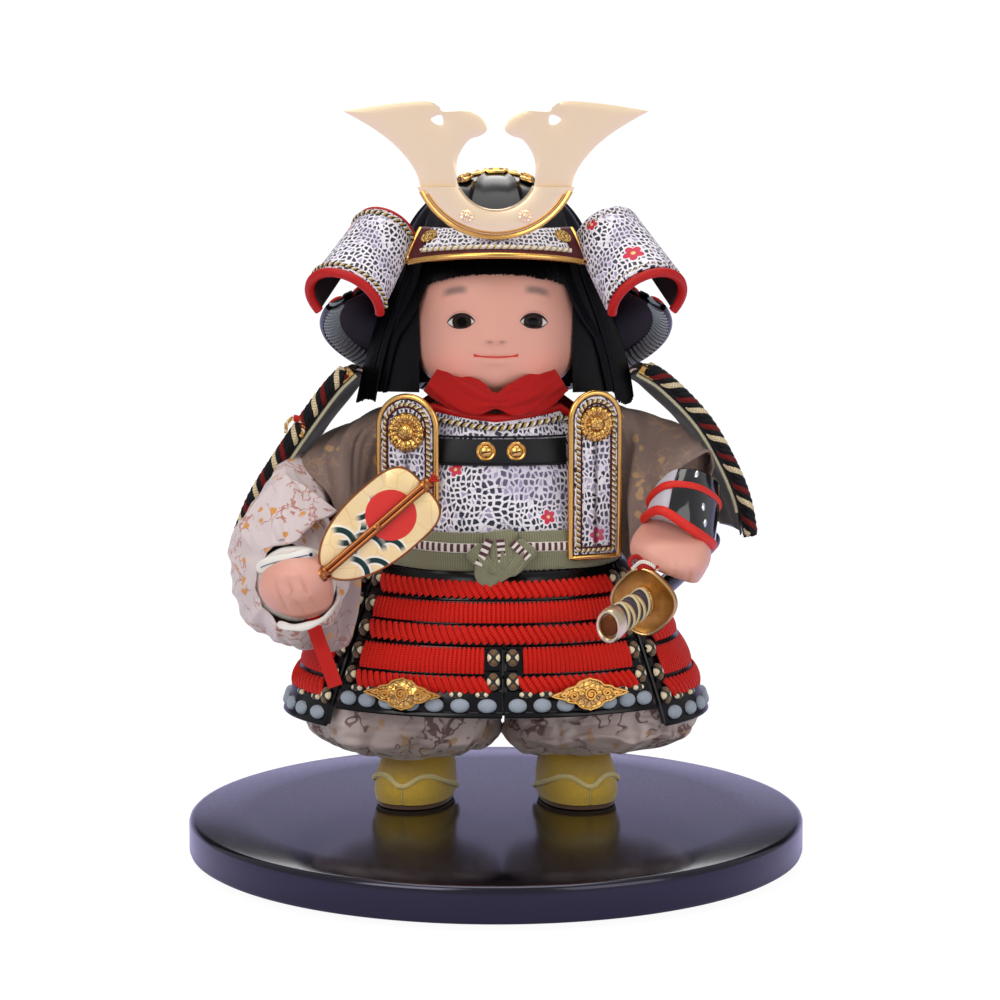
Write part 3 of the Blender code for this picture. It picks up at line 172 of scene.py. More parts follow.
def arc_uv(points):
    """Each point's distance along its column and along its row, in metres."""
    down = np.linalg.norm(np.diff(points, axis=0), axis=-1).mean(axis=1)
    across = np.linalg.norm(np.diff(points, axis=1), axis=-1).mean(axis=0)
    v = np.concatenate([[0], np.cumsum(down)])
    u = np.concatenate([[0], np.cumsum(across)])
    return np.stack(np.broadcast_arrays(u[None, :], v[:, None]), axis=-1)


def unit(vectors):
    size = np.linalg.norm(vectors, axis=-1, keepdims=True)
    return vectors / np.maximum(size, 1e-12)


def tubes(name, paths, radius, material, reference, sides=6, closed=False, flat=1.0, taper=None):
    """Round cords along paths (n, steps, 3), each ring set square to its path. flat squashes the ring
    towards the surface that reference, one vector or one for each point, is the normal of. taper scales
    the radius along the path."""
    paths = np.asarray(paths, float)
    many, steps = paths.shape[:2]
    if closed:
        along = unit(np.roll(paths, -1, axis=1) - np.roll(paths, 1, axis=1))
    else:
        along = unit(np.gradient(paths, axis=1))
    over = np.broadcast_to(np.asarray(reference, float), paths.shape)
    across = unit(np.cross(along, over))
    over = unit(np.cross(across, along))
    turn = np.linspace(0, TAU, sides, endpoint=False)
    size = np.broadcast_to(
        radius if taper is None else radius * np.asarray(taper), (many, steps)
    )[:, :, None, None]
    ring = across[:, :, None] * np.cos(turn)[:, None] + over[:, :, None] * np.sin(turn)[:, None] * flat
    points = paths[:, :, None] + ring * size
    one = quads(steps, sides, closed, True)
    shift = (np.arange(many) * steps * sides)[:, None, None]
    faces = [(one[None] + shift).reshape(-1, 4)]
    if not closed:
        ends = np.stack([np.arange(sides), (steps - 1) * sides + np.arange(sides)])
        faces.append((ends[None] + shift).reshape(-1, sides))
    run = np.linalg.norm(np.diff(paths, axis=1), axis=-1)
    run = np.concatenate([np.zeros((many, 1)), np.cumsum(run, axis=1)], axis=1)
    around = turn / TAU
    uv = np.stack(np.broadcast_arrays(around[None, None, :], run[:, :, None]), axis=-1)
    return mesh_object(name, points, faces, material, uv)


def copies(name, verts, faces, places, material, uv=None):
    """The same small shape at many places. places is (n, 4, 4); verts (m, 3); faces a list of index
    arrays."""
    verts = np.asarray(verts, float)
    many, size = len(places), len(verts)
    spots = np.einsum("nij,mj->nmi", places[:, :3, :3], verts) + places[:, None, :3, 3]
    shift = np.arange(many)[:, None, None] * size
    all_faces = [(f[None] + shift).reshape(-1, f.shape[1]) for f in faces]
    if uv is not None:
        uv = np.broadcast_to(np.asarray(uv)[None], (many, size, 2))
    return mesh_object(name, spots.reshape(-1, 3), all_faces, material, uv)


def frames_at(points, normals, upright):
    """Places (n, 4, 4) whose Z is the normal and whose Y is close to upright."""
    z = unit(np.asarray(normals, float))
    x = unit(np.cross(np.broadcast_to(upright, z.shape), z))
    y = np.cross(z, x)
    places = np.zeros((len(z), 4, 4))
    places[:, :3, 0], places[:, :3, 1], places[:, :3, 2], places[:, :3, 3] = x, y, z, points
    places[:, 3, 3] = 1
    return places


def disc_shape(profile, sides):
    """A turned shape: radius and height pairs from the rim to the crown."""
    turn = np.linspace(0, TAU, sides, endpoint=False)
    rows = [np.stack([r * np.cos(turn), r * np.sin(turn), np.full(sides, z)], axis=-1) for r, z in profile]
    verts = np.concatenate(rows)
    faces = [quads(len(profile), sides, False, True)]
    faces.append(np.arange(sides)[None, :])
    faces.append((len(profile) - 1) * sides + np.arange(sides)[None, :])
    return verts, faces


def smooth_line(points, steps, closed=False):
    """A Catmull-Rom curve through control points, sampled evenly between them."""
    points = np.asarray(points, float)
    if closed:
        ext = np.concatenate([points[-1:], points, points[:2]])
        spans = len(points)
    else:
        ext = np.concatenate([2 * points[:1] - points[1:2], points, 2 * points[-1:] - points[-2:-1]])
        spans = len(points) - 1
    t = np.linspace(0, spans, steps, endpoint=not closed)
    i = np.minimum(t.astype(int), spans - 1)
    f = (t - i)[:, None]
    a, b, c, d = ext[i], ext[i + 1], ext[i + 2], ext[i + 3]
    return 0.5 * (2 * b + (c - a) * f + (2 * a - 5 * b + 4 * c - d) * f**2 + (3 * b - a - 3 * c + d) * f**3)


# Materials


class Paint:
    """A Principled material under construction, with short calls for its nodes."""

    def __init__(self, name, base, rough, metal=0.0, slot=None, **inputs):
        title = name + "_look"  # the frame's own plain materials have the bare names
        self.made = bpy.data.materials.get(title) is None
        self.mat = bpy.data.materials.get(title) or bpy.data.materials.new(title)
        self.mat.use_nodes = True
        self.tree = self.mat.node_tree
        self.shader = self.tree.nodes["Principled BSDF"]
        if self.made:
            self.mat["slot"] = slot or name
            self.mat.diffuse_color = (*base, 1)
            self.shader.inputs["Base Color"].default_value = (*base, 1)
            self.shader.inputs["Roughness"].default_value = rough
            self.shader.inputs["Metallic"].default_value = metal
            for key, value in inputs.items():
                self.shader.inputs[key.replace("_", " ")].default_value = value

    def add(self, kind, output=0, **values):
        """Adds a node, sets or links its inputs by name or number, and gives back one of its outputs."""
        node = self.tree.nodes.new("ShaderNode" + kind)
        for key, value in values.items():
            if key.startswith("in") and key[2:].isdigit():
                socket = node.inputs[int(key[2:])]
            elif key in node.inputs:
                socket = node.inputs[key]
            elif key.replace("_", " ") in node.inputs:
                socket = node.inputs[key.replace("_", " ")]
            else:
                setattr(node, key, value)
                continue
            if isinstance(value, bpy.types.NodeSocket):
                self.tree.links.new(value, socket)
            else:
                socket.default_value = value
        return node.outputs[output]

    def math(self, operation, a, b=0.0, c=0.0):
        return self.add("Math", operation=operation, in0=a, in1=b, in2=c)

    def mix(self, share, a, b):
        """Colour a to colour b by share. Plain colours are linear RGB."""
        node = self.tree.nodes.new("ShaderNodeMix")
        node.data_type = "RGBA"
        for slot_at, value in ((0, share), (6, a), (7, b)):
            if isinstance(value, bpy.types.NodeSocket):
                self.tree.links.new(value, node.inputs[slot_at])
            elif slot_at == 0:
                node.inputs[0].default_value = value
            else:
                node.inputs[slot_at].default_value = (*value, 1)
        return node.outputs[2]

    def ramp(self, value, low, high):
        """0 below low, 1 above high, and smooth between."""
        return self.add(
            "MapRange", interpolation_type="SMOOTHSTEP", in0=value, in1=low, in2=high, in3=0.0, in4=1.0
        )

    def where(self, scale=1.0, stretch=(1, 1, 1)):
        """Object coordinates in metres, scaled."""
        spot = self.add("TexCoord", output=3)
        return self.add("Mapping", Vector=spot, Scale=tuple(scale * s for s in stretch))

    def weave(self, scale=1.0):
        """The piece's own UV in metres, scaled."""
        spot = self.add("UVMap", uv_map="weave")
        return self.add("Mapping", Vector=spot, Scale=(scale,) * 3)

    def noise(self, vector, scale, detail=3.0, output=0):
        return self.add("TexNoise", output=output, Vector=vector, Scale=scale, Detail=detail)

    def bump(self, height, depth_mm, strength=1.0):
        """Relief: height 0 to 1 stands for so many millimetres."""
        normal = self.add("Bump", Strength=strength, Distance=depth_mm * MM, Height=height)
        self.tree.links.new(normal, self.shader.inputs["Normal"])

    def set(self, name, value):
        self.tree.links.new(value, self.shader.inputs[name])


def lacquer():
    """Brushed-on lacquer: a deep black under a clear coat that is a little uneven, which breaks up the
    highlights."""
    p = Paint(
        "black_lacquer", tuple(shared().lacquer), 0.30, Specular_IOR_Level=0.22, Coat_Weight=0.08,
        Coat_Roughness=0.12
    )
    if p.made:
        drift = p.noise(p.where(40), 1.0, 2)
        p.set("Roughness", p.add("MapRange", in0=drift, in1=0.3, in2=0.7, in3=0.16, in4=0.30))
        p.bump(p.noise(p.where(220), 1.0, 2), 0.02, 0.4)
    return p.mat


def stand_lacquer():
    """The stand's rubbed black lacquer: a soft mirror with fine grain that shows at its edge."""
    # Specular_Tint tints all of the stand's reflections violet: a painted reflection colour.
    p = Paint(
        "stand_lacquer", linear("#07060b"), 0.2, slot="black_lacquer", Specular_IOR_Level=0.62,
        Specular_Tint=(0.80, 0.76, 1.0, 1.0)
    )
    if p.made:
        grain = p.noise(p.where(500), 1.0, 3)
        p.set("Roughness", p.add("MapRange", in0=grain, in1=0.3, in2=0.7, in3=0.13, in4=0.19))
        p.bump(grain, 0.01, 0.5)
    return p.mat


def gilt():
    """Gilt brass: stamped scrolls painted darker in their hollows as painted shade, with a relief that gives
    the metal its engraved sparkle.
    """
    base = tuple(shared().gilt)
    p = Paint("bright_gilt", base, 0.26, 1.0, slot="gilt_metal")
    if p.made:
        spot = p.where()
        warp = p.add("VectorMath", operation="SCALE", in0=p.noise(spot, 260, 2, output=1), Scale=0.0026)
        bent = p.add("VectorMath", operation="ADD", in0=spot, in1=warp)
        cells = p.add("TexVoronoi", feature="DISTANCE_TO_EDGE", Vector=bent, Scale=420)
        chasing_relief_and_shade = p.ramp(cells, 0.02, 0.16)
        # Painted shade: the hollows of the scrolls are painted down to 0.42 of the gilt.
        p.set("Base Color", p.mix(chasing_relief_and_shade, tuple(0.42 * c for c in base), base))
        p.bump(chasing_relief_and_shade, 0.12, 0.9)
    return p.mat


def plain_gilt(pale=False):
    """Polished rims and beads: plain gilt with only a faint tarnish."""
    base = shared().pale_gilt if pale else shared().gilt
    p = Paint(
        "plain_pale_gilt" if pale else "plain_gilt", tuple(base), 0.22, 1.0,
        slot="pale_gilt_metal" if pale else "gilt_metal"
    )
    if p.made:
        dull = p.noise(p.where(90), 1.0, 3)
        p.set("Roughness", p.add("MapRange", in0=dull, in1=0.3, in2=0.7, in3=0.16, in4=0.34))
    return p.mat


def silk_cord(name, base, dark=0.45, sheen=0.1):
    """Twisted silk cord: slanting strands with painted shade in the lay of the twist between them, and a soft
    sheen along each.
    """
    base = tuple(base)
    p = Paint(
        name, base, 0.60, slot="red_lacing", Sheen_Weight=sheen, Sheen_Roughness=0.35, Specular_IOR_Level=0.2
    )
    if p.made:
        node = p.add("SeparateXYZ", Vector=p.weave()).node
        lay = p.math(
            "ADD", p.math("MULTIPLY", node.outputs[1], 1 / (1.1 * MM)),
            p.math("MULTIPLY", node.outputs[0], 2.0)
        )
        strand = p.math("ABSOLUTE", p.math("SINE", p.math("MULTIPLY", lay, math.pi)))
        # Painted shade: the lay between the strands is painted down to dark times the base colour.
        p.set("Base Color", p.mix(strand, tuple(c * dark for c in base), base))
        p.bump(strand, 0.16, 0.8)
    return p.mat


def printed_leather(blossoms=()):
    """Smoked and stencilled leather: a pale ground with dark veined leaves, grey-violet scrolls and
    crimson blossoms."""
    c = shared()
    name = "printed_leather" + "".join(f"_{int(u * 1e4)}_{int(v * 1e4)}" for u, v, _ in blossoms)
    p = Paint(name[:60], tuple(c.leather), 0.55, slot="printed_leather")
    if not p.made:
        return p.mat
    flat = p.weave()
    warp = p.add("VectorMath", operation="SCALE", in0=p.noise(flat, 70, 1, output=1), Scale=0.0045)
    bent = p.add("VectorMath", operation="ADD", in0=flat, in1=warp)
    seeds = p.add("Mapping", Vector=bent, Scale=(455, 330, 1))
    cells = p.add(
        "TexVoronoi", feature="DISTANCE_TO_EDGE", voronoi_dimensions="2D", Vector=seeds, Scale=1.0,
        Randomness=0.75
    )
    leaf = p.ramp(cells, 0.15, 0.21)
    pick = p.add(
        "TexVoronoi", output=1, feature="F1", voronoi_dimensions="2D", Vector=seeds, Scale=1.0,
        Randomness=0.75
    )
    tone = p.add("SeparateColor", Color=pick)
    ink = p.mix(p.ramp(tone, 0.17, 0.20), linear("#9d93b4"), tuple(c.leather_ink))
    waves = p.noise(bent, 210, 2)
    thin = p.ramp(p.math("ABSOLUTE", p.math("SUBTRACT", waves, 0.5)), 0.012, 0.004)
    figure = p.math("MULTIPLY", leaf, p.ramp(tone, 0.05, 0.08))
    paint = p.mix(figure, tuple(c.leather), ink)
    paint = p.mix(p.math("MULTIPLY", thin, 0.7), paint, linear("#5b5478"))
    for u, v, radius in blossoms:
        rel = p.add("VectorMath", operation="SUBTRACT", in0=flat, in1=(u, v, 0))
        part = p.add("SeparateXYZ", Vector=rel).node
        away = p.add("VectorMath", output=1, operation="LENGTH", in0=rel)
        angle = p.math("ARCTAN2", part.outputs[1], part.outputs[0])
        petal = p.math("ABSOLUTE", p.math("SINE", p.math("MULTIPLY", angle, 2.5)))
        reach = p.math("MULTIPLY", p.math("ADD", 0.62, p.math("MULTIPLY", petal, 0.38)), radius)
        share = p.math("DIVIDE", away, reach)
        inside = p.ramp(share, 1.0, 0.93)
        rim = p.ramp(share, 1.22, 1.14)
        heart = p.ramp(p.math("DIVIDE", away, radius), 0.24, 0.18)
        paint = p.mix(rim, paint, tuple(c.leather))
        paint = p.mix(inside, paint, tuple(c.blossom))
        paint = p.mix(heart, paint, linear("#e9c46a"))
    stain = p.ramp(p.noise(flat, 38, 2), 0.46, 0.62)
    paint = p.mix(p.math("MULTIPLY", stain, 0.35), paint, linear("#8f83a8"))
    p.set("Base Color", paint)
    p.bump(p.math("ADD", p.noise(flat, 1500, 3), p.math("MULTIPLY", figure, 0.4)), 0.05, 0.6)
    return p.mat


def piping_leather(name="red_piping", base=None, slot="red_leather"):
    """Piping and linings: dyed leather with a fine grain."""
    base = tuple(base or shared().piping)
    p = Paint(name, base, 0.5, slot=slot, Specular_IOR_Level=0.3)
    if p.made:
        grain = p.noise(p.where(1400), 1.0, 3)
        p.set("Base Color", p.mix(grain, tuple(0.7 * v for v in base), tuple(min(1, 1.2 * v) for v in base)))
        p.bump(grain, 0.06, 0.6)
    return p.mat


def painted_skin():
    """Shell-white gesso rubbed to a soft sheen over wood paste, with a faint mottle."""
    c = shared()
    p = Paint("painted_skin", tuple(c.skin), 0.42, Subsurface_Weight=0.15, Subsurface_Scale=0.004)
    if p.made:
        mottled = p.noise(p.where(60), 1.0, 3)
        base = tuple(c.skin)
        p.set("Base Color", p.mix(mottled, tuple(0.94 * v for v in base), base))
        p.bump(p.noise(p.where(900), 1.0, 2), 0.01, 0.3)
    return p.mat


def hair_silk():
    """Straight silk hair: fine upright strands that catch a narrow light."""
    p = Paint("hair_silk", tuple(shared().hair), 0.34, slot="black_hair", Specular_IOR_Level=0.14)
    if p.made:
        strands = p.noise(p.where(1.0, (2600, 2600, 60)), 1.0, 2)
        p.set("Roughness", p.add("MapRange", in0=strands, in1=0.3, in2=0.7, in3=0.28, in4=0.5))
        p.bump(strands, 0.12, 0.8)
    return p.mat


def velour(name, base, slot="mustard_felt"):
    """Short-pile velour: a sheen at grazing angles and a faint nap."""
    base = tuple(base)
    p = Paint(name, base, 0.85, slot=slot, Sheen_Weight=0.6, Sheen_Roughness=0.5)
    if p.made:
        nap = p.noise(p.where(700), 1.0, 4)
        p.set("Base Color", p.mix(nap, tuple(0.72 * v for v in base), tuple(min(1, 1.15 * v) for v in base)))
        p.bump(nap, 0.10, 0.6)
    return p.mat


def plain_cloth(name, base, thread_mm=0.35, slot="white_cotton"):
    """Plain-woven cloth: over-and-under threads at their real pitch."""
    base = tuple(base)
    p = Paint(name, base, 0.8, slot=slot, Sheen_Weight=0.1, Specular_IOR_Level=0.25)
    if p.made:
        part = p.add("SeparateXYZ", Vector=p.weave(1 / (thread_mm * MM))).node
        warp = p.math("SINE", p.math("MULTIPLY", part.outputs[0], TAU))
        weft = p.math("SINE", p.math("MULTIPLY", part.outputs[1], TAU))
        thread = p.add("MapRange", in0=p.math("MULTIPLY", warp, weft), in1=-1.0, in2=1.0, in3=0.0, in4=1.0)
        p.set("Base Color", p.mix(thread, tuple(0.8 * v for v in base), base))
        p.bump(thread, 0.06, 0.6)
    return p.mat


def plain_metal(name, base, rough, slot="old_brass"):
    base = tuple(base)
    p = Paint(name, base, rough, 1.0, slot=slot)
    if p.made:
        dull = p.noise(p.where(120), 1.0, 3)
        p.set("Base Color", p.mix(dull, tuple(0.7 * v for v in base), base))
    return p.mat


def paint_nodes(look, *names):
    """Gives CAD nodes that stay visible their procedural material."""
    for name in names:
        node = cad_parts[name]
        node.data.materials.clear()
        node.data.materials.append(look)


# Forms of the doll, in its own frame: x to its left, y to its back, z up


def squared(turn, wide, deep, power):
    """A superellipse in plan. Turn 0 is the front, and it grows towards +X."""
    s, c = np.sin(turn), np.cos(turn)
    return np.sign(s) * np.abs(s) ** (2 / power) * wide, -np.sign(c) * np.abs(c) ** (2 / power) * deep


def build_stage(shelf):
    """A pale table top that curves up behind, three soft lamps and the camera of the photograph."""
    run = np.array([(-1.6, 0.0), (0.9, 0.0), (1.5, 0.05), (1.9, 0.35), (2.05, 0.9), (2.1, 2.2)])
    profile = smooth_line(run, 60)
    across = np.linspace(-2.6, 2.6, 2)
    points = np.stack(
        [
            np.broadcast_to(across[None, :], (60, 2)),
            np.broadcast_to(profile[:, :1], (60, 2)),
            np.broadcast_to(profile[:, 1:], (60, 2)) - DOLL_AT[2],
        ],
        axis=-1,
    )
    p = Paint("paper_backdrop", (0.9, 0.9, 0.9), 0.9)
    if p.made:
        paper = p.mix(p.noise(p.where(30), 1.0, 2), (0.88, 0.88, 0.88), (0.91, 0.91, 0.91))
        height = p.add("SeparateXYZ", Vector=p.where()).node.outputs[2]
        # Painted reflection: glossy rays see the paper violet below 0.44 m and near-black above 0.62 m, while
        # the camera sees it white.
        painted_reflection_tint = p.mix(p.ramp(height, 0.62, 0.44), (0.05, 0.05, 0.06), (0.66, 0.63, 1.0))
        p.set("Base Color", p.mix(p.add("LightPath", output=3), paper, painted_reflection_tint))
        seen = p.add("LightPath", output=0)
        white = p.add("Emission", Color=(1, 1, 1, 1), Strength=shelf.backdrop_glow)
        shine = p.tree.nodes["Principled BSDF"].outputs[0]
        share = p.math("MULTIPLY", seen, shelf.backdrop_share)
        mixed = p.add("MixShader", in0=share, in1=shine, in2=white)
        p.tree.links.new(mixed, p.tree.nodes["Material Output"].inputs["Surface"])
    floor = surface("backdrop", points, p.mat)
    lamps = (
        ("key_lamp", (-1.05, -1.5, 1.35), 1.2, shelf.key_power),
        ("fill_lamp", (1.3, -1.35, 0.85), 1.3, shelf.fill_power),
        ("top_lamp", (0.0, 0.1, 1.9), 1.3, shelf.top_power),
        ("back_lamp", (0.0, 1.3, 1.1), 0.9, shelf.back_power),
    )
    for name, place, size, power in lamps:
        lamp = bpy.data.lights.new(name, "AREA")
        lamp.size = size
        lamp.energy = power
        lamp.color = linear("#fffdfa")
        holder = bpy.data.objects.new(name, lamp)
        holder.location = place
        holder.rotation_euler = (Vector((0, 0, 0.17)) - Vector(place)).to_track_quat("-Z", "Y").to_euler()
        bpy.context.scene.collection.objects.link(holder)
    world = bpy.data.worlds.new("room")
    world.use_nodes = True
    ground = world.node_tree.nodes["Background"]
    ground.inputs["Color"].default_value = (0.95, 0.96, 1.0, 1)
    rays = world.node_tree.nodes.new("ShaderNodeLightPath")
    level = world.node_tree.nodes.new("ShaderNodeMapRange")
    level.inputs["To Min"].default_value = shelf.room_light
    level.inputs["To Max"].default_value = shelf.room_mirror
    world.node_tree.links.new(rays.outputs["Is Glossy Ray"], level.inputs["Value"])
    world.node_tree.links.new(level.outputs["Result"], ground.inputs["Strength"])
    bpy.context.scene.world = world
    lens = bpy.data.cameras.new("photo_camera")
    lens.lens = shelf.focal_length
    lens.sensor_width = SENSOR_WIDTH
    lens.shift_x = 0.004
    lens.clip_start = 0.05
    camera = bpy.data.objects.new("photo_camera", lens)
    camera.location = CAMERA_AT
    camera.rotation_euler = (math.radians(90) - CAMERA_TILT, 0, 0)
    bpy.context.scene.collection.objects.link(camera)
    bpy.context.scene.camera = camera
    bpy.context.scene.view_settings.view_transform = "Standard"


class StageLook(bpy.types.PropertyGroup):
    """Lamps, backdrop and lens."""

    key_power: FloatProperty(
        name="Key lamp", description="Large soft lamp at the front left", default=19.0, unit="POWER"
    )
    fill_power: FloatProperty(
        name="Fill lamp", description="Soft lamp at the front right", default=10.0, unit="POWER"
    )
    top_power: FloatProperty(name="Top lamp", description="Soft lamp overhead", default=15.0, unit="POWER")
    back_power: FloatProperty(
        name="Back lamp", description="Lamp behind, for bright edges", default=8.0, unit="POWER"
    )
    room_light: FloatProperty(
        name="Room light", description="Even light of the white room", default=0.42, min=0.0
    )
    room_mirror: FloatProperty(
        name="Room mirror", description="The room as gloss mirrors it", default=0.5, min=0.0
    )
    backdrop_glow: FloatProperty(
        name="Backdrop", description="How bright the backdrop looks to the camera", default=1.06
    )
    backdrop_share: FloatProperty(
        name="Backdrop share", description="How much of that brightness shows", default=0.9
    )
    focal_length: FloatProperty(
        name="Focal length", description="Lens in millimetres on a 36 mm sensor", default=120.0
    )


class DOLL_OT_stage(bpy.types.Operator):
    """Set the table top, lamps and camera"""

    bl_idname = "doll.stage"
    bl_label = "Stage"

    def execute(self, context):
        build_stage(context.scene.doll_stage)
        return {"FINISHED"}


TORSO = np.array(
    [
        (0.094, 0.058, 0.052),
        (0.120, 0.060, 0.055),
        (0.145, 0.059, 0.055),
        (0.170, 0.057, 0.051),
        (0.190, 0.051, 0.046),
        (0.206, 0.043, 0.040),
    ]
)
HEAD = np.array(
    [
        (0.2040, 0.0110, 0.0100, -0.0220),
        (0.2075, 0.0240, 0.0210, -0.0160),
        (0.2135, 0.0335, 0.0310, -0.0110),
        (0.2220, 0.0390, 0.0370, -0.0075),
        (0.2320, 0.0412, 0.0400, -0.0050),
        (0.2450, 0.0415, 0.0415, -0.0035),
        (0.2600, 0.0400, 0.0405, -0.0020),
        (0.2740, 0.0350, 0.0360, 0.0005),
        (0.2850, 0.0270, 0.0280, 0.0030),
        (0.2920, 0.0150, 0.0160, 0.0040),
    ]
)
HELMET_Z = 0.258
HELMET_TILT = math.radians(-25)
SKIRT_TOP_Z = 0.1232
FRONT_BOTTOM_Z = 0.0565
SPLIT_X = 0.003


def torso_point(turn, height, out=0.0):
    """A point of the cuirass: a squarish ring whose axes are read from the levels, stood off by out."""
    wide, deep = (np.interp(height, TORSO[:, 0], TORSO[:, i]) + out for i in (1, 2))
    x, y = squared(turn, wide, deep, 2.3)
    return np.stack(np.broadcast_arrays(x, y, height), axis=-1)


def torso_front(x, height, out=0.0):
    """The point of the cuirass's front that lies x from the middle."""
    wide, deep = (np.interp(height, TORSO[:, 0], TORSO[:, i]) + out for i in (1, 2))
    share = np.minimum(np.abs(x) / wide, 0.999)
    y = -deep * (1 - share**2.3) ** (1 / 2.3)
    return np.stack(np.broadcast_arrays(x, y, height), axis=-1)


def skirt_point(turn, height, out=0.0):
    """A point of the flared skirt: between the waist ring and the hem ring, bowed outwards on the way
    down."""
    share = (SKIRT_TOP_Z - height) / (SKIRT_TOP_Z - FRONT_BOTTOM_Z)
    bow = share + 0.35 * share * (1 - share)
    wide = 0.0633 + (0.1005 - 0.0633) * bow + out
    deep = 0.0584 + (0.0735 - 0.0584) * bow + out
    x, y = squared(turn, wide, deep, 2.1)
    return np.stack(np.broadcast_arrays(x, y, height), axis=-1)


def skirt_front_edge(height):
    """The turn at which the front panel ends."""
    share = (SKIRT_TOP_Z - height) / (SKIRT_TOP_Z - FRONT_BOTTOM_Z)
    across = 0.056 + (0.0755 - 0.056) * share
    wide = np.abs(skirt_point(math.pi / 2, height)[..., 0])
    return np.arcsin(np.minimum((across / wide) ** 1.05, 0.98))


def surface_normals(points):
    """Normals of a grid of points, from its two directions."""
    return unit(np.cross(np.gradient(points, axis=1), np.gradient(points, axis=0)))


def head_point(turn, height, out=0.0):
    """A point of the smooth head: the levels are read with a rounded curve."""
    levels = smooth_line(HEAD, 120)
    wide, deep, centre = (np.interp(height, levels[:, 0], levels[:, i]) for i in (1, 2, 3))
    x, y = squared(turn, wide + out, deep + out, 2.2)
    return np.stack(np.broadcast_arrays(x, y + centre, height), axis=-1)


def from_helmet(points):
    """Takes points of the tipped helmet's frame into the doll's."""
    c, s = math.cos(HELMET_TILT), math.sin(HELMET_TILT)
    x, y, z = np.moveaxis(np.asarray(points, float), -1, 0)
    return np.stack([x, y * c - z * s, y * s + z * c + HELMET_Z], axis=-1)


def rope(name, path, normal, radius, pitch, looks, per_turn=8, sides=5):
    """Strands twisted round a path: strand k of n stands at the turn 2 pi (run / pitch + k / n), half
    the radius out."""
    path = np.asarray(path, float)
    normal = np.broadcast_to(np.asarray(normal, float), path.shape)
    run = np.concatenate([[0], np.cumsum(np.linalg.norm(np.diff(path, axis=0), axis=-1))])
    steps = max(int(run[-1] / pitch * per_turn), 8)
    s = np.linspace(0, run[-1], steps)
    spots = np.stack([np.interp(s, run, path[:, i]) for i in range(3)], axis=-1)
    over = np.stack([np.interp(s, run, normal[:, i]) for i in range(3)], axis=-1)
    along = unit(np.gradient(spots, axis=0))
    across = unit(np.cross(along, over))
    over = np.cross(across, along)
    made = []
    for k, look in enumerate(looks):
        turn = (TAU * (s / pitch + k / len(looks)))[:, None]
        strand = spots + (across * np.cos(turn) + over * np.sin(turn)) * radius * 0.5
        made.append(tubes(f"{name}_{k + 1}", strand[None], radius * 0.56, look, over, sides))
    return made


def braid_colours():
    """White, gold and black threads of the edging braid."""
    c = shared()
    return (
        silk_cord("white_thread", c.cotton, 0.6),
        silk_cord("gold_thread", linear("#c09a4a"), 0.6),
        silk_cord("black_thread", linear("#101014"), 0.6),
    )


def scroll(turns, start, end, steps=28):
    """A flat spiral curl, in its own plane: the radius falls evenly from start to end."""
    turn = np.linspace(0, TAU * turns, steps)
    radius = np.linspace(start, end, steps)
    return np.stack([radius * np.cos(turn), radius * np.sin(turn), np.zeros(steps)], axis=-1)


def placed(points, places):
    """Points (m, 3) carried to each of the places (n, 4, 4)."""
    return np.einsum("nij,mj->nmi", places[:, :3, :3], np.asarray(points, float)) + places[:, None, :3, 3]


def rosette(name, spot, normal, upright, radius, height, look, petals=12):
    """A chrysanthemum rosette: a rim of petals, a hollow ring, and a beaded heart."""
    profile = [
        (1.0, 0.0), (1.0, 0.22), (0.93, 0.42), (0.70, 0.50), (0.58, 0.34), (0.46, 0.40), (0.40, 0.80),
        (0.26, 1.0), (0.05, 1.02)
    ]
    verts, faces = [], []
    sides = petals * 8
    turn = np.linspace(0, TAU, sides, endpoint=False)
    rows = []
    for k, (r, h) in enumerate(profile):
        petal = np.abs(np.sin(petals * turn / 2))
        lobe = 1 + (0.05 * petal - 0.03) * (k < 4)
        dish = 1 + 0.35 * petal * (1 <= k < 5)
        rows.append(
            np.stack(
                [radius * r * lobe * np.cos(turn), radius * r * lobe * np.sin(turn), height * h * dish],
                axis=-1
            )
        )
    verts = np.concatenate(rows)
    faces = [
        quads(len(profile), sides, False, True), np.arange(sides)[None, :],
        (len(profile) - 1) * sides + np.arange(sides)[None, :]
    ]
    return copies(name, verts, faces, frames_at(np.array([spot]), np.array([normal]), upright), look)


# Helmet


def bowl_point(turn, rise, out=0.0):
    """A point of the bowl in the helmet's frame: an ellipsoid with twelve raised ribs."""
    rib = 0.0013 * np.clip(np.cos(12 * turn - math.pi), 0, 1) ** 8 * np.clip(np.cos(rise) * 4, 0, 1)
    wide, deep, high = 0.048 + rib + out, 0.050 + rib + out, 0.052 + rib + out
    flat = np.cos(rise)
    return from_helmet(
        np.stack([wide * np.sin(turn) * flat, -deep * np.cos(turn) * flat, high * np.sin(rise)], axis=-1)
    )


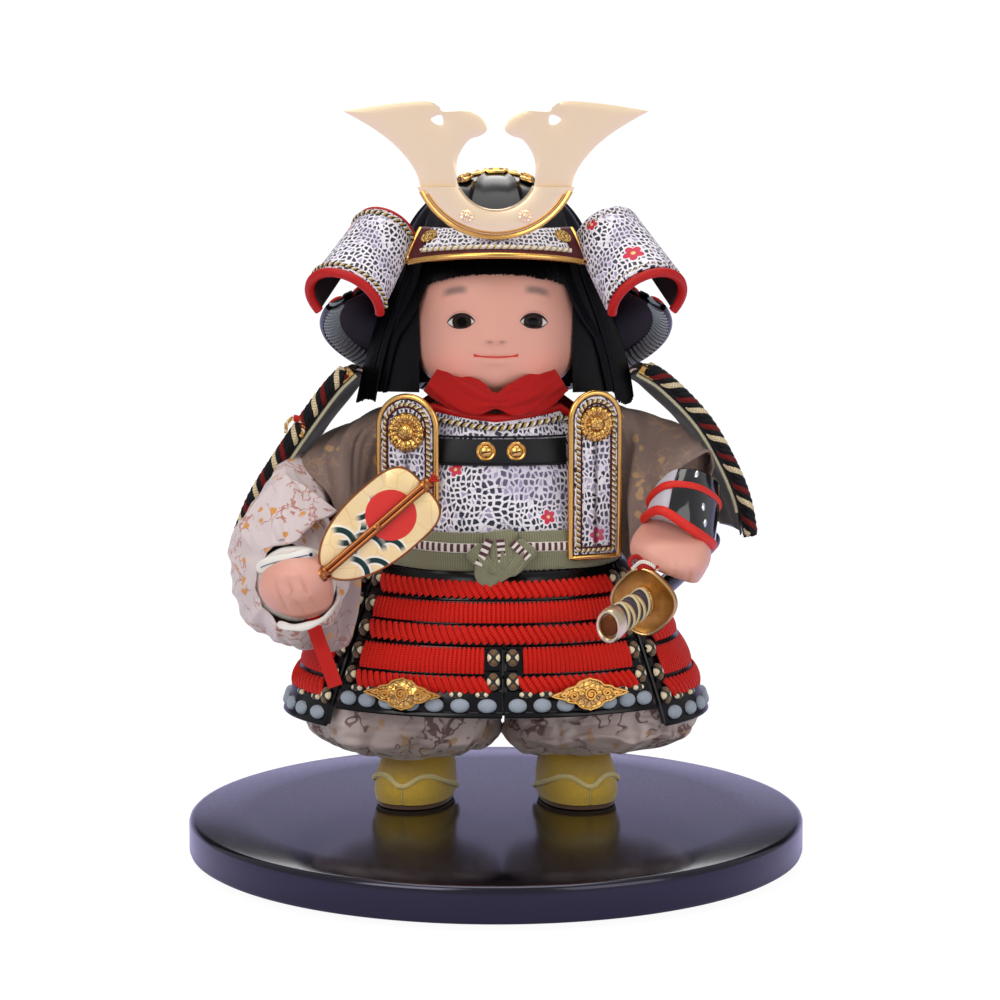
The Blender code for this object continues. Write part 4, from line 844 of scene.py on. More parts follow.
def build_helmet_bowl():
    """Ribbed bowl, the gilt ring at its crown, and two gilt scroll leaves at the front."""
    turn = np.linspace(0, TAU, 240, endpoint=False)[None, :]
    rise = np.radians(np.linspace(0, 90, 30))[:, None]
    bowl = surface("bowl_shell", bowl_point(turn, rise), lacquer(), closed_columns=True)
    wall = bowl.modifiers.new("wall", "SOLIDIFY")
    wall.thickness = 0.0016
    wall.offset = -1
    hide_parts("helmet_bowl")
    around = np.linspace(0, TAU, 97)
    gold = plain_gilt()
    ring = bowl_point(around, math.radians(68), 0.0012)
    tubes(
        "crown_band", ring[None, :-1], 0.0016, gold, ring[:-1] - from_helmet([0, 0, 0.02]), 8, closed=True,
        flat=0.7
    )
    inner = bowl_point(around, math.radians(76), 0.0014)
    petals = tubes(
        "crown_petals", inner[None, :-1], 0.0022, gilt(), inner[:-1] - from_helmet([0, 0, 0.02]), 8,
        closed=True, flat=0.6, taper=1 + 0.25 * np.cos(16 * around[:-1])
    )
    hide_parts("helmet_crown_ring")
    top = from_helmet([[0, 0, 0.0525]])
    up = from_helmet([[0, 0, 1.0]]) - from_helmet([[0, 0, 0.0]])
    profile = [
        (0.0105, 0), (0.0105, 0.0010), (0.0085, 0.0022), (0.0060, 0.0030), (0.0056, 0.0048), (0.0044, 0.0052),
        (0.0040, 0.0020)
    ]
    verts, faces = disc_shape(profile, 48)
    copies("crown_socket", verts, faces, frames_at(top, up, (0, 1, 0)), gold)
    for side in (-1, 1):
        name = "left" if side > 0 else "right"
        spots = bowl_point(side * np.radians([33.0]), np.radians([55.0]), 0.0006)
        away = spots - from_helmet([[0, 0, 0.0]])
        place = frames_at(spots, away, (side * -0.35, 0, 1))
        u = np.linspace(0, TAU, 48, endpoint=False)
        reach = 1 + 0.22 * np.cos(2 * u) + 0.10 * np.cos(5 * u)
        rows = []
        for share, high in ((1.0, 0.0), (0.97, 0.0010), (0.75, 0.0016), (0.4, 0.0019), (0.02, 0.0019)):
            rows.append(
                np.stack(
                    [
                        0.0062 * reach * share * np.cos(u), 0.0048 * reach * share * np.sin(u),
                        np.full(48, high)
                    ],
                    axis=-1
                )
            )
        verts = np.concatenate(rows)
        copies(
            f"scroll_leaf_{name}", verts, [quads(5, 48, False, True), np.arange(48)[None, :]], place, gilt()
        )
        curl = scroll(1.4, 0.0040, 0.0008) + np.array([0, 0, 0.0020])
        tubes(f"scroll_curl_{name}", placed(curl, place), 0.0006, gold, away[0], 6)
    low = bowl_point(around, math.radians(3.5), 0.0012)
    tubes("bowl_edge", low[None, :-1], 0.0011, gold, low[:-1] - from_helmet([0, 0, 0.0]), 8, closed=True)


def visor_point(turn, share, out=0.0):
    """A point of the visor: a crescent that leans out from the bowl and arches at its lower edge."""
    wide = 0.047 + (0.056 - 0.047) * share + out
    deep = 0.0425 + (0.061 - 0.0425) * share + out
    lift = 0.001 * np.sin(math.pi * np.clip(share, 0, 1))
    low = 0.2755 - 0.005 * (turn / math.radians(50)) ** 2
    height = 0.286 + (low - 0.286) * share + lift
    return np.stack(np.broadcast_arrays(wide * np.sin(turn), -deep * np.cos(turn), height), axis=-1)


def build_visor():
    """Visor: printed leather on a maroon ground, a gilt bead round it, a braid near the edge and two
    small rosettes."""
    half = math.radians(50)
    turn = np.linspace(-half, half, 80)
    share = np.linspace(0, 1, 14)
    plate = visor_point(turn[None, :], share[:, None])
    maroon = piping_leather("maroon_leather", linear("#4a0d14"))
    base = surface("visor_plate", plate, maroon, thickness=0.0016)
    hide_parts("visor")
    inner_turn = np.linspace(-math.radians(40), math.radians(40), 70)
    inner_share = np.linspace(0.02, 0.74, 10)
    patch = visor_point(inner_turn[None, :], inner_share[:, None], 0.0003)
    surface("visor_leather", patch, printed_leather(), thickness=0.0005)
    normals = surface_normals(visor_point(inner_turn[None, :], np.array([[0.60], [0.86]])))[0]
    low = visor_point(inner_turn, np.full(70, 0.80), 0.0010)
    rope("visor_braid", low, normals, 0.0011, 0.0034, braid_colours()[:2] + (braid_colours()[0],), per_turn=9)
    up = np.linspace(0.0, 0.88, 10)
    side_in = visor_point(np.full(10, -half), up)
    corner = visor_point(np.radians([-49.0, -46.5]), np.array([0.97, 1.0]))
    across = visor_point(np.radians(np.linspace(-43, 43, 60)), np.ones(60))
    rim = np.concatenate([side_in, corner, across, corner[::-1] * (-1, 1, 1), side_in[::-1] * (-1, 1, 1)])
    drop = np.array([0, 0, -0.0012])
    rim = smooth_line(rim + drop, 160)
    bead = tubes("visor_bead", rim[None], 0.0015, plain_gilt(), (0, -0.4, 1), 10)
    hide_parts("visor_rim")
    for side in (-1, 1):
        name = "left" if side > 0 else "right"
        grid = visor_point(
            side * np.radians([[38.5, 39.5], [38.5, 39.5]]), np.array([[0.34, 0.34], [0.46, 0.46]]), 0.0012
        )
        normal = surface_normals(grid)[0, 0] * side
        rosette(f"visor_rosette_{name}", grid[0, 0], normal, (0, 0, 1), 0.0042, 0.0020, gilt(), 8)


def crest_outline():
    """The crescent plate's outline, from its upper left tip round below and back round the hole."""
    reach = math.asin(0.037 / 0.0401)
    turn = np.linspace(-math.pi / 2 - reach, -math.pi / 2 + reach, 72)
    outer = np.stack([0.0401 * np.cos(turn), 0.3215 + 0.0401 * np.sin(turn)], axis=-1)
    dip = math.asin((outer[0, 1] - 0.314) / 0.0187)
    turn = np.linspace(dip, -math.pi - dip, 72)
    inner = np.stack([0.0187 * np.cos(turn), 0.314 + 0.0187 * np.sin(turn)], axis=-1)
    return outer, inner


def build_crest():
    """Crest: a satin-gilt crescent plate with a beaded lower rim and two flower rivets, and two plain satin
    horns."""
    outer, inner = crest_outline()
    share = np.linspace(0, 1, 14)[:, None, None]
    flat = outer[None] * (1 - share) + inner[::-1][None] * share
    swell = 0.0011 * np.sin(math.pi * share[..., 0]) ** 0.6 * np.ones((1, 72))
    front = np.stack([flat[..., 0], -0.0543 - swell, flat[..., 1]], axis=-1)
    back = np.stack([flat[::-1, :, 0], np.full(flat.shape[:2], -0.0527), flat[::-1, :, 1]], axis=-1)
    uv = np.concatenate([flat, flat[::-1]])
    plate = surface(
        "crest_crescent", np.concatenate([front, back]), satin_gilt(), uv, closed_rows=True, caps=False
    )
    cap_ends(plate)
    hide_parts("crest_plate")
    rim = np.stack(
        [outer[2:-2, 0] * 0.975, np.full(68, -0.0554), 0.3215 + (outer[2:-2, 1] - 0.3215) * 0.975], axis=-1
    )
    tubes("crest_rim", rim[None], 0.0012, plain_gilt(), (0, -1, 0), 8)
    thin = np.stack(
        [outer[4:-4, 0] * 0.92, np.full(64, -0.0553), 0.3215 + (outer[4:-4, 1] - 0.3215) * 0.92], axis=-1
    )
    tubes("crest_line", thin[None], 0.0005, plain_gilt(), (0, -1, 0), 6)
    lip = np.stack([inner[:, 0] * 1.02, np.full(72, -0.0547), 0.314 + (inner[:, 1] - 0.314) * 1.02], axis=-1)
    tubes("crest_lip", lip[None], 0.0006, plain_gilt(True), (0, -1, 0), 6)
    for side in (-1, 1):
        name = "left" if side > 0 else "right"
        rosette(
            f"crest_rivet_{name}", (side * 0.0137, -0.0553, 0.2925), (0, -1, 0), (0, 0, 1), 0.0031, 0.0019,
            plain_gilt(True), 8
        )
    for side, name in ((-1, "right"), (1, "left")):
        build_horn(side, name)


HORN_EDGE = [
    (-71.9, 27.4), (-50.4, 30.7), (-33.1, 32.0), (-27.1, 29.7), (-24.7, 27.2), (-14.0, 27.4), (-7.3, 24.5),
    (-4.3, 20.3), (-4.7, 17.7), (-7.8, 15.7)
]
HORN_FOOT = [
    (-18.2, -5.5), (-17.9, -8.8), (-18.8, -14.0), (-33.0, -14.0), (-35.5, -8.4), (-36.9, -2.8), (-40.6, 3.7),
    (-47.1, 11.1), (-54.6, 17.2), (-63.5, 22.8)
]
HORN_HOLE = [(-30.6, 23.4), (-28.2, 25.2), (-25.6, 25.6), (-24.8, 23.4), (-25.3, 21.2), (-27.8, 21.0)]


def build_horn(side, name):
    """Horn: a flat satin sheet. Straight rows run from its tear-shaped hole out to its edge, in
    millimetres from the crest's round opening; the edge is lobed within and drawn to a point outside."""
    turn = np.radians(np.linspace(130, 188, 5))
    arc = 18.7 * np.stack([np.cos(turn), np.sin(turn)], axis=-1)
    inner = smooth_line([*HORN_EDGE, *arc, *HORN_FOOT[:4]], 160)
    edge = np.concatenate([inner, smooth_line([*HORN_FOOT[3:], HORN_EDGE[0]], 60)[1:-1]])
    hole = smooth_line(HORN_HOLE, 90, closed=True)
    middle = hole.mean(axis=0)
    angle = np.arctan2(hole[:, 1] - middle[1], hole[:, 0] - middle[0])
    order = np.argsort(angle)
    way = np.arctan2(edge[:, 1] - middle[1], edge[:, 0] - middle[0])
    reach = np.interp(way, angle[order], np.linalg.norm(hole - middle, axis=-1)[order], period=TAU)
    start = middle + np.stack([np.cos(way), np.sin(way)], axis=-1) * reach[:, None]
    share = np.array([0, 0.06, 0.3, 0.6, 0.97, 1.0])[:, None]
    flat = start[None] + (edge - start)[None] * share[..., None]
    deep = np.array([0.15, 0, 0, 0, 0, 0.15])[:, None] + 0 * flat[..., 0]
    front = np.stack([side * -flat[..., 0], -52.2 + deep, 314 + flat[..., 1]], axis=-1)
    back = np.stack([side * -flat[..., 0], -51.1 - deep, 314 + flat[..., 1]], axis=-1)
    sheet = np.concatenate([front, back[::-1]]) * MM
    horn = surface(
        f"crest_horn_{name}_sheet", sheet if side > 0 else sheet[::-1], satin_gilt(), closed_rows=True,
        closed_columns=True
    )
    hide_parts(f"crest_horn_{name}")


def cap_ends(obj):
    """Closes the two open ends of a slab whose rows go round."""
    bm = bmesh.new()
    bm.from_mesh(obj.data)
    open_edges = [e for e in bm.edges if e.is_boundary]
    bmesh.ops.holes_fill(bm, edges=open_edges)
    bmesh.ops.recalc_face_normals(bm, faces=bm.faces)
    bm.to_mesh(obj.data)
    bm.free()
    obj.data.set_sharp_from_angle(angle=SHARP_ANGLE)


def turnback_point(side, share, turn, inward=0.0, slide=0.0):
    """A point of a rolled-back wing: part of a cone along its own axis."""
    top, bottom = np.array((-0.0528, -0.024, 0.283)), np.array((-0.0705, -0.056, 0.254))
    along = unit(bottom - top)
    up = unit(np.array((0, 0, 1.0)) - along * along[2])
    out = np.cross(along, up)
    radius = (0.019 * (0.80 + 0.20 * share) - inward)[..., None]
    spin = up * np.cos(turn)[..., None] + out * np.sin(turn)[..., None]
    spot = top + (bottom - top) * share[..., None] + along * slide + spin * radius
    return spot * (-side, 1, 1)


def build_turnbacks():
    """Turnbacks: printed leather with a crimson blossom, a dark lining, a braid inside each edge and red
    piping."""
    half = math.radians(112)
    share, turn = np.meshgrid(np.linspace(0, 1, 20), np.linspace(-half, half, 72), indexing="ij")
    lining = piping_leather("dark_lining", linear("#1a0a0c"))
    for side in (-1, 1):
        name = "left" if side > 0 else "right"
        outer = turnback_point(side, share, turn)
        uv = arc_uv(outer)
        if side < 0:
            blossoms = ((uv[5, 50, 0], uv[5, 50, 1], 0.0050),)
        else:
            blossoms = ((uv[14, 28, 0], uv[14, 28, 1], 0.0050), (uv[2, 18, 0], uv[2, 18, 1], 0.0034))
        wing = surface(
            f"turnback_leather_{name}", outer, printed_leather(blossoms), uv, thickness=side * -0.0012
        )
        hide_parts(f"turnback_{name}")
        surface(
            f"turnback_lining_{name}", turnback_point(side, share, turn, 0.0013), lining,
            thickness=side * -0.0006
        )
        centre = turnback_point(side, share, turn, 0.019)
        away = unit(outer - centre)
        edge = turnback_point(side, np.full(72, 1.0), turn[0], 0.0009, 0.0022)
        pipe = tubes(f"turnback_pipe_{name}", edge[None], 0.0023, piping_leather(), away[-1], 12)
        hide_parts(f"turnback_piping_{name}")
        thin = turnback_point(side, np.full(72, 0.0), turn[0], 0.0006, -0.0004)
        tubes(f"turnback_edge_{name}", thin[None], 0.0010, piping_leather(), away[0], 8)
        for spot, row in ((0.945, "low"), (0.07, "high")):
            line = turnback_point(side, np.full(72, spot), turn[0], -0.0004)
            rope(f"turnback_braid_{row}_{name}", line, away[0], 0.0010, 0.0030, braid_colours(), per_turn=8)


def neck_guard_point(turn, share, below=0.0):
    """A point of the flared neck guard, which is deeper towards the back."""
    wide = 0.048 + (0.084 - 0.048) * share
    deep = 0.050 + (0.084 - 0.050) * share
    away = np.abs((turn + math.pi) % TAU - math.pi)
    drop = 0.022 + 0.009 * (1 - np.cos(np.maximum(away - math.pi / 2, 0)))
    parts = np.broadcast_arrays(wide * np.sin(turn), -deep * np.cos(turn), -0.0003 - drop * share - below)
    return from_helmet(np.stack(parts, axis=-1))


def build_neck_guard():
    """Neck guard: three lacquered lames laced in red outside, a maroon lining, silver loops and a black
    rim at the edge."""
    first, last = math.radians(72), TAU - math.radians(72)
    turn = np.linspace(first, last, 160)
    lames = []
    for row in range(3):
        for part, lift in ((0.02, 0.0), (0.10, -0.0012), (0.34, -0.0012), (0.40, 0.0004), (0.92, 0.0004)):
            lames.append(((row + part) / 3, lift))
    lames.append((1.0, 0.0))
    outer = np.stack([neck_guard_point(turn, s, lift) for s, lift in lames])
    shell = surface("neck_guard_lames", outer, lacquer(), thickness=-0.0008)
    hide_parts("neck_guard")
    lining = np.stack([neck_guard_point(turn, s, 0.0022) for s in np.linspace(0.03, 0.97, 6)])
    surface(
        "neck_guard_lining", lining, piping_leather("dark_maroon_leather", linear("#1c060a")),
        thickness=0.0004
    )
    cord = silk_cord("red_silk", shared().red)
    for row in range(3):
        spots = np.linspace(first + 0.02, last - 0.02, 150 + 24 * row)
        s = (row + np.linspace(0.38, 0.98, 6)) / 3
        lift = -0.0016 * np.sin(np.linspace(0, math.pi, 6)) ** 0.7
        paths = np.stack([neck_guard_point(spots, a, b) for a, b in zip(s, lift)], axis=1)
        away = from_helmet([0, 0, 1.0]) - from_helmet([0, 0, 0])
        tubes(f"neck_guard_lacing_{row + 1}", paths, 0.0011, cord, away, 6)
    rim = neck_guard_point(turn, 1.0, 0.0011)
    tubes("neck_guard_rim", rim[None], 0.0016, lacquer(), (0, 0, 1), 8)
    spots = np.linspace(first + 0.03, last - 0.03, 74)
    silver = silk_cord("silver_silk", shared().silver, 0.55)
    s = np.linspace(0.80, 0.985, 6)
    lift = 0.0024 + 0.0012 * np.sin(np.linspace(0, math.pi, 6)) ** 0.7
    lean = np.linspace(-0.012, 0.012, 6)
    paths = np.stack([neck_guard_point(spots + k, a, b) for k, a, b in zip(lean, s, lift)], axis=1)
    tubes("neck_guard_loops", paths, 0.0018, silver, (0, 0, 1), 6, flat=0.6)
    tubes("neck_guard_loops_outer", paths + (0, 0.0, 0.0030), 0.0016, silver, (0, 0, 1), 6, flat=0.6)


def satin_gilt():
    """Satin-gilt sheet of the horns: brushed and lightly matt, so that it mirrors only broad soft light."""
    base = tuple(shared().pale_gilt)
    p = Paint("satin_gilt", base, 0.40, 0.8, slot="pale_gilt_metal")
    if p.made:
        brush = p.noise(p.where(1.0, (2600, 2600, 2600)), 1.0, 2)
        p.set("Roughness", p.add("MapRange", in0=brush, in1=0.3, in2=0.7, in3=0.38, in4=0.44))
    return p.mat


class DOLL_OT_helmet(bpy.types.Operator):
    """Build the helmet bowl, visor, crest, turnbacks and neck guard"""

    bl_idname = "doll.helmet"
    bl_label = "Helmet"

    def execute(self, context):
        build_helmet_bowl()
        build_visor()
        build_crest()
        build_turnbacks()
        build_neck_guard()
        return {"FINISHED"}


# Head, hair and scarf


def face_relief(points, turn):
    """How far each point of the head stands out: cheeks, nose, lips, chin, eye hollows and ears, each a
    soft mound."""
    x, z = points[..., 0] / MM, points[..., 2] / MM
    front = np.clip(np.cos(turn), 0, 1) ** 0.5

    def mound(at_x, at_z, wide, tall, height):
        return height * np.exp(-(((np.abs(x) - at_x) / wide) ** 2) - ((z - at_z) / tall) ** 2)

    relief = mound(21, 220, 12, 9, 1.9) + mound(0, 234.5, 4.0, 4.0, 1.7) + mound(0, 240, 2.6, 7, 0.6)
    relief += mound(
        3.4, 232.5, 2.4, 2.2, 0.7
    ) + mound(0, 227.0, 7.5, 1.5, 0.8) + mound(0, 222.8, 6.0, 1.7, 0.8)
    relief += mound(0, 212, 9, 5, 1.3) - mound(17.5, 242, 7.5, 4.0, 0.8) - mound(0, 225.0, 9.5, 0.7, 0.55)
    relief += mound(0, 261, 16, 9, 0.8) - mound(11.4, 225.4, 1.2, 1.4, 0.5)
    return relief * front * MM


def face_paint():
    """Painted face: rubbed gesso with a blush on the cheeks, brushed brows, a thin red smile, soft lid
    shadows painted in the eye hollows, and painted shade under the nose and in the nostrils."""
    c = shared()
    p = Paint(
        "painted_face", tuple(c.skin), 0.45, slot="painted_skin", Subsurface_Weight=0.12,
        Subsurface_Scale=0.004
    )
    if not p.made:
        return p.mat
    part = p.add("SeparateXYZ", Vector=p.where(1 / MM)).node
    x, z = part.outputs[0], p.math("SUBTRACT", part.outputs[2], 1000 * DOLL_AT[2])
    side = p.math("ABSOLUTE", x)

    def spot(at_x, at_z, wide, tall, low, high):
        """1 inside an ellipse on both sides of the face and 0 outside, fading between the two shares."""
        a = p.math("POWER", p.math("DIVIDE", p.math("SUBTRACT", side, at_x), wide), 2.0)
        b = p.math("POWER", p.math("DIVIDE", p.math("SUBTRACT", z, at_z), tall), 2.0)
        return p.ramp(p.math("SQRT", p.math("ADD", a, b)), high, low)

    base = tuple(c.skin)
    paint = p.mix(p.noise(p.where(70), 1.0, 2), tuple(0.95 * v for v in base), base)
    blush = spot(22, 221, 17, 12, 0.0, 1.0)
    paint = p.mix(p.math("MULTIPLY", blush, 0.45), paint, linear("#e58c7c"))
    # Painted shade: the eye hollows are darkened a quarter of the way to a dull rose, the soft lid shadows.
    paint = p.mix(p.math("MULTIPLY", spot(17.4, 241.4, 9.5, 6.5, 0.3, 1.0), 0.25), paint, linear("#b77d72"))
    # Painted shade under the nose, and deeper painted shade in the two nostrils below.
    paint = p.mix(p.math("MULTIPLY", spot(3.0, 232.2, 3.2, 1.6, 0.1, 1.0), 0.55), paint, linear("#a06a5e"))
    paint = p.mix(p.math("MULTIPLY", spot(2.9, 232.2, 0.95, 0.6, 0.3, 1.0), 0.4), paint, linear("#5e3028"))
    bow = p.math("MULTIPLY", p.math("POWER", p.math("SUBTRACT", side, 19.5), 2.0), 0.022)
    brow_z = p.math(
        "SUBTRACT", p.math("SUBTRACT", 256.4, bow), p.math("MULTIPLY", p.math("SUBTRACT", side, 19.5), 0.20)
    )
    away = p.math("ABSOLUTE", p.math("SUBTRACT", z, brow_z))
    thick = p.ramp(away, 3.0, 0.3)
    ends = p.math("MULTIPLY", p.ramp(side, 12.0, 17.0), p.ramp(side, 27.5, 21.5))
    hairs = p.noise(p.where(1.0, (2200, 500, 900)), 1.0, 3)
    brow = p.math(
        "MULTIPLY", p.math("MULTIPLY", thick, ends), p.math("ADD", 0.50, p.math("MULTIPLY", hairs, 0.40))
    )
    paint = p.mix(brow, paint, linear("#4e4240"))
    smile = p.math("ADD", 224.8, p.math("MULTIPLY", p.math("POWER", side, 2.0), 0.0085))
    gap = p.math("ABSOLUTE", p.math("SUBTRACT", z, smile))
    tip = p.math("ADD", 0.42, p.math("MULTIPLY", p.ramp(side, 7.5, 10.2), 0.30))
    lips = p.math("MULTIPLY", p.ramp(p.math("DIVIDE", gap, tip), 1.25, 0.75), p.ramp(side, 11.0, 10.4))
    soft = p.math("MULTIPLY", p.ramp(gap, 2.2, 0.4), p.ramp(side, 10.0, 5.0))
    paint = p.mix(p.math("MULTIPLY", soft, 0.30), paint, linear("#d9806e"))
    paint = p.mix(lips, paint, linear("#c22a14"))
    p.set("Base Color", paint)
    p.bump(p.noise(p.where(900), 1.0, 2), 0.01, 0.3)
    return p.mat


def eye_paint():
    """Inset glass eye: a grey-white ball with a near-black iris under a hard clear coat, which gives it
    one sharp light."""
    p = Paint(
        "glass_eye", linear("#17120f"), 0.12, slot="painted_skin", Specular_IOR_Level=0.06, Coat_Weight=0.05,
        Coat_Roughness=0.03
    )
    if p.made:
        part = p.add("SeparateXYZ", Vector=p.weave(1 / MM)).node
        away = p.math(
            "SQRT",
            p.math("ADD", p.math("POWER", part.outputs[0], 2.0), p.math("POWER", part.outputs[1], 2.0))
        )
        paint = p.mix(p.ramp(away, 4.9, 4.3), linear("#cfc9c6"), linear("#1d1512"))
        rim = p.ramp(p.math("ABSOLUTE", p.math("SUBTRACT", away, 3.3)), 1.0, 0.0)
        paint = p.mix(p.math("MULTIPLY", rim, 0.5), paint, linear("#3a2820"))
        p.set("Base Color", p.mix(p.ramp(away, 2.4, 2.0), paint, linear("#040404")))
    return p.mat


def eye_outline(steps):
    """The almond of an eye about its centre, in metres: the upper lid is a high arch and the lower a
    shallow one."""
    share = np.linspace(-1, 1, steps)
    x = 6.6 * share
    upper = 3.7 * (1 - np.abs(share) ** 2.2) ** 0.9 - 0.5 * share
    lower = -2.9 * (1 - np.abs(share) ** 2.6) - 0.5 * share
    return x * MM, upper * MM, lower * MM


def on_face(x, z, out):
    """The point of the face, relief included, that lies at x and z."""
    turn = np.arcsin(np.clip(np.abs(x) / 0.0415, 0, 0.9)) * np.sign(x)
    for _ in range(12):
        point = head_point(turn, z)
        turn = turn + (x - point[..., 0]) / 0.040
    point = head_point(turn, z)
    point[..., 1] -= face_relief(point, turn) + out
    return point


def build_head():
    """Head: a chubby face on smooth levels with modelled cheeks, nose, lips and chin; glass eyes with
    dark lid lines."""
    turn = np.linspace(0, TAU, 200, endpoint=False)[None, :]
    height = (0.204 + (0.292 - 0.204) * (1 - np.cos(np.linspace(0, math.pi, 112))) / 2)[:, None]
    skull = head_point(turn, height)
    outward = unit(skull - np.array([0, 0.0, 0.245]))
    skull = skull + outward * face_relief(skull, turn)[..., None]
    face = surface("face", skull, face_paint(), closed_columns=True, caps=True)
    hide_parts("head")
    x, upper, lower = eye_outline(41)
    glass, lash = eye_paint(), silk_cord("lash", linear("#1a1010"), 0.9)
    share = np.linspace(0, 1, 15)[:, None]
    for side in (-1, 1):
        name = "left" if side > 0 else "right"
        middle = 0.0181 if side > 0 else -0.0167
        up = upper[None, :] * share + lower[None, :] * (1 - share)
        swell = 0.0009 * np.sqrt(np.clip(1 - (x / 0.0070) ** 2, 0, 1))[None, :] * np.sqrt(
            np.clip(1 - (2 * share - 1) ** 4, 0, 1)
        )
        spots = on_face(side * x[None, :] * np.ones_like(share) + middle, 0.2414 + up, -0.0004 + swell)
        uv = np.stack(np.broadcast_arrays(x[None, :] + 0.0004, up), axis=-1)
        surface(f"eye_{name}", spots, glass, uv)
        top = on_face(side * x + middle, 0.2414 + upper, 0.0003)
        taper = 0.25 + 0.75 * (1 - np.abs(x / 0.0066) ** 3)
        tubes(f"lid_{name}", top[None], 0.00062, lash, (0, -1, 0), 6, taper=taper)
        under = on_face(side * x + middle, 0.2414 + lower, 0.0001)
        tubes(f"lower_lid_{name}", under[None], 0.00028, lash, (0, -1, 0), 6, taper=taper)
        fold = on_face(side * x * 0.95 + middle, 0.2414 + upper + 0.0016, -0.00012)
        tubes(f"lid_fold_{name}", fold[None], 0.00035, face_paint(), (0, -1, 0), 6, taper=taper)


def hair_ring(turn, height, out=0.0):
    """A point on the outside of the bobbed hair."""
    levels = np.array(
        [
            (0.2045, 0.0665, 0.0405),
            (0.215, 0.0640, 0.0415),
            (0.228, 0.0605, 0.042),
            (0.245, 0.0545, 0.045),
            (0.260, 0.048, 0.045),
            (0.272, 0.044, 0.043),
        ]
    )
    wide, deep = (np.interp(height, levels[:, 0], levels[:, i]) + out for i in (1, 2))
    x, y = squared(turn, wide, deep, 2.2)
    return np.stack(np.broadcast_arrays(x, y - 0.001, height), axis=-1)


def build_hair():
    """Hair: a smooth bob round the head and strands over it, with blunt uneven ends, and a straight
    fringe."""
    rng = np.random.default_rng(7)
    look = hair_silk()
    edge = math.radians(59)
    turn = np.linspace(edge, TAU - edge, 120)
    heights = np.concatenate([[0.2062], np.linspace(0.207, 0.276, 16)])
    outer = np.stack([hair_ring(turn, z, -0.0008) for z in heights])
    inner = np.stack([head_point(turn, max(z, 0.232), 0.0012) for z in heights])
    inner[..., 2] = heights[:, None]
    shell = surface("hair_shell", np.concatenate([outer, inner[::-1]]), look, closed_rows=True)
    cap_ends(shell)
    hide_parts("hair")
    roots = np.sort(rng.uniform(edge, TAU - edge, 700))
    side_share = np.abs(np.sin(roots)) ** 2
    tips = 0.2052 - 0.0055 * side_share + 0.0014 * rng.random(700) + 0.0012 * np.sin(roots * 9)
    share = np.linspace(0, 1, 9)
    z = 0.279 + (tips[:, None] - 0.279) * share[None, :]
    drift = roots[:, None] + 0.035 * (rng.random(700) - 0.5)[:, None] * share[None, :] ** 2
    level = np.clip(z, 0.1995, 0.272)
    paths = hair_ring(drift, level, 0.0001)
    paths[..., 2] = z
    paths[..., 0] *= 1 - 1.2 * (z - level) / 0.05
    paths += (rng.random((700, 1, 3)) - 0.5) * (0.0010, 0.0010, 0)
    out = unit(paths * (1, 1, 0))
    tubes("hair_strands", paths, 0.00098, look, out, 5, taper=1 - 0.55 * share**3)
    lip = []
    for front in (-1, 1):
        starts = np.linspace(0, 1, 60)
        across = np.radians(50) + np.radians(10) * starts
        z = 0.276 + (0.206 - 0.276) * share[None, :] + (0.0012 * rng.random(60))[:, None]
        blend_in = np.clip((0.262 - z) / 0.03, 0, 1)[..., None]
        near = head_point(front * across[:, None] * np.ones_like(share), z, 0.0016)
        near[..., 2] = z
        far = hair_ring(front * (across[:, None] + 0.08), np.clip(z, 0.2045, 0.272), -0.0012)
        far[..., 2] = z
        lip.append(near * (1 - blend_in) + far * blend_in)
    paths = np.concatenate(lip)
    tubes("side_locks", paths, 0.0010, look, unit(paths * (1, 1, 0)), 5, taper=1 - 0.5 * share**3)
    count = 190
    across = np.linspace(-math.radians(58), math.radians(58), count) + 0.004 * (rng.random(count) - 0.5)
    low = 0.2638 - 0.0085 * across**2 + 0.0009 * rng.random(count)
    share = np.linspace(0, 1, 7)
    z = 0.283 + (low[:, None] - 0.283) * share[None, :]
    swing = across[:, None] * (1 + 0.03 * share[None, :])
    fringe = head_point(swing, z, 0.0022) + (rng.random((count, 1, 3)) - 0.5) * 0.0005
    strands = tubes(
        "fringe_strands", fringe, 0.00075, look, unit(fringe * (1, 1, 0)), 5, taper=1 - 0.5 * share**3
    )
    back = head_point(
        np.linspace(-math.radians(58), math.radians(58), 60)[None, :], np.linspace(0.2645, 0.283, 6)[:, None],
        0.0018
    )
    surface("fringe_base", back, look, thickness=0.0008)
    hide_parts("hair_fringe")


def build_scarf():
    """Scarf: a folded red silk band that dips under the chin, pinched in the middle, with creases that
    run to the pinch."""
    c = shared()
    share = np.linspace(-1, 1, 120)[:, None]
    turn = np.linspace(0, TAU, 56, endpoint=False)[None, :]
    centre = np.stack(
        [0.031 * share[:, 0], -0.0473 + 0.015 * share[:, 0] ** 2, 0.2042 + 0.0095 * share[:, 0] ** 2], axis=-1
    )
    pinch = 1 - 0.50 * np.exp(-((share / 0.16) ** 2)) + 0.12 * np.exp(-(((np.abs(share) - 0.55) / 0.3) ** 2))
    tall = 0.0072 * pinch * (1 - 0.12 * share**6)
    deep = 0.0034 * (1 - 0.25 * np.exp(-((share / 0.10) ** 2)))
    fold = 1 + 0.16 * np.sin(5 * turn + 3.0 * share) * np.clip(np.abs(share) * 3, 0.2, 1)
    crease = 1 + 0.08 * np.sin(9 * turn - 7 * np.abs(share))
    lift = np.sin(turn) * tall * fold * crease
    out = np.cos(turn) * deep * fold * crease
    slope = 2 * 0.0095 * share / 0.031
    tilt = np.arctan(slope)
    points = centre[:, None, :] + np.stack([-np.sin(tilt) * lift, -out, np.cos(tilt) * lift], axis=-1)
    look = plain_cloth("red_crepe", c.piping, 0.5, slot="red_leather")
    band = surface("scarf_band", points, look, closed_columns=True, caps=True)
    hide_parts("scarf")


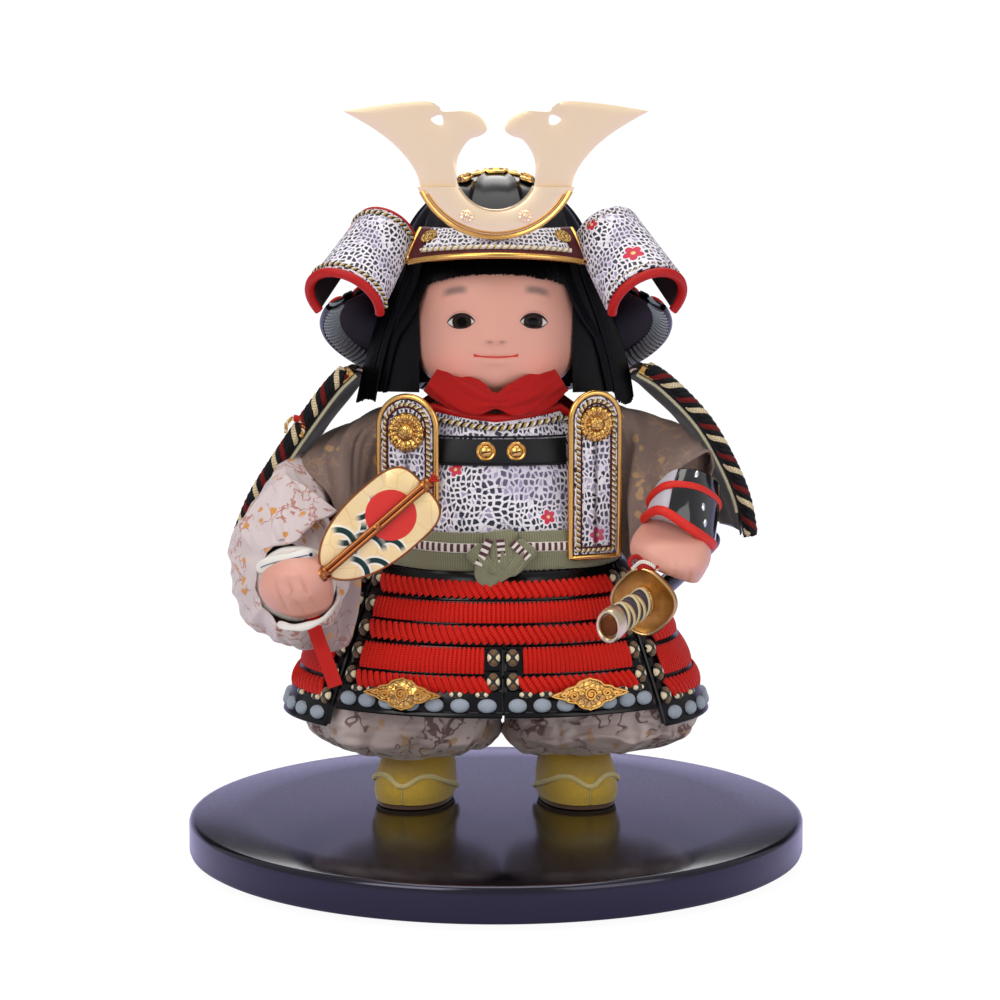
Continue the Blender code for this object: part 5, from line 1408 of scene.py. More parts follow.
class DOLL_OT_head(bpy.types.Operator):
    """Build the face, hair and scarf"""

    bl_idname = "doll.head"
    bl_label = "Head"

    def execute(self, context):
        build_head()
        build_hair()
        build_scarf()
        return {"FINISHED"}


# Arms: sleeves, hands, fan and sword


def net_surface(net, rows, columns):
    """A smooth skin through a net of closed rings, in millimetres: Catmull-Rom curves round each ring
    and along the rings."""
    net = np.asarray(net, float) * MM
    round_each = np.stack([smooth_line(ring, columns, closed=True) for ring in net])
    return np.stack([smooth_line(round_each[:, j], rows) for j in range(columns)], axis=1)


def wrinkled(points, waves):
    """Moves points along their normals. Each wave is (height mm, rings, turns, phase, spread, middle): a
    fold that runs rings times along and turns times round, strongest at its middle share of the
    length."""
    rows, columns = points.shape[:2]
    share = np.linspace(0, 1, rows)[:, None]
    turn = np.linspace(0, TAU, columns, endpoint=False)[None, :]
    wrapped = np.concatenate([points[:, -1:], points, points[:, :1]], axis=1)
    normal = surface_normals(wrapped)[:, 1:-1]
    if np.mean(np.sum(normal * (points - points.mean(axis=(0, 1))), axis=-1)) < 0:
        normal = -normal
    lift = 0
    for height, along, round_turns, phase, spread, middle in waves:
        near = np.exp(-(((share - middle) / spread) ** 2))
        crest = np.sin(along * TAU * share + round_turns * turn + phase)
        lift = lift + height * MM * near * (1 - 2 * np.abs(crest) ** 1.1)
    return points + normal * lift[..., None]


def open_bag(name, rings, look, rows, columns, waves, wall, depth):
    """A sleeve: the skin through its rings, turned in at the mouth to an inner wall that runs back by
    depth rows."""
    skin = wrinkled(net_surface(rings, rows, columns), waves)
    middle = skin.mean(axis=1, keepdims=True)
    inner = (
        skin - (skin - middle) * wall / np.maximum(
            np.linalg.norm(skin - middle, axis=-1, keepdims=True), 1e-6
        )
    )[::-1][:depth]
    lip = skin[-1:] * 0.5 + inner[:1] * 0.5
    lip = lip + unit(skin[-1:] - skin[-3:-2]) * wall * 0.35
    return surface(name, np.concatenate([skin, lip, inner]), look, closed_columns=True, caps=True)


def sprigged(name, base, figure, seconds, scale, share):
    """Woven sleeve silk: small branching sprigs in two thread colours that float over a fine plain weave."""
    p = Paint(name, tuple(base), 0.62, slot="brocade", Sheen_Weight=0.3, Sheen_Roughness=0.4)
    if not p.made:
        return p.mat
    spot = p.where()
    warp = p.add(
        "VectorMath", operation="SCALE", in0=p.noise(spot, 120 * scale, 2, output=1), Scale=0.008 / scale
    )
    bent = p.add("VectorMath", operation="ADD", in0=spot, in1=warp)
    veins = p.noise(bent, 120 * scale, 3)
    stem = p.ramp(p.math("ABSOLUTE", p.math("SUBTRACT", veins, 0.5)), 0.032, 0.014)
    patch = p.noise(spot, 60 * scale, 1)
    sown = p.ramp(patch, 0.43, 0.50)
    flowers = p.add("TexVoronoi", Vector=bent, Scale=150 * scale)
    petal = p.ramp(flowers, 0.34, 0.24)
    pick = p.add("SeparateColor", Color=p.add("TexVoronoi", output=1, Vector=bent, Scale=150 * scale))
    bloom = p.math("MULTIPLY", petal, p.ramp(pick, 0.62, 0.66))
    clouds = p.noise(spot, 35, 2)
    paint = p.mix(clouds, tuple(0.82 * v for v in base), tuple(min(1, 1.10 * v) for v in base))
    paint = p.mix(p.math("MULTIPLY", p.math("MULTIPLY", stem, sown), share), paint, linear(figure))
    paint = p.mix(p.math("MULTIPLY", bloom, share + 0.2), paint, linear(seconds))
    threads = p.add("Mapping", Vector=spot, Scale=(1 / (0.5 * MM),) * 3)
    part = p.add("SeparateXYZ", Vector=threads).node
    over = p.math("SINE", p.math("MULTIPLY", p.math("ADD", part.outputs[0], part.outputs[2]), TAU))
    under = p.math("SINE", p.math("MULTIPLY", p.math("SUBTRACT", part.outputs[0], part.outputs[2]), TAU))
    weave = p.math("MULTIPLY_ADD", p.math("MULTIPLY", over, under), 0.5, 0.5)
    p.set("Base Color", p.mix(p.math("MULTIPLY", weave, 0.16), paint, tuple(0.4 * v for v in base)))
    p.bump(p.math("ADD", weave, p.math("MULTIPLY", bloom, 0.6)), 0.06, 0.6)
    return p.mat


def sleeve_silks():
    light = sprigged("light_silk", linear("#d3c3c3"), "#a5563a", "#cf8a34", 1.0, 0.80)
    # The upper arms' silk is a darker taupe than the sleeve; part of that darkness is painted shade under the
    # shoulder guards.
    dark = sprigged("dark_silk", linear("#806a61"), "#a5805f", "#c39a62", 0.8, 0.45)
    return light, dark


RIGHT_UPPER_ARM = (
    (
        (-47, -12, 196), (-44, 2, 199), (-46, 15, 193), (-50, 19, 184), (-53, 12, 166), (-53, -4, 160),
        (-53, -16, 164), (-49, -18, 188)
    ),
    (
        (-64, -19, 190), (-61, 0, 194), (-62, 17, 188), (-66, 21, 176), (-67, 12, 152), (-66, -10, 145),
        (-64, -24, 150), (-65, -24, 179)
    ),
    (
        (-80, -26, 180), (-79, -8, 186), (-81, 10, 180), (-84, 14, 168), (-82, 2, 147), (-75, -16, 140),
        (-69, -31, 143), (-71, -34, 162)
    ),
    (
        (-92, -34, 171), (-94, -20, 176), (-96, -4, 170), (-97, 2, 160), (-92, -6, 149), (-82, -24, 143),
        (-76, -38, 147), (-81, -41, 160)
    ),
)
RIGHT_SLEEVE = (
    (
        (-88, -26, 173), (-92, -12, 176), (-98, 0, 170), (-101, 4, 160), (-98, -2, 150), (-90, -14, 146),
        (-82, -26, 149), (-81, -33, 161)
    ),
    (
        (-97, -38, 172), (-104, -22, 172), (-112, -8, 160), (-113, -2, 146), (-108, -6, 132), (-96, -18, 124),
        (-82, -34, 130), (-82, -43, 152)
    ),
    (
        (-98, -52, 169), (-112, -38, 161), (-124, -27, 143), (-124, -22, 122), (-113, -22, 104),
        (-96, -30, 97), (-78, -42, 108), (-77, -54, 142)
    ),
    (
        (-98, -63, 166), (-114, -52, 154), (-127.5, -44, 134), (-127, -42, 112), (-113, -42, 92),
        (-94, -44, 85), (-72, -50, 97), (-71, -60, 132)
    ),
    (
        (-98, -70, 158), (-114, -64, 147), (-126, -58, 130), (-124, -56, 110), (-111, -54, 92),
        (-94, -54, 86), (-74, -57, 99), (-72, -64, 130)
    ),
    (
        (-98, -76, 150), (-112, -73, 141), (-120, -70, 128), (-119, -69, 111), (-108, -68, 97),
        (-94, -68, 92), (-76, -68, 102), (-73, -68, 127)
    ),
    (
        (-98, -79, 143), (-108, -78, 137), (-113.5, -77, 126), (-113, -77, 113), (-105, -76, 103),
        (-94, -76, 99), (-79, -74, 104), (-75, -72, 124)
    ),
)
RIGHT_FLAP = (
    (
        (-122, -60, 147), (-112, -58, 160), (-103, -54, 167.5), (-94, -58, 167), (-84, -64, 161),
        (-75, -68, 154.5)
    ),
    (
        (-121, -66, 142), (-111, -67, 153), (-102, -66, 160), (-94, -69, 159), (-86, -72, 155),
        (-78, -73, 152.5)
    ),
    (
        (-117, -70, 137), (-108, -74, 145), (-101, -76, 149), (-95, -78, 149), (-89, -78, 149.5),
        (-83, -75, 151)
    ),
    ((-113, -72, 133), (-108, -78, 138), (-102, -80, 140), (-96, -81, 141), (-91, -80, 144), (-87, -76, 149)),
)
LEFT_UPPER_ARM = (
    (
        (47, -12, 197), (44, 2, 199), (46, 15, 193), (50, 19, 184), (54, 12, 150), (54, -4, 142),
        (54, -18, 146), (49, -18, 186)
    ),
    (
        (64, -14, 196), (62, 2, 196), (64, 14, 186), (67, 16, 170), (66, 4, 138), (64, -14, 129),
        (62, -29, 131), (64, -24, 176)
    ),
    (
        (82, -18, 190), (83, -6, 188), (85, 2, 178), (86, 0, 164), (80, -10, 138), (70, -28, 126),
        (64, -40, 127), (67, -37, 165)
    ),
    (
        (97, -27, 182), (101, -20, 178), (102, -18, 170), (99, -20, 160), (89, -28, 148), (76, -40, 136),
        (68, -47, 136), (81, -44, 173)
    ),
    (
        (101, -34, 179), (105, -31, 174), (105, -30, 168), (102, -32, 160), (94, -38, 153), (84, -46, 150),
        (77, -52, 155), (86, -48, 171)
    ),
)


def build_sleeves():
    """Sleeves: upper arms in a darker silk, partly painted shade under the shoulder guards, with soft folds,
    and on the fan side a wide light sleeve whose flap hangs over the cuff."""
    light, dark = sleeve_silks()
    folds = ((1.3, 0.9, 2, 0.4, 0.35, 0.5), (0.8, 1.6, 3, 2.1, 0.3, 0.75), (0.5, 2.5, 5, 1.2, 0.4, 0.4))
    upper = open_bag("upper_arm_right", RIGHT_UPPER_ARM, dark, 60, 88, folds, 1.2 * MM, 12)
    folds = ((1.5, 0.8, 2, 1.0, 0.4, 0.6), (0.9, 0.4, 5, 0.0, 0.35, 0.8), (0.5, 1.5, 9, 2.0, 0.4, 0.55))
    sleeve = open_bag("sleeve_right_silk", RIGHT_SLEEVE, light, 80, 130, folds, 1.3 * MM, 34)
    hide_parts("sleeve_right")
    net = np.asarray(RIGHT_FLAP, float) * MM
    across = np.stack([smooth_line(row, 60) for row in net])
    flap = np.stack([smooth_line(across[:, j], 36) for j in range(60)], axis=1)
    s, t = np.linspace(0, 1, 36)[:, None], np.linspace(0, 1, 60)[None, :]
    crease = 1.0 * MM * np.sin(
        TAU * (1.6 * t + 0.5 * s)
    ) * s * (1 - s) * 4 + 0.4 * MM * np.sin(TAU * (5 * t - s)) * s
    flap = flap + surface_normals(flap) * crease[..., None]
    sheet = surface("sleeve_right_flap", flap, light, thickness=1.4 * MM)
    folds = ((1.6, 0.9, 2, 2.4, 0.4, 0.45), (0.9, 1.8, 3, 0.5, 0.3, 0.7), (0.6, 2.6, 4, 1.9, 0.4, 0.35))
    left = open_bag("sleeve_left_silk", LEFT_UPPER_ARM, dark, 70, 96, folds, 1.2 * MM, 14)
    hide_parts("sleeve_left")


def build_cuffs():
    """Cuffs: a white cotton band folded flat over the wrist, stitched in blue, and the inner sleeve's
    edge below the hand."""
    c = shared()
    white = plain_cloth("white_cuff", c.cotton, 0.35)
    band = np.array(
        [(-113, -76, 127.5), (-106, -84, 131.6), (-97, -88, 134.4), (-89, -88, 136.2), (-84.3, -84, 136.4)]
    )
    line = smooth_line(band * MM, 60)
    turn = np.linspace(0, TAU, 28, endpoint=False)[None, :]
    share = np.linspace(0, 1, 60)[:, None]
    ends = np.clip(1 - np.abs(2 * share - 1) ** 6, 0, 1) ** 0.4
    tall = (2.9 + 0.25 * np.sin(9 * share)) * MM * ends
    deep = 2.1 * MM * ends
    lift, out = np.sin(turn) * tall, np.cos(turn) * deep
    lift = lift * (1 - 0.18 * (np.cos(turn) > 0.86))
    tilt = 0.28
    ring = line[:, None, :] + np.stack([-lift * tilt, -out, lift], axis=-1)
    cuff = surface("cuff_band", ring, white, closed_columns=True, caps=True)
    seam = line[6:-5] + np.array([0, -2.15 * MM, 0.2 * MM])
    stitch = silk_cord("blue_stitch", linear("#5b6c93"), 0.5)
    tubes("cuff_seam", seam[None], 0.28 * MM, stitch, (0, -1, 0), 5)
    copies(
        "cuff_knot", *disc_shape(((1.0, 0), (1.0, 0.6), (0.5, 1.0), (0.1, 1.1)), 10),
        frames_at(
            seam[-3:-2], np.array([(0, -1, 0)]), (0, 0, 1)
        ) * np.array([[0.9 * MM] * 3 + [1]] * 3 + [[1] * 4]),
        silk_cord("navy_stitch", linear("#15183a"), 0.6)
    )
    wrist = net_surface(
        [
            [
                (x + (-97 - x) * k, y, z + (128 - z) * k) for x, y,
                z in (
                    (-114, -73 - 4 * n, 126), (-102, -78 - 4 * n, 138), (-86, -78 - 4 * n, 138),
                    (-76, -73 - 4 * n, 128), (-77, -70 - 4 * n, 112), (-93, -69 - 4 * n, 101),
                    (-111, -71 - 4 * n, 109)
                )
            ]
            for n, k in ((-5, 0.3), (-1, 0.05), (0.5, 0.05), (1.0, 0.3))
        ],
        24,
        60,
    )
    inside = surface("inner_wrist", wrist, white, closed_columns=True, caps=True)
    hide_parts("cuff_right")
    hem = np.array(
        [
            (-103, -80, 102.5), (-96, -86, 101.8), (-89, -88, 102.6), (-82, -87, 105.2), (-77, -83, 109.3),
            (-73.5, -76, 114)
        ]
    )
    line = smooth_line(hem * MM, 60)
    ends = np.clip(1 - np.abs(2 * share - 1) ** 8, 0, 1) ** 0.4
    wave = 1 + 0.16 * np.sin(17 * share + 1)
    lift, out = np.sin(turn) * 1.9 * MM * ends * wave, np.cos(turn) * 1.5 * MM * ends
    ring = line[:, None, :] + np.stack([lift * 0.2, -out, lift], axis=-1)
    edge = surface("inner_sleeve_edge", ring, white, closed_columns=True, caps=True)


def build_fall():
    """The sleeve's inner fall: a brocade edge that hangs behind the fan in two soft pleats, and the red
    strap below."""
    net = np.array(
        [
            ((-84, -64, 128), (-78, -62, 128), (-71, -60, 127), (-65, -56, 126)),
            ((-84, -62, 118), (-78, -64, 117), (-71, -60, 117), (-64.5, -57, 117)),
            ((-85, -62, 107), (-79, -66, 105), (-73, -62, 104), (-65.5, -60, 105)),
            ((-86, -64, 97), (-80, -68, 93), (-74, -65, 92), (-68, -63, 96)),
            ((-84, -64, 89), (-80, -67, 86.5), (-75, -66, 87), (-71, -64, 90)),
        ],
        float,
    )
    across = np.stack([smooth_line(row * MM, 40) for row in net])
    fall = np.stack([smooth_line(across[:, j], 50) for j in range(40)], axis=1)
    s, t = np.linspace(0, 1, 50)[:, None], np.linspace(0, 1, 40)[None, :]
    fall = fall + np.array([0, -1.0, 0]) * (
        1.3 * MM * np.sin(TAU * (1.1 * t + 0.3 * s)) * (0.3 + s)
    )[..., None]
    pink = sprigged("fall_silk", linear("#a58f90"), "#8a4a3c", "#c98a4a", 1.1, 0.6)
    sheet = surface("sleeve_fall", fall, pink, thickness=1.2 * MM)
    strap = np.array(
        [(-86.5, -71, 104), (-85.2, -75, 98), (-82, -79, 90), (-78.6, -80, 81), (-75.6, -81, 72.6)]
    ) * MM
    line = smooth_line(strap, 60)
    red = plain_cloth("red_ribbon", linear("#c01a14"), 0.4, "red_leather")
    ribbon = tubes("fan_strap", line[None], 3.5 * MM, red, (0, -1, 0), 16, flat=0.16)


RIGHT_HAND = (
    (
        (-99, -72, 137), (-90, -72, 138), (-84, -70, 134), (-82, -66, 125), (-84, -62, 117), (-94, -60, 112),
        (-104, -62, 117), (-106, -68, 128)
    ),
    (
        (-102, -84, 134), (-91, -85, 137), (-81, -82, 133), (-77.5, -76, 122), (-79, -72, 110),
        (-92, -70, 104), (-107, -72, 112), (-110, -78, 125)
    ),
    (
        (-103, -92, 131), (-91, -94, 134), (-80.5, -91, 130), (-76.5, -85, 120), (-79, -80, 109.5),
        (-91, -78, 104.5), (-106, -80, 110), (-111, -86, 121)
    ),
    (
        (-101, -97, 127), (-91, -99, 129), (-83, -96, 125), (-80, -91, 118), (-82, -87, 111), (-91, -85, 107),
        (-103, -87, 111), (-107, -92, 119)
    ),
    (
        (-95, -98.3, 121), (-91, -99.2, 121.5), (-88, -98.1, 120), (-87, -97.2, 118), (-88, -96.1, 116),
        (-91, -96.0, 115), (-95, -96.2, 116), (-97, -97.3, 119)
    ),
)
LEFT_HAND = (
    (
        (97, -46, 152), (91, -40, 156), (84, -44, 156), (78, -52, 152), (77, -62, 146), (82, -69, 143),
        (90, -69, 143), (97, -60, 146)
    ),
    (
        (99, -48, 145), (92, -42, 149), (82, -43, 151), (73, -52, 149), (70, -64, 143), (76, -75, 141),
        (87, -77, 139), (98, -68, 140)
    ),
    (
        (102, -52, 137), (94, -46, 140), (81, -46, 143), (68, -54, 143), (64.5, -66, 139), (71, -78, 138),
        (84, -81, 134), (98, -73, 134)
    ),
    (
        (102, -56, 130), (94, -50, 131), (80, -49, 134), (67, -56, 136), (64, -67, 133), (71, -78, 131),
        (84, -82, 128.5), (97, -75, 128)
    ),
    (
        (99, -60, 124), (92, -55, 124), (80, -54, 127), (71, -58, 130), (68.5, -67, 128.5), (75, -75, 127),
        (85, -77, 124), (95, -71, 122.5)
    ),
    (
        (96.5, -63, 120.5), (92, -60, 120.5), (86, -59, 123), (79, -61, 125.5), (77, -66, 125.5),
        (81, -70, 125), (88, -71, 121.5), (94, -68, 119.8)
    ),
)


def build_hands():
    """Hands: mitten-shaped fists, rounded at the knuckles, with three shallow grooves between the four
    fingers."""
    skin_look = painted_skin()
    points = net_surface(RIGHT_HAND, 52, 88)
    x, z = points[..., 0] / MM, points[..., 2] / MM
    lean = x + 0.42 * (z - 120)
    facing = np.clip((-points[..., 1] / MM - 80) / 12, 0, 1)
    groove = sum(
        np.exp(-(((lean - at) / 0.85) ** 2)) * np.clip((z - 106) / 5, 0, 1) * np.clip((129 - z) / 5, 0, 1)
        for at in (-101.0, -94.0, -87.5)
    )
    points = points + np.stack([0 * x, groove * facing * 1.15 * MM, 0 * x], axis=-1)
    hand = surface("hand_right_skin", points, skin_look, closed_columns=True, caps=True)
    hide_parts("hand_right")
    points = net_surface(LEFT_HAND, 52, 88)
    x, y, z = (points[..., i] / MM for i in range(3))
    facing = np.clip((-y - 66) / 8, 0, 1)
    groove = sum(
        np.exp(-(((x - 0.10 * (z - 130) - at) / 0.9) ** 2)) * np.clip((136 - z) / 5, 0, 1)
        for at in (76.0, 83.5, 91.0)
    )
    points = points + np.stack([0 * x, groove * facing * 0.7 * MM, 0 * x], axis=-1)
    fist = surface("hand_left_skin", points, skin_look, closed_columns=True, caps=True)
    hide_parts("hand_left")


FAN_PLACE = np.array([-0.0798, -0.0905, 0.1286])
FAN_TURN = math.radians(41)


def fan_outline(steps):
    """The war fan's outline: the lower half is an ellipse and the upper half a squarer oval of the
    fourth power."""
    turn = np.linspace(0, TAU, steps, endpoint=False)
    s, c = np.sin(turn), np.cos(turn)
    up = c >= 0
    power, reach = np.where(up, 4.0, 2.0), np.where(up, 24.6, 36.9)
    along = 36.9 + np.sign(c) * np.abs(c) ** (2 / power) * reach
    return np.stack([np.sign(s) * np.abs(s) ** (2 / power) * 17.8, along], axis=-1) * MM


def on_fan(points):
    """Takes fan points (across, along, out) into the doll's frame: along leans from upright to the
    doll's left."""
    across, along, out = np.moveaxis(np.asarray(points, float), -1, 0)
    s, c = math.sin(FAN_TURN), math.cos(FAN_TURN)
    return np.stack([across * s + along * c, -out, -across * c + along * s], axis=-1) + FAN_PLACE


def fan_paint():
    """The fan's face: gold leaf laid in patches, a vermilion sun, and green reeds outlined in white at
    the hand."""
    p = Paint("fan_leaf", linear("#f4d698"), 0.45, 0.5, slot="pale_gilt_metal")
    if not p.made:
        return p.mat
    flat = p.add("UVMap", uv_map="weave")
    part = p.add("SeparateXYZ", Vector=p.add("Mapping", Vector=flat, Scale=(1000, 1000, 1000))).node
    across, along = part.outputs[0], part.outputs[1]
    leaf = p.add("TexVoronoi", feature="DISTANCE_TO_EDGE", voronoi_dimensions="2D", Vector=flat, Scale=110.0)
    seams = p.ramp(leaf, 0.05, 0.02)
    drift = p.noise(flat, 60, 3)
    paint = p.mix(drift, linear("#efcb88"), linear("#fbe6b4"))
    paint = p.mix(p.math("MULTIPLY", seams, 0.25), paint, linear("#d9a856"))

    def stroke(at_x, at_y, radius, start, end, wide):
        """A share of a circle: 1 on the brush stroke, 0 away from it. Its angle runs from start to end."""
        dx, dy = p.math("SUBTRACT", across, at_x), p.math("SUBTRACT", along, at_y)
        away = p.math("SQRT", p.math("ADD", p.math("POWER", dx, 2.0), p.math("POWER", dy, 2.0)))
        ring = p.math("ABSOLUTE", p.math("SUBTRACT", away, radius))
        angle = p.math("ARCTAN2", dy, dx)
        inside = p.math("MULTIPLY", p.ramp(angle, start, start + 0.5), p.ramp(angle, end, end - 0.5))
        return p.math("DIVIDE", ring, wide), inside

    white_line, green = linear("#f3ead4"), linear("#12352d")
    for values in FAN_STROKES:
        ring, inside = stroke(*values)
        paint = p.mix(p.math("MULTIPLY", p.ramp(ring, 2.0, 1.6), inside), paint, white_line)
        paint = p.mix(p.math("MULTIPLY", p.ramp(ring, 1.1, 0.9), inside), paint, green)
    sun = p.math(
        "SQRT",
        p.math("ADD", p.math("POWER", across, 2.0), p.math("POWER", p.math("SUBTRACT", along, 41.0), 2.0))
    )
    paint = p.mix(p.ramp(sun, 12.15, 11.85), paint, linear("#cf2318"))
    p.set("Base Color", paint)
    p.set("Metallic", p.add("MapRange", in0=p.ramp(sun, 12.15, 11.85), in1=0.0, in2=1.0, in3=0.5, in4=0.0))
    p.bump(p.math("ADD", drift, seams), 0.03, 0.5)
    return p.mat


FAN_STROKES = (
    (-11.0, 22.0, 9.0, -1.2, 1.1, 1.35),
    (-5.0, 12.5, 8.0, 0.2, 2.9, 1.35),
    (6.0, 20.0, 9.0, 0.9, 3.1, 1.35),
    (13.5, 28.0, 7.0, 1.0, 3.1, 1.2),
    (9.0, 8.0, 8.0, 0.3, 2.6, 1.3),
    (-15.0, 33.0, 7.5, -0.9, 1.4, 1.2),
    (17.0, 16.0, 8.0, 1.2, 3.1, 1.2),
)


def build_fan():
    """Fan: a gilded board with a bead round its edge, a split copper-brown rod between two collars, and
    a tuft at its tip."""
    outline = fan_outline(96)
    half = 0.7
    rings = [
        (0.985, -half), (1.0, -half * 0.6), (1.0, half * 0.6), (0.985, half), (0.6, half + 0.02),
        (0.02, half + 0.03)
    ]
    middle = np.array([0, 36.9 * MM])
    rows = []
    for scale, out in [(0.02, -half)] + rings:
        flat = middle + (outline - middle) * scale
        rows.append(np.concatenate([flat, np.full((96, 1), out * MM)], axis=1))
    rows = np.stack(rows)
    board = surface(
        "fan_board", on_fan(rows + np.array([0, 0, -0.7 * MM])), fan_paint(), rows[..., :2],
        closed_columns=True, caps=True
    )
    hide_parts("fan_plate")
    edge = np.concatenate([outline, np.zeros((96, 1))], axis=1)
    brass = plain_metal("copper_rod", linear("#b5713f"), 0.3, "copper_brown")
    tubes(
        "fan_edge", on_fan(edge + np.array([0, 0, -0.7 * MM]))[None], 0.00075, brass, (0, -1, 0), 6,
        closed=True
    )
    rods = []
    for across in (-1.15, 1.15):
        along = np.linspace(1.0, 62.0, 24)
        rods.append(np.stack([np.full(24, across), along, np.full(24, 1.9)], axis=-1) * MM)
    split = tubes("fan_rods", on_fan(np.array(rods)), 0.00115, brass, (0, -1, 0), 10)
    profile = [(2.3, -1.6), (3.3, -1.4), (3.4, -0.4), (2.9, 0.0), (3.4, 0.4), (3.3, 1.4), (2.3, 1.6)]
    pieces = []
    for at in (-0.4, 33.0, 63.2):
        turn = np.linspace(0, TAU, 20, endpoint=False)
        big = 1.0 if at != 33.0 else 0.62
        rows = [
            np.stack(
                [
                    r * big * np.cos(turn), np.full(20, at + 1.5 * a * big),
                    1.9 + r * big * 0.75 * np.sin(turn)
                ],
                axis=-1
            ) for r,
            a in profile
        ]
        pieces.append(np.stack(rows) * MM)
    for k, rows in enumerate(pieces):
        surface(f"fan_collar_{k + 1}", on_fan(rows), brass, closed_columns=True, caps=True)
    handle = np.stack([np.zeros(12), np.linspace(-20, -1, 12), np.full(12, 1.9)], axis=-1) * MM
    tubes("fan_handle", on_fan(handle)[None], 0.0017, brass, (0, -1, 0), 10)
    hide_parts("fan_rod")
    tuft = []
    rng = np.random.default_rng(3)
    for _ in range(26):
        lean, length_mm = rng.uniform(-0.8, 0.8), rng.uniform(3.0, 5.0)
        side, out = rng.uniform(-0.7, 0.7), rng.uniform(-0.5, 0.5)
        share = np.linspace(0, 1, 5)
        tuft.append(
            np.stack(
                [side + lean * share**2 * 3, 64.8 + length_mm * share, 1.9 + out * (1 + 2 * share)], axis=-1
            ) * MM
        )
    tubes(
        "fan_tuft", on_fan(np.array(tuft)), 0.0005, silk_cord("tuft_red", linear("#c8281a"), 0.6), (0, -1, 0),
        5, taper=1 - 0.5 * np.linspace(0, 1, 5)
    )


GUARD_RINGS = (
    (
        (76, -48, 163), (84, -56, 172), (95, -54, 172), (104, -42, 166), (107, -33, 160), (100, -31, 156),
        (88, -36, 156), (78, -42, 158)
    ),
    (
        (74, -52, 158), (81, -64, 166), (94, -62, 165), (104, -49, 158), (106, -38, 152), (99, -35, 149),
        (86, -40, 150), (76, -46, 153)
    ),
    (
        (72, -56, 153), (79, -69, 159), (92, -69, 156), (102, -57, 148), (104, -45, 142), (97, -41, 141),
        (84, -43, 145), (74, -48, 149)
    ),
    (
        (71, -58, 150), (78, -72, 155), (91, -73, 147), (101, -63, 139), (103, -51, 135), (96, -45, 136),
        (83, -45, 142), (73, -50, 146)
    ),
)


def build_forearm():
    """Forearm guard: glossy lacquered splints over a pale cloth, two thick red bands, and small silver
    ovals."""
    c = shared()
    points = net_surface(GUARD_RINGS, 50, 120)
    cloth = surface(
        "forearm_cloth", points, plain_cloth("guard_cloth", linear("#c9c4ce"), 0.4), closed_columns=True,
        caps=True
    )
    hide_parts("forearm_guard")
    middle = points.mean(axis=1, keepdims=True)
    shell = points + unit(points - middle) * 0.9 * MM
    gloss = Paint(
        "splint_lacquer", tuple(c.lacquer), 0.12, slot="black_lacquer", Coat_Weight=0.6, Coat_Roughness=0.06
    )
    if gloss.made:
        gloss.bump(gloss.noise(gloss.where(160), 1.0, 2), 0.03, 0.4)
    start, stop = 19, 84
    across = np.linspace(-1, 1, stop - start)
    crown = 0.5 * MM * (1 - np.abs(across) ** 4)[None, :, None]
    plates = ((1, 16), (19, 48))
    for k, (first, last) in enumerate(plates):
        part = shell[first:last, start:stop]
        outward = unit(part - middle[first:last])
        surface(f"forearm_splint_{k + 1}", part + outward * crown, gloss.mat, thickness=0.9 * MM)
    red = piping_leather("band_leather", linear("#d3261a"))
    for k, (row, radius, lift) in enumerate(((17, 2.0, 0.6), (49, 2.4, 0.2))):
        ring = points[row] + unit(points[row] - middle[row]) * lift * MM
        tubes(
            f"forearm_band_{k + 1}", smooth_line(ring[::4], 120, closed=True)[None], radius * MM, red,
            unit(points[row] - middle[row])[::1], 10, closed=True, flat=0.85
        )
    silver = plain_metal("oval_silver", linear("#f2f2f4"), 0.25, "pale_gilt_metal")
    spots, normals = [], []
    for row, column in ((6, 30), (29, 36), (39, 38), (36, 62)):
        outward = unit(points[row, column] - middle[row, 0])
        spots.append(shell[row, column] + outward * 0.9 * MM)
        normals.append(outward)
    turn = np.linspace(0, TAU, 16, endpoint=False)
    rows = [
        np.stack(
            [0.95 * r * MM * np.cos(turn), 2.0 * r * MM * np.sin(turn), np.full(16, h * MM)], axis=-1
        ) for r,
        h in ((1.0, -0.3), (1.0, 0.1), (0.8, 0.35), (0.1, 0.45))
    ]
    faces = [quads(4, 16, False, True), np.arange(16)[None, :], 48 + np.arange(16)[None, :]]
    copies(
        "forearm_ovals", np.concatenate(rows), faces,
        frames_at(np.array(spots), np.array(normals), (0.35, 0, 0.93)), silver
    )


SWORD_AT = np.array([0.0694, -0.0770, 0.1124])
SWORD_YAW = math.radians(-23.7)
SWORD_PITCH = math.radians(6)


def on_sword(points):
    """Takes sword points (across, back, up) into the doll's frame: pitched about x and then yawed about z."""
    x, y, z = np.moveaxis(np.asarray(points, float), -1, 0)
    c, s = math.cos(SWORD_PITCH), math.sin(SWORD_PITCH)
    y, z = y * c - z * s, y * s + z * c
    c, s = math.cos(SWORD_YAW), math.sin(SWORD_YAW)
    return np.stack([x * c - y * s, x * s + y * c, z], axis=-1) + SWORD_AT


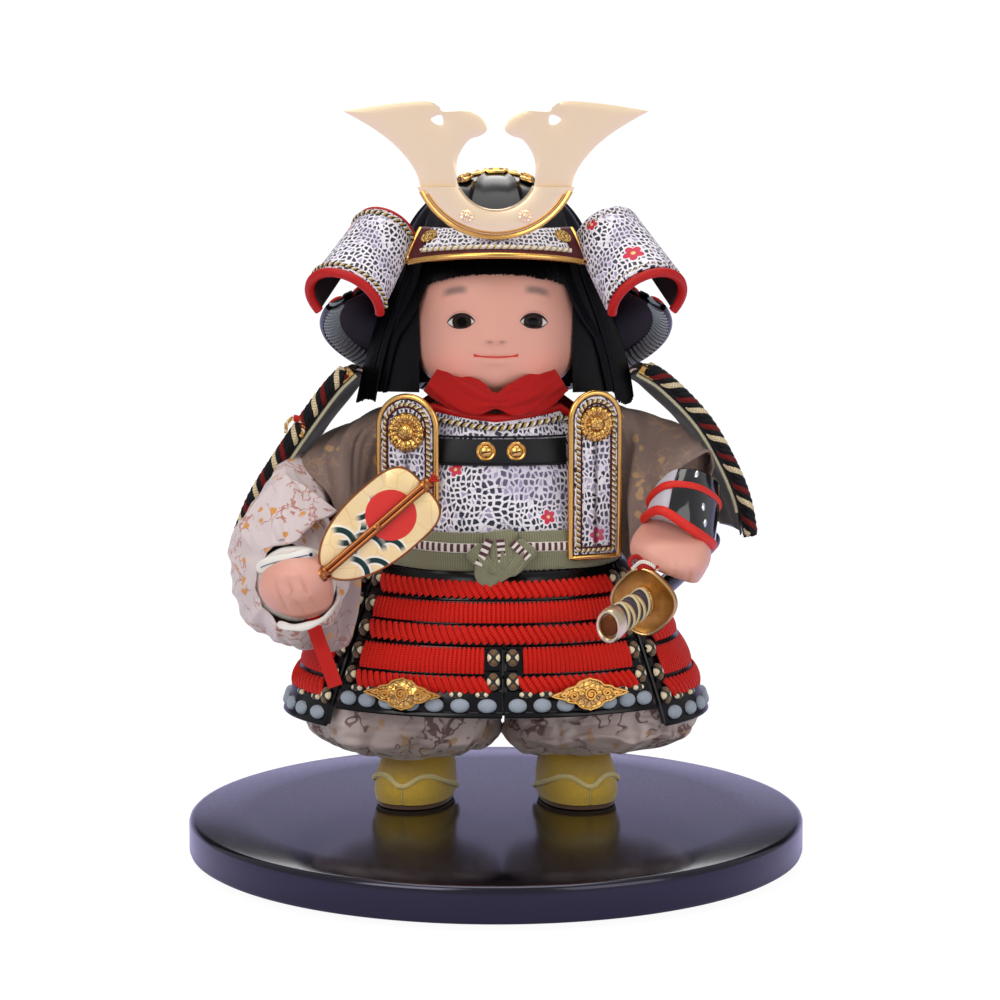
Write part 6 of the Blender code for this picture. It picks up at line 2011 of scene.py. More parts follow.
def build_sword():
    """Sword: a lobed brass guard with a raised rim, a hilt wrapped in crossing bands, a gilt pommel and
    a lacquered scabbard."""
    turn = np.linspace(0, TAU, 120, endpoint=False)
    lobes = 16.5 * (0.955 + 0.045 * np.cos(4 * turn))
    rows = []
    for scale, back in (
        (0.30, 0.2), (0.55, 0.35), (0.86, 0.30), (0.90, -0.25), (0.965, -0.45), (1.0, 0.1), (1.0, 2.0),
        (0.96, 2.4), (0.88, 2.0), (0.30, 2.0)
    ):
        rows.append(
            np.stack(
                [lobes * scale * np.cos(turn), np.full(120, back), lobes * scale * np.sin(turn)], axis=-1
            )
        )
    brass = Paint("guard_brass", tuple(shared().tsuba), 0.36, 0.85, slot="old_brass")
    if brass.made:
        mottle = brass.noise(brass.where(240), 1.0, 4)
        brass.set("Base Color", brass.mix(mottle, linear("#8f5b22"), linear("#d59a4c")))
        brass.bump(brass.noise(brass.where(1100), 1.0, 2), 0.06, 0.6)
    guard = surface("guard_plate", on_sword(np.stack(rows) * MM), brass.mat, closed_columns=True, caps=True)
    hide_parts("sword_guard")
    pale = plain_metal("guard_rim_brass", linear("#e3bd80"), 0.3)
    rim = np.stack(
        [lobes * 0.965 * np.cos(turn), np.full(120, -0.3), lobes * 0.965 * np.sin(turn)], axis=-1
    ) * MM
    tubes("guard_rim", on_sword(rim)[None], 0.0008, pale, on_sword(rim) - SWORD_AT, 8, closed=True)
    collar = [
        np.stack([5.8 * r * np.cos(turn), np.full(120, -b), 7.6 * r * np.sin(turn)], axis=-1) for r,
        b in ((1.0, 0.0), (1.0, 2.4), (0.93, 2.9), (0.80, 2.9))
    ]
    surface("hilt_collar", on_sword(np.stack(collar) * MM), pale, closed_columns=True, caps=True)
    round_part = np.linspace(0, TAU, 48, endpoint=False)
    run = np.linspace(2.5, 36.5, 60)
    dent = 1 + 0.05 * np.cos(TAU * run / 6.8)[:, None] * np.cos(2 * round_part)[None, :]
    grip = np.stack(
        [5.0 * dent * np.cos(round_part), -run[:, None] + 0 * dent, 6.75 * dent * np.sin(round_part)], axis=-1
    )
    violet = plain_cloth("hilt_silk", linear("#3a2c38"), 0.5, "hilt_wrap")
    hilt = surface("hilt_grip", on_sword(grip * MM), violet, closed_columns=True, caps=True)
    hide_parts("sword_hilt")
    cream = silk_cord("hilt_band", linear("#d9c9a0"), 0.6)
    gold_band = silk_cord("hilt_gold", linear("#b8924a"), 0.6)
    for k, (phase, way, look) in enumerate(
        ((0.0, 1, cream), (0.0, -1, cream), (1.0, 1, gold_band), (1.0, -1, gold_band))
    ):
        s = np.linspace(0, 1, 160)
        spin = way * TAU * s * 2.5 + phase * 0.55 * way + math.pi / 2
        path = np.stack([5.35 * np.cos(spin), -(3.0 + 33.0 * s), 7.15 * np.sin(spin)], axis=-1) * MM
        outward = np.stack([np.cos(spin), 0 * spin, np.sin(spin)], axis=-1)
        placed_out = on_sword(path + outward * MM) - on_sword(path)
        tubes(f"hilt_band_{k + 1}", on_sword(path)[None], 0.0010, look, placed_out[None], 6, flat=0.5)
    cap = [
        np.stack([6.1 * r * np.cos(turn), np.full(120, -36.3 - b), 8.2 * r * np.sin(turn)], axis=-1) for r,
        b in (
            (0.9, 0.0), (1.0, 0.5), (1.02, 3.0), (1.0, 7.6), (0.93, 8.8), (0.80, 9.0), (0.72, 8.4),
            (0.66, 6.6)
        )
    ]
    pommel = surface(
        "pommel_cap", on_sword(np.stack(cap) * MM),
        plain_metal("pommel_gilt", linear("#f3dfb4"), 0.28, "pale_gilt_metal"), closed_columns=True, caps=True
    )
    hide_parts("sword_pommel")
    hollow = [
        np.stack([6.1 * r * np.cos(turn), np.full(120, -36.3 - b), 8.2 * r * np.sin(turn)], axis=-1) for r,
        b in ((0.62, 6.2), (0.64, 6.9), (0.55, 7.3), (0.05, 7.5))
    ]
    surface(
        "pommel_hollow", on_sword(np.stack(hollow) * MM),
        plain_metal("pommel_copper", linear("#7a4626"), 0.4), closed_columns=True, caps=True
    )
    run = np.linspace(0, 1, 60)
    taper = (1 - 0.25 * run) * np.clip((1.02 - run) / 0.04, 0.3, 1)
    body = np.stack(
        [
            5.8 * 0.72 * taper[:, None] * np.cos(round_part),
            np.broadcast_to((2.5 + 98 * run)[:, None], (60, 48)),
            6.0 * run[:, None] ** 2 + 5.8 * taper[:, None] * np.sin(round_part),
        ],
        axis=-1,
    )
    sheath = surface("scabbard_shell", on_sword(body * MM), lacquer(), closed_columns=True, caps=True)
    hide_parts("sword_scabbard")
    cords = []
    for k, (x, y, z, turn_by) in enumerate(((66, -76, 131, 0.0), (70, -78, 130, 1.2), (74, -78, 129.5, 2.1))):
        s = np.linspace(0, TAU, 40)
        cords.append(
            np.stack(
                [x + 3.2 * np.sin(s + turn_by), y + 1.5 * np.cos(2 * s), z + 2.6 * np.cos(s)], axis=-1
            ) * MM
        )
    tubes(
        "hanger_cords", np.array(cords), 0.0011, silk_cord("hanger_red", linear("#b3201c"), 0.6), (0, -1, 0),
        6
    )
    tie = smooth_line(np.array([(64, -77, 128), (68, -79, 131.5), (72, -80, 131), (76, -79, 128)]) * MM, 30)
    tubes("hanger_tie", tie[None], 0.0010, silk_cord("hanger_white", linear("#e6dfd2"), 0.7), (0, -1, 0), 6)


class DOLL_OT_arms(bpy.types.Operator):
    """Build the sleeves, cuffs, hands, fan, forearm guard and sword"""

    bl_idname = "doll.arms"
    bl_label = "Arms"

    def execute(self, context):
        build_sleeves()
        build_cuffs()
        build_fall()
        build_hands()
        build_fan()
        build_forearm()
        build_sword()
        return {"FINISHED"}


# Cuirass, shoulder plates and sash


def cuirass_rim(turn):
    """Height of the cuirass's top edge: a neckline, two shoulders, two armholes and a high back, eased
    between them."""
    turns = np.radians([0, 38, 60, 90, 120, 145, 180])
    heights = [0.194, 0.1985, 0.186, 0.166, 0.186, 0.1985, 0.1985]
    away = np.abs((np.asarray(turn) + math.pi) % TAU - math.pi)
    return np.interp(away, turns, heights)


def build_cuirass():
    """Cuirass: a printed leather wall, a red rolled edge, a braid under the neckline, a black band and
    two gilt rivets."""
    turn = np.linspace(0, TAU, 193)[:-1]
    share = np.linspace(0, 1, 28)[:, None]
    low = 0.1235
    height = low + share * (cuirass_rim(turn)[None, :] - low)
    points = torso_point(turn[None, :], height)
    inner = torso_point(turn[None, :], height, -0.0018)
    u = (turn[None, :] + math.pi) % TAU * 0.056 * np.ones_like(height)
    uv = np.stack([u, height], axis=-1)
    blossoms = ((math.pi * 0.056 - 0.0165, 0.1715, 0.0036), (math.pi * 0.056 + 0.0215, 0.1490, 0.0038))
    wall = surface(
        "cuirass_leather",
        np.concatenate([points, inner[::-1]]),
        printed_leather(blossoms),
        np.concatenate([uv, uv[::-1]]),
        closed_rows=True,
        closed_columns=True,
    )
    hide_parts("cuirass")
    turn = np.linspace(0, TAU, 321)
    rim = torso_point(turn, cuirass_rim(turn), -0.0009)
    cord = tubes(
        "cuirass_cord", rim[None, :-1] + (0, 0, 0.0014), 0.0021, piping_leather(), (0, 0, 1), 10, closed=True
    )
    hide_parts("cuirass_edge_cord")
    near = np.linspace(-math.radians(50), math.radians(50), 90)
    line = torso_point(near, cuirass_rim(near) - 0.0030, 0.0012)
    out = unit(torso_point(near, cuirass_rim(near), 0.01) - torso_point(near, cuirass_rim(near)))
    rope("neckline_braid", line, out, 0.0013, 0.0036, braid_colours())
    x = np.linspace(-0.0335, 0.0335, 60)[None, :]
    z = np.linspace(0.1735, 0.1875, 9)[:, None]
    crown = 0.0010 + 0.0006 * np.sin(math.pi * (z - 0.1735) / 0.014) ** 0.5
    leather = piping_leather("black_leather", linear("#0b0b0d"), "black_leather")
    band = surface("chest_strap", torso_front(x, z, crown), leather, thickness=0.0010)
    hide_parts("chest_band")
    for edge in (0.1740, 0.1870):
        seam = torso_front(x[0], edge, 0.0013)
        tubes(f"strap_edge_{int(edge * 1e4)}", seam[None], 0.0005, leather, (0, -1, 0), 6)
    for side, name in ((-0.0048, "right"), (0.0097, "left")):
        spot = torso_front(np.array(side), 0.1803, 0.0016)
        profile = [
            (0.0046, 0), (0.0046, 0.0006), (0.0040, 0.0011), (0.0034, 0.0009), (0.0028, 0.0019),
            (0.0014, 0.0027), (0.0002, 0.0029)
        ]
        verts, faces = disc_shape(profile, 40)
        copies(
            f"strap_rivet_{name}", verts, faces,
            frames_at(spot[None], np.array([[0.03, -1, 0.12]]), (0, 0, 1)), plain_gilt()
        )
        slot_line = spot + np.array([[-0.0022, -0.0031, -0.0004], [0.0022, -0.0031, 0.0004]])
        tubes(f"rivet_slot_{name}", slot_line[None], 0.00035, leather, (0, -1, 0), 5)


def plate_places(middle, width, low, over_sash):
    """Where a shoulder plate hangs: its place and its lean about the upright, as in the CAD."""
    stand_off = 0.0003 + 0.0013 - 0.0011 + (0.0003 + 0.0028 if over_sash else 0)
    half = width / 2 + 2 * 0.0013
    lean = math.copysign(math.radians(22), middle)
    edge = abs(middle) - half * math.cos(lean)
    contact = 0.1425 if over_sash else low
    depth = torso_front(np.array(edge), contact, stand_off)[1] + half * math.sin(abs(lean))
    return np.array([middle, depth - 0.0022, 0.0]), lean


def arch(width, low, high, steps=40):
    """An upright outline, square below and round above, from the lower right corner round to the lower
    left."""
    half = width / 2
    spring = high - half
    turn = np.linspace(0, math.pi, steps)
    up = np.linspace(low, spring, 16)[:-1]
    x = np.concatenate([np.full(15, half), half * np.cos(turn), np.full(15, -half)])
    z = np.concatenate([up, spring + half * np.sin(turn), up[::-1]])
    return np.stack([x, z], axis=-1)


def build_shoulder_plate(name, middle, width, low, high, over_sash, blossoms):
    """A plate of printed leather in a gilt rim, with a gold braid and a maroon line inside it, and a
    large rosette."""
    place, lean = plate_places(middle, width, low, over_sash)
    c, s = math.cos(lean), math.sin(lean)

    def at(x, depth, z):
        x, depth, z = np.broadcast_arrays(x, depth, z)
        return np.stack([place[0] + x * c - depth * s, place[1] + x * s + depth * c, z], axis=-1)

    outline = arch(width, low, high)
    middle_z = np.clip(outline[:, 1], low, high - width / 2)
    share = np.linspace(0, 1, 7)[:, None]
    x = outline[None, :, 0] * (1 - share)
    z = outline[None, :, 1] * (1 - share) + middle_z[None, :] * share
    front = at(x, -0.0003, z)
    back = at(x[::-1], 0.0022, z[::-1])
    uv = np.stack([x + 0.05, z], axis=-1)
    look = printed_leather(tuple((0.05 + a, b, r) for a, b, r in blossoms))
    leather = surface(name + "_leather", np.concatenate([front, back]), look, np.concatenate([uv, uv[::-1]]))
    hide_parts(name)
    normal = np.array([s, -c, 0.0])
    ring = arch(width + 0.0030, low - 0.0016, high + 0.0016, 60)
    ring = np.concatenate(
        [ring, np.stack([np.linspace(-ring[0, 0], ring[0, 0], 14)[1:-1], np.full(12, low - 0.0016)], axis=-1)]
    )
    rim = tubes(
        name + "_bead", at(ring[:, 0], 0.0008, ring[:, 1])[None], 0.0015, plain_gilt(), normal, 10,
        closed=True
    )
    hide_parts(name + "_rim")
    for inset, part in ((0.0019, "gold"), (0.0033, "maroon")):
        loop = arch(width - 2 * inset, low + inset, high - inset, 60)
        loop = np.concatenate(
            [
                loop,
                np.stack([np.linspace(-loop[0, 0], loop[0, 0], 14)[1:], np.full(13, low + inset)], axis=-1)
            ]
        )
        path = at(loop[:, 0], -0.0007, loop[:, 1])
        if part == "gold":
            threads = (
                braid_colours()[1], braid_colours()[0], silk_cord("brown_thread", linear("#5a3a18"), 0.7)
            )
            rope(name + "_braid", path, normal, 0.0010, 0.0026, threads, per_turn=7)
        else:
            tubes(
                name + "_line", path[None], 0.0005, piping_leather("maroon_leather", linear("#4a0d14")),
                normal, 5
            )
    hub = at(0.0, -0.0004, high - width / 2 - 0.002)
    big = rosette(
        name + "_flower", hub, normal, (0, 0, 1), 0.0094 if width > 0.024 else 0.0086, 0.0036, gilt(), 16
    )
    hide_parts(name + "_rosette")
    radius = 0.0072 if width > 0.024 else 0.0066
    turn = np.linspace(0, TAU, 33)[:-1]
    beads = at(radius * np.cos(turn), -0.0022, high - width / 2 - 0.002 + radius * np.sin(turn))
    verts, faces = disc_shape([(0.00062, 0), (0.00050, 0.00045), (0.0002, 0.0006)], 8)
    copies(
        name + "_beads", verts, faces, frames_at(beads, np.broadcast_to(normal, beads.shape), (0, 0, 1)),
        plain_gilt()
    )


def braid_cloth():
    """Olive sash braid: fine upright ribs over a plain weave, painted light on each rib's crest, flecked
    where the weft crosses, and dark between the ribs as painted highlight and shade.
    """
    base = tuple(shared().olive)
    p = Paint("olive_ribbed_braid", base, 0.8, slot="olive_braid", Sheen_Weight=0.4)
    if p.made:
        part = p.add("SeparateXYZ", Vector=p.weave()).node
        rib = p.math("ABSOLUTE", p.math("SINE", p.math("MULTIPLY", part.outputs[0], math.pi / 0.00115)))
        weft = p.math("ABSOLUTE", p.math("SINE", p.math("MULTIPLY", part.outputs[1], math.pi / 0.0007)))
        high = p.math(
            "MULTIPLY", p.math("POWER", rib, 0.6), p.math("ADD", 0.75, p.math("MULTIPLY", weft, 0.25))
        )
        # Painted highlight and shade: rib crests are lighter than the silk and the hollows between ribs
        # darker.
        p.set("Base Color", p.mix(high, tuple(0.42 * v for v in base), tuple(min(1, 1.12 * v) for v in base)))
        p.bump(high, 0.22, 0.9)
    return p.mat


def ladder_braid():
    """The sash's striped tape: maroon and cream bars across it, between two cream selvedges."""
    p = Paint("ladder_braid", linear("#d8cfc4"), 0.75, slot="olive_braid", Sheen_Weight=0.3)
    if p.made:
        part = p.add("SeparateXYZ", Vector=p.weave()).node
        bars = p.math("SINE", p.math("MULTIPLY", part.outputs[0], TAU / 0.0030))
        dark = p.math(
            "MULTIPLY", p.ramp(bars, -0.15, 0.05), p.ramp(p.math("ABSOLUTE", part.outputs[1]), 0.0021, 0.0018)
        )
        p.set("Base Color", p.mix(dark, linear("#d9d0c6"), linear("#4a1d28")))
        p.bump(p.math("SUBTRACT", 1.0, dark), 0.2, 0.8)
    return p.mat


def build_sash():
    """Sash: a ribbed olive band with a striped tape along it, a wrapped knot at the front and a tail
    that hangs below."""
    turn = np.linspace(0, TAU, 241)[:-1][None, :]
    rise = np.linspace(0, 1, 16)[:, None]
    crown = 0.0012 * np.sin(math.pi * rise) ** 0.45 + 0.0003 * np.sin(
        6 * math.pi * rise
    ) * np.sin(math.pi * rise)
    z = 0.1238 + 0.0185 * rise + 0.0004 * np.sin(5 * turn)
    outer = torso_point(turn, z, 0.0019 + crown)
    inner = torso_point(turn, z, 0.0003)
    u = turn * 0.060 * np.ones_like(rise)
    uv = np.stack([u, z], axis=-1)
    rows = np.concatenate([outer, inner[::-1]])
    band = surface(
        "sash_band", rows, braid_cloth(), np.concatenate([uv, uv[::-1]]), closed_rows=True,
        closed_columns=True
    )
    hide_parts("sash")
    front = np.linspace(-1.35, 1.35, 200)[None, :]
    v = np.linspace(-0.0023, 0.0023, 6)[:, None]
    tape = torso_point(front, 0.1352 + v + 0.0003 * np.sin(7 * front), 0.0035 + 0.0004 * np.cos(v * 600))
    uv = np.stack(np.broadcast_arrays(front * 0.060, v), axis=-1)
    surface("sash_tape", tape, ladder_braid(), uv, thickness=0.0006)
    y = torso_front(np.array(0.0), 0.1330)[1] - 0.0036
    look = braid_cloth()
    for part, x, z, lean, wide, tall in (
        ("knot_wrap", 0.0030, 0.1340, 0.12, 0.0086, 0.0098),
        ("knot_left_lobe", 0.0105, 0.1300, -0.62, 0.0062, 0.0088),
        ("knot_right_lobe", -0.0055, 0.1285, 0.72, 0.0056, 0.0086),
    ):
        a = np.linspace(0, TAU, 49)[:-1][None, :]
        h = np.linspace(-1, 1, 22)[:, None]
        half = wide * (0.80 + 0.25 * h**2 * np.sign(h)) * (1 - 0.35 * np.abs(h) ** 8)
        across = half * np.sign(np.cos(a)) * np.abs(np.cos(a)) ** 0.7
        depth = 0.0034 * np.sin(a) * (1 - 0.35 * h**4) * (1 + 0.10 * np.sin(9 * a))
        up = tall * h
        c, s = math.cos(lean), math.sin(lean)
        spots = np.stack([x + across * c - up * s, y - 0.0012 - depth, z + across * s + up * c], axis=-1)
        uv = np.stack(np.broadcast_arrays(across, up), axis=-1)
        surface(part, spots, look, uv, closed_columns=True, caps=True)
    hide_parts("sash_knot")
    tail = [
        ((0.0060, 0.1275), (0.0005, 0.1215), (-0.0015, 0.1175)),
        ((-0.0045, 0.1270), (-0.0055, 0.1225), (-0.0010, 0.1180))
    ]
    for number, spine in enumerate(tail):
        line = smooth_line(np.array([(x, y - 0.0030 - 0.0006 * number, z) for x, z in spine]), 24)
        along = unit(np.gradient(line, axis=0))
        across = unit(np.cross(along, (0, -1, 0)))
        w = np.linspace(-0.0062, 0.0062, 12)[None, :]
        taper = np.linspace(0.85, 0.25 if number == 0 else 0.6, 24)[:, None]
        spots = line[:, None, :] + across[:, None, :] * (w * taper)[..., None]
        spots[..., 1] -= 0.0008 * np.cos(w / 0.0062 * math.pi / 2)
        uv = np.stack(np.broadcast_arrays(w, line[:, 2:3]), axis=-1)
        surface(f"sash_tail_{number + 1}", spots, look, uv, thickness=0.0012)
    for number, (x0, z0, x1, z1) in enumerate(
        (
            (0.0075, 0.1385, 0.0155, 0.1310), (-0.0030, 0.1400, -0.0085, 0.1275),
            (0.0020, 0.1400, 0.0030, 0.1290)
        )
    ):
        line = np.linspace((x0, y - 0.0052, z0), (x1, y - 0.0046, z1), 20)
        along = unit(line[-1] - line[0])
        across = unit(np.cross(along, (0, -1, 0)))
        w = np.linspace(-0.0019, 0.0019, 6)[None, :]
        spots = line[:, None, :] + across * w[..., None]
        uv = np.stack(np.broadcast_arrays(np.linspace(0, 0.012, 20)[:, None], w), axis=-1)
        surface(f"knot_tape_{number + 1}", spots, ladder_braid(), uv, thickness=0.0005)


class DOLL_OT_body(bpy.types.Operator):
    """Build the cuirass, the shoulder plates and the sash"""

    bl_idname = "doll.body"
    bl_label = "Cuirass and sash"

    def execute(self, context):
        build_cuirass()
        build_shoulder_plate("shoulder_plate_right", -0.0425, 0.0265, 0.152, 0.2045, False, ())
        build_shoulder_plate(
            "shoulder_plate_left", 0.0475, 0.022, 0.131, 0.2065, True, ((0.001, 0.1400, 0.0042),)
        )
        build_sash()
        straw = plain_cloth("straw_core_cloth", linear("#a68a5c"), 0.8, "straw_core")
        paint_nodes(straw, "body_core")
        paint_nodes(painted_skin(), "neck")
        return {"FINISHED"}


# Shoulder guards

SHOULDER_LINES = {
    1: np.array(
        [(0.069, 0.2172), (0.081, 0.2095), (0.098, 0.192), (0.110, 0.172), (0.1175, 0.154), (0.121, 0.136)]
    ),
    -1: np.array(
        [(0.069, 0.2165), (0.078, 0.2075), (0.091, 0.190), (0.104, 0.171), (0.1145, 0.154), (0.1215, 0.137)]
    ),
}
SHOULDER_EDGES = (-0.030, 0.028)
CAP_SHARE = 0.12


def shoulder_point(share, y, out, side):
    """A point of the shoulder guard: a smooth line outward and down, bowed from front to back and flared
    at its front edge."""
    line = smooth_line(SHOULDER_LINES[side], 200)
    at = np.linspace(0, 1, 200)
    share = np.clip(share, 0, 1)
    x, z = np.interp(share, at, line[:, 0]), np.interp(share, at, line[:, 1])
    slope = np.gradient(line, axis=0)
    dx, dz = np.interp(share, at, slope[:, 0]), np.interp(share, at, slope[:, 1])
    size = np.hypot(dx, dz)
    half = (SHOULDER_EDGES[1] - SHOULDER_EDGES[0]) / 2
    off = (y - (SHOULDER_EDGES[0] + SHOULDER_EDGES[1]) / 2) / half
    out = out + 0.003 * (1 - off**2) - 0.0040 * off - 0.003
    return np.stack(np.broadcast_arrays(side * (x - dz / size * out), y, z + dx / size * out), axis=-1)


def guard_places(shares, ys, out, side):
    """Places on the guard's outer face: Z points out and Y up the guard."""
    shares, ys = np.broadcast_arrays(np.asarray(shares, float), np.asarray(ys, float))
    points = shoulder_point(shares, ys, out, side)
    down = shoulder_point(shares + 0.01, ys, out, side) - shoulder_point(shares - 0.01, ys, out, side)
    back = shoulder_point(shares, ys + 0.0005, out, side) - shoulder_point(shares, ys - 0.0005, out, side)
    normal = np.cross(down, back) * side
    normal = np.where(normal[:, :1] * side < 0, -normal, normal)
    places = frames_at(points, normal, (0, 0, 1))
    return places


def build_guard(side):
    """One shoulder guard: lacquered lames, red cords over six rows, mixed knots down both edges, and an
    olive lining."""
    name = "left" if side > 0 else "right"
    first, last = SHOULDER_EDGES
    rows = 6
    pitch = (1 - CAP_SHARE) / rows
    profile = [(CAP_SHARE, 0.0002)]
    for row in range(rows):
        start = CAP_SHARE + row * pitch
        profile += [
            (start + 0.02 * pitch, 0.0006), (start + 0.78 * pitch, 0.0008), (start + 0.84 * pitch, 0.0019),
            (start + 0.97 * pitch, 0.0019), (start + 0.995 * pitch, 0.0004)
        ]
    profile = np.array(profile)
    ys = np.linspace(first, last, 30)[None, :]
    outer = shoulder_point(profile[:, :1], ys, profile[:, 1:], side)
    inner = shoulder_point(profile[::-1, :1], ys, -0.0022, side)
    base = surface(f"guard_{name}_lames", np.concatenate([outer, inner]), lacquer(), closed_rows=True)
    cap_ends(base)
    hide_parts(f"shoulder_guard_{name}")
    s = np.linspace(0, 1, 7)
    for row in range(rows):
        high, low = CAP_SHARE + row * pitch + 0.04 * pitch, CAP_SHARE + (row + 1) * pitch - 0.20 * pitch
        upright = row % 2 == 1
        gap, radius = (0.0021, 0.00115) if upright else (0.0032, 0.00158)
        spots = np.arange(first + 0.0065, last - 0.0055, gap)
        shares = high + (low - high) * s
        ys = spots[:, None] + (0.0 if upright else 0.0036) * (s[None, :] - 0.5)
        out = 0.0007 + 0.0014 * np.sin(math.pi * (0.06 + 0.88 * s)) ** 0.6
        paths = shoulder_point(np.broadcast_to(shares, ys.shape), ys, np.broadcast_to(out, ys.shape), side)
        look = lame_silk() if row < rows - 1 else silk_cord("silver_silk", shared().silver, 0.5)
        tubes(f"guard_{name}_lacing_{row + 1}", paths, radius, look, (side * 0.8, 0, 0.6), 6, flat=0.85)
    black, cream, red = (
        silk_cord(*each)
        for each in (
            ("edge_black", linear("#050507"), 0.7), ("edge_cream", linear("#d9c6a0"), 0.5),
            ("edge_red", linear("#6a0d0a"), 0.6)
        )
    )
    braid = (black, cream, black, red, black)
    shares = np.linspace(0.05, 0.99, 60)
    for end, y in (("front", first + 0.0016), ("back", last - 0.0016)):
        path = shoulder_point(shares, y, 0.0014, side)
        outward = np.broadcast_to(np.array([side * 0.7, 0, 0.7]), path.shape)
        rope(f"guard_{name}_{end}_knots", path, outward, 0.0036, 0.0170, braid, per_turn=10, sides=7)
    olive = plain_cloth("guard_lining", linear("#4a4b3c"), 0.5, "olive_braid")
    shares = np.linspace(0.02, 0.985, 50)[:, None]
    ys = np.linspace(first + 0.0012, last - 0.0012, 24)[None, :]
    fold = 0.0004 * np.sin(TAU * (3 * shares + 40 * ys))
    lining = surface(
        f"guard_{name}_lining", shoulder_point(shares, ys, -0.0028 + fold, side), olive, thickness=0.0006
    )
    cream = silk_cord("lining_piping", linear("#b9b396"), 0.7)
    edge = shoulder_point(np.linspace(0.0, 0.86, 50), first + 0.0004, -0.0036, side)
    tubes(f"guard_{name}_piping", edge[None], 0.00085, cream, (0, -1, 0), 6)
    share = np.array([0.0, 0.0, 0.01, CAP_SHARE - 0.01, CAP_SHARE, CAP_SHARE])
    out = np.array([0.0002, 0.0012, 0.0016, 0.0016, 0.0012, 0.0002])
    ys = np.linspace(first, last, 30)[None, :]
    top = np.concatenate(
        [
            shoulder_point(share[:, None], ys, out[:, None], side),
            shoulder_point(share[::-1, None], ys, -0.0022, side)
        ]
    )
    cap = surface(f"guard_{name}_cap", top, gilt(), closed_rows=True)
    cap_ends(cap)
    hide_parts(f"shoulder_guard_cap_{name}")
    spots = guard_places(np.full(5, CAP_SHARE / 2), np.linspace(first + 0.006, last - 0.006, 5), 0.0015, side)
    verts, faces = disc_shape([(0.0017, 0), (0.0017, 0.0003), (0.0011, 0.0009), (0.0001, 0.0011)], 12)
    copies(f"guard_{name}_rivets", verts, faces, spots, plain_gilt())


def build_rings():
    """Tie loop: a cream and gold cord lies against the right guard's front edge, with a red end."""
    for side, name in ((-1, "right"),):
        turn = np.linspace(-0.35, math.pi * 1.25, 40)
        at = shoulder_point(0.44, SHOULDER_EDGES[0] - 0.001, 0.002, side)
        x = at[0] + side * (0.0010 + 0.0042 * np.cos(turn))
        z = at[2] + 0.0010 + 0.0052 * np.sin(turn)
        path = np.stack([x, np.full(40, at[1]), z], axis=-1)
        rope(
            f"tie_loop_{name}", path, (0, -1, 0), 0.0011, 0.004,
            (silk_cord("loop_cream", linear("#e6d9b8"), 0.7), silk_cord("loop_gold", linear("#c98f3c"), 0.7))
        )
        tip = path[17:24]
        tubes(
            f"tie_tip_{name}", tip[None], 0.0017, silk_cord("tip_red", linear("#b3121a"), 0.7), (0, -1, 0), 8
        )


class DOLL_OT_guards(bpy.types.Operator):
    """Build the shoulder guards with their lacing, lining and caps"""

    bl_idname = "doll.guards"
    bl_label = "Shoulder guards"

    def execute(self, context):
        for side in (-1, 1):
            build_guard(side)
        build_rings()
        return {"FINISHED"}


# Trousers, boots and stand

LEG_LEVELS = np.array(
    [  # share of the height, width, depth, pull to the boot, fold
        (0.00, 0.42, 0.36, 1.0, 0.10),
        (0.03, 0.56, 0.52, 0.8, 0.14),
        (0.08, 0.76, 0.71, 0.55, 0.13),
        (0.18, 0.95, 0.91, 0.2, 0.08),
        (0.33, 1.00, 0.98, 0.0, 0.05),
        (0.60, 0.88, 0.94, 0.0, 0.02),
        (1.00, 0.52, 0.72, 0.0, 0.0),
    ]
)
LEG_HEM_Z, LEG_TOP_Z = 0.0235, 0.094
LEG_HEM_PIN_Z, LEG_WAIST_PIN_Z = 0.0262, 0.070  # the cloth below and above these is held
LEG_PRESSURE, LEG_SWELL = 2.0, 0.10
LEG_CLOTH_FRAMES, LEG_CLOTH_REACH = 16, 0.0045
BOOT_X, BOOT_Y = 0.040, -0.001


def simulate(obj, pinned, pressure, swell, frames, cap):
    """Cloth: the piece swells by its pressure and by cloth that is cut larger than its form, held where
    pinned is true. No point moves further than cap. The result is written to the mesh and the modifier
    removed."""
    scene = bpy.context.scene
    count = len(obj.data.vertices)
    start = np.zeros(count * 3)
    obj.data.vertices.foreach_get("co", start)
    start = start.reshape(-1, 3)
    pins = obj.vertex_groups.new(name="pins")
    pins.add([int(i) for i in np.flatnonzero(pinned(start - DOLL_AT))], 1.0, "REPLACE")
    cloth = obj.modifiers.new("cloth", "CLOTH")
    cloth.settings.quality = 6
    cloth.settings.mass = 0.15
    cloth.settings.vertex_group_mass = "pins"
    cloth.settings.use_pressure = True
    cloth.settings.uniform_pressure_force = pressure
    cloth.settings.shrink_min = -swell
    cloth.settings.bending_stiffness = 0.05
    cloth.settings.effector_weights.gravity = 0
    cloth.point_cache.frame_start = 1
    cloth.point_cache.frame_end = frames
    for frame_number in range(1, frames + 1):
        scene.frame_set(frame_number)
    shaped = obj.evaluated_get(bpy.context.evaluated_depsgraph_get()).to_mesh()
    moved = np.zeros(count * 3)
    shaped.vertices.foreach_get("co", moved)
    shift = moved.reshape(-1, 3) - start
    far = np.linalg.norm(shift, axis=1, keepdims=True)
    shift = shift * np.minimum(1, cap / np.maximum(far, 1e-9))
    obj.modifiers.remove(cloth)
    obj.vertex_groups.remove(pins)
    obj.data.vertices.foreach_set("co", (start + shift).ravel())
    obj.data.update()
    scene.frame_set(1)


def held_cloth(points):
    """The trousers are held at the waist and at the hem."""
    return (points[:, 2] > LEG_WAIST_PIN_Z) | (points[:, 2] < LEG_HEM_PIN_Z)


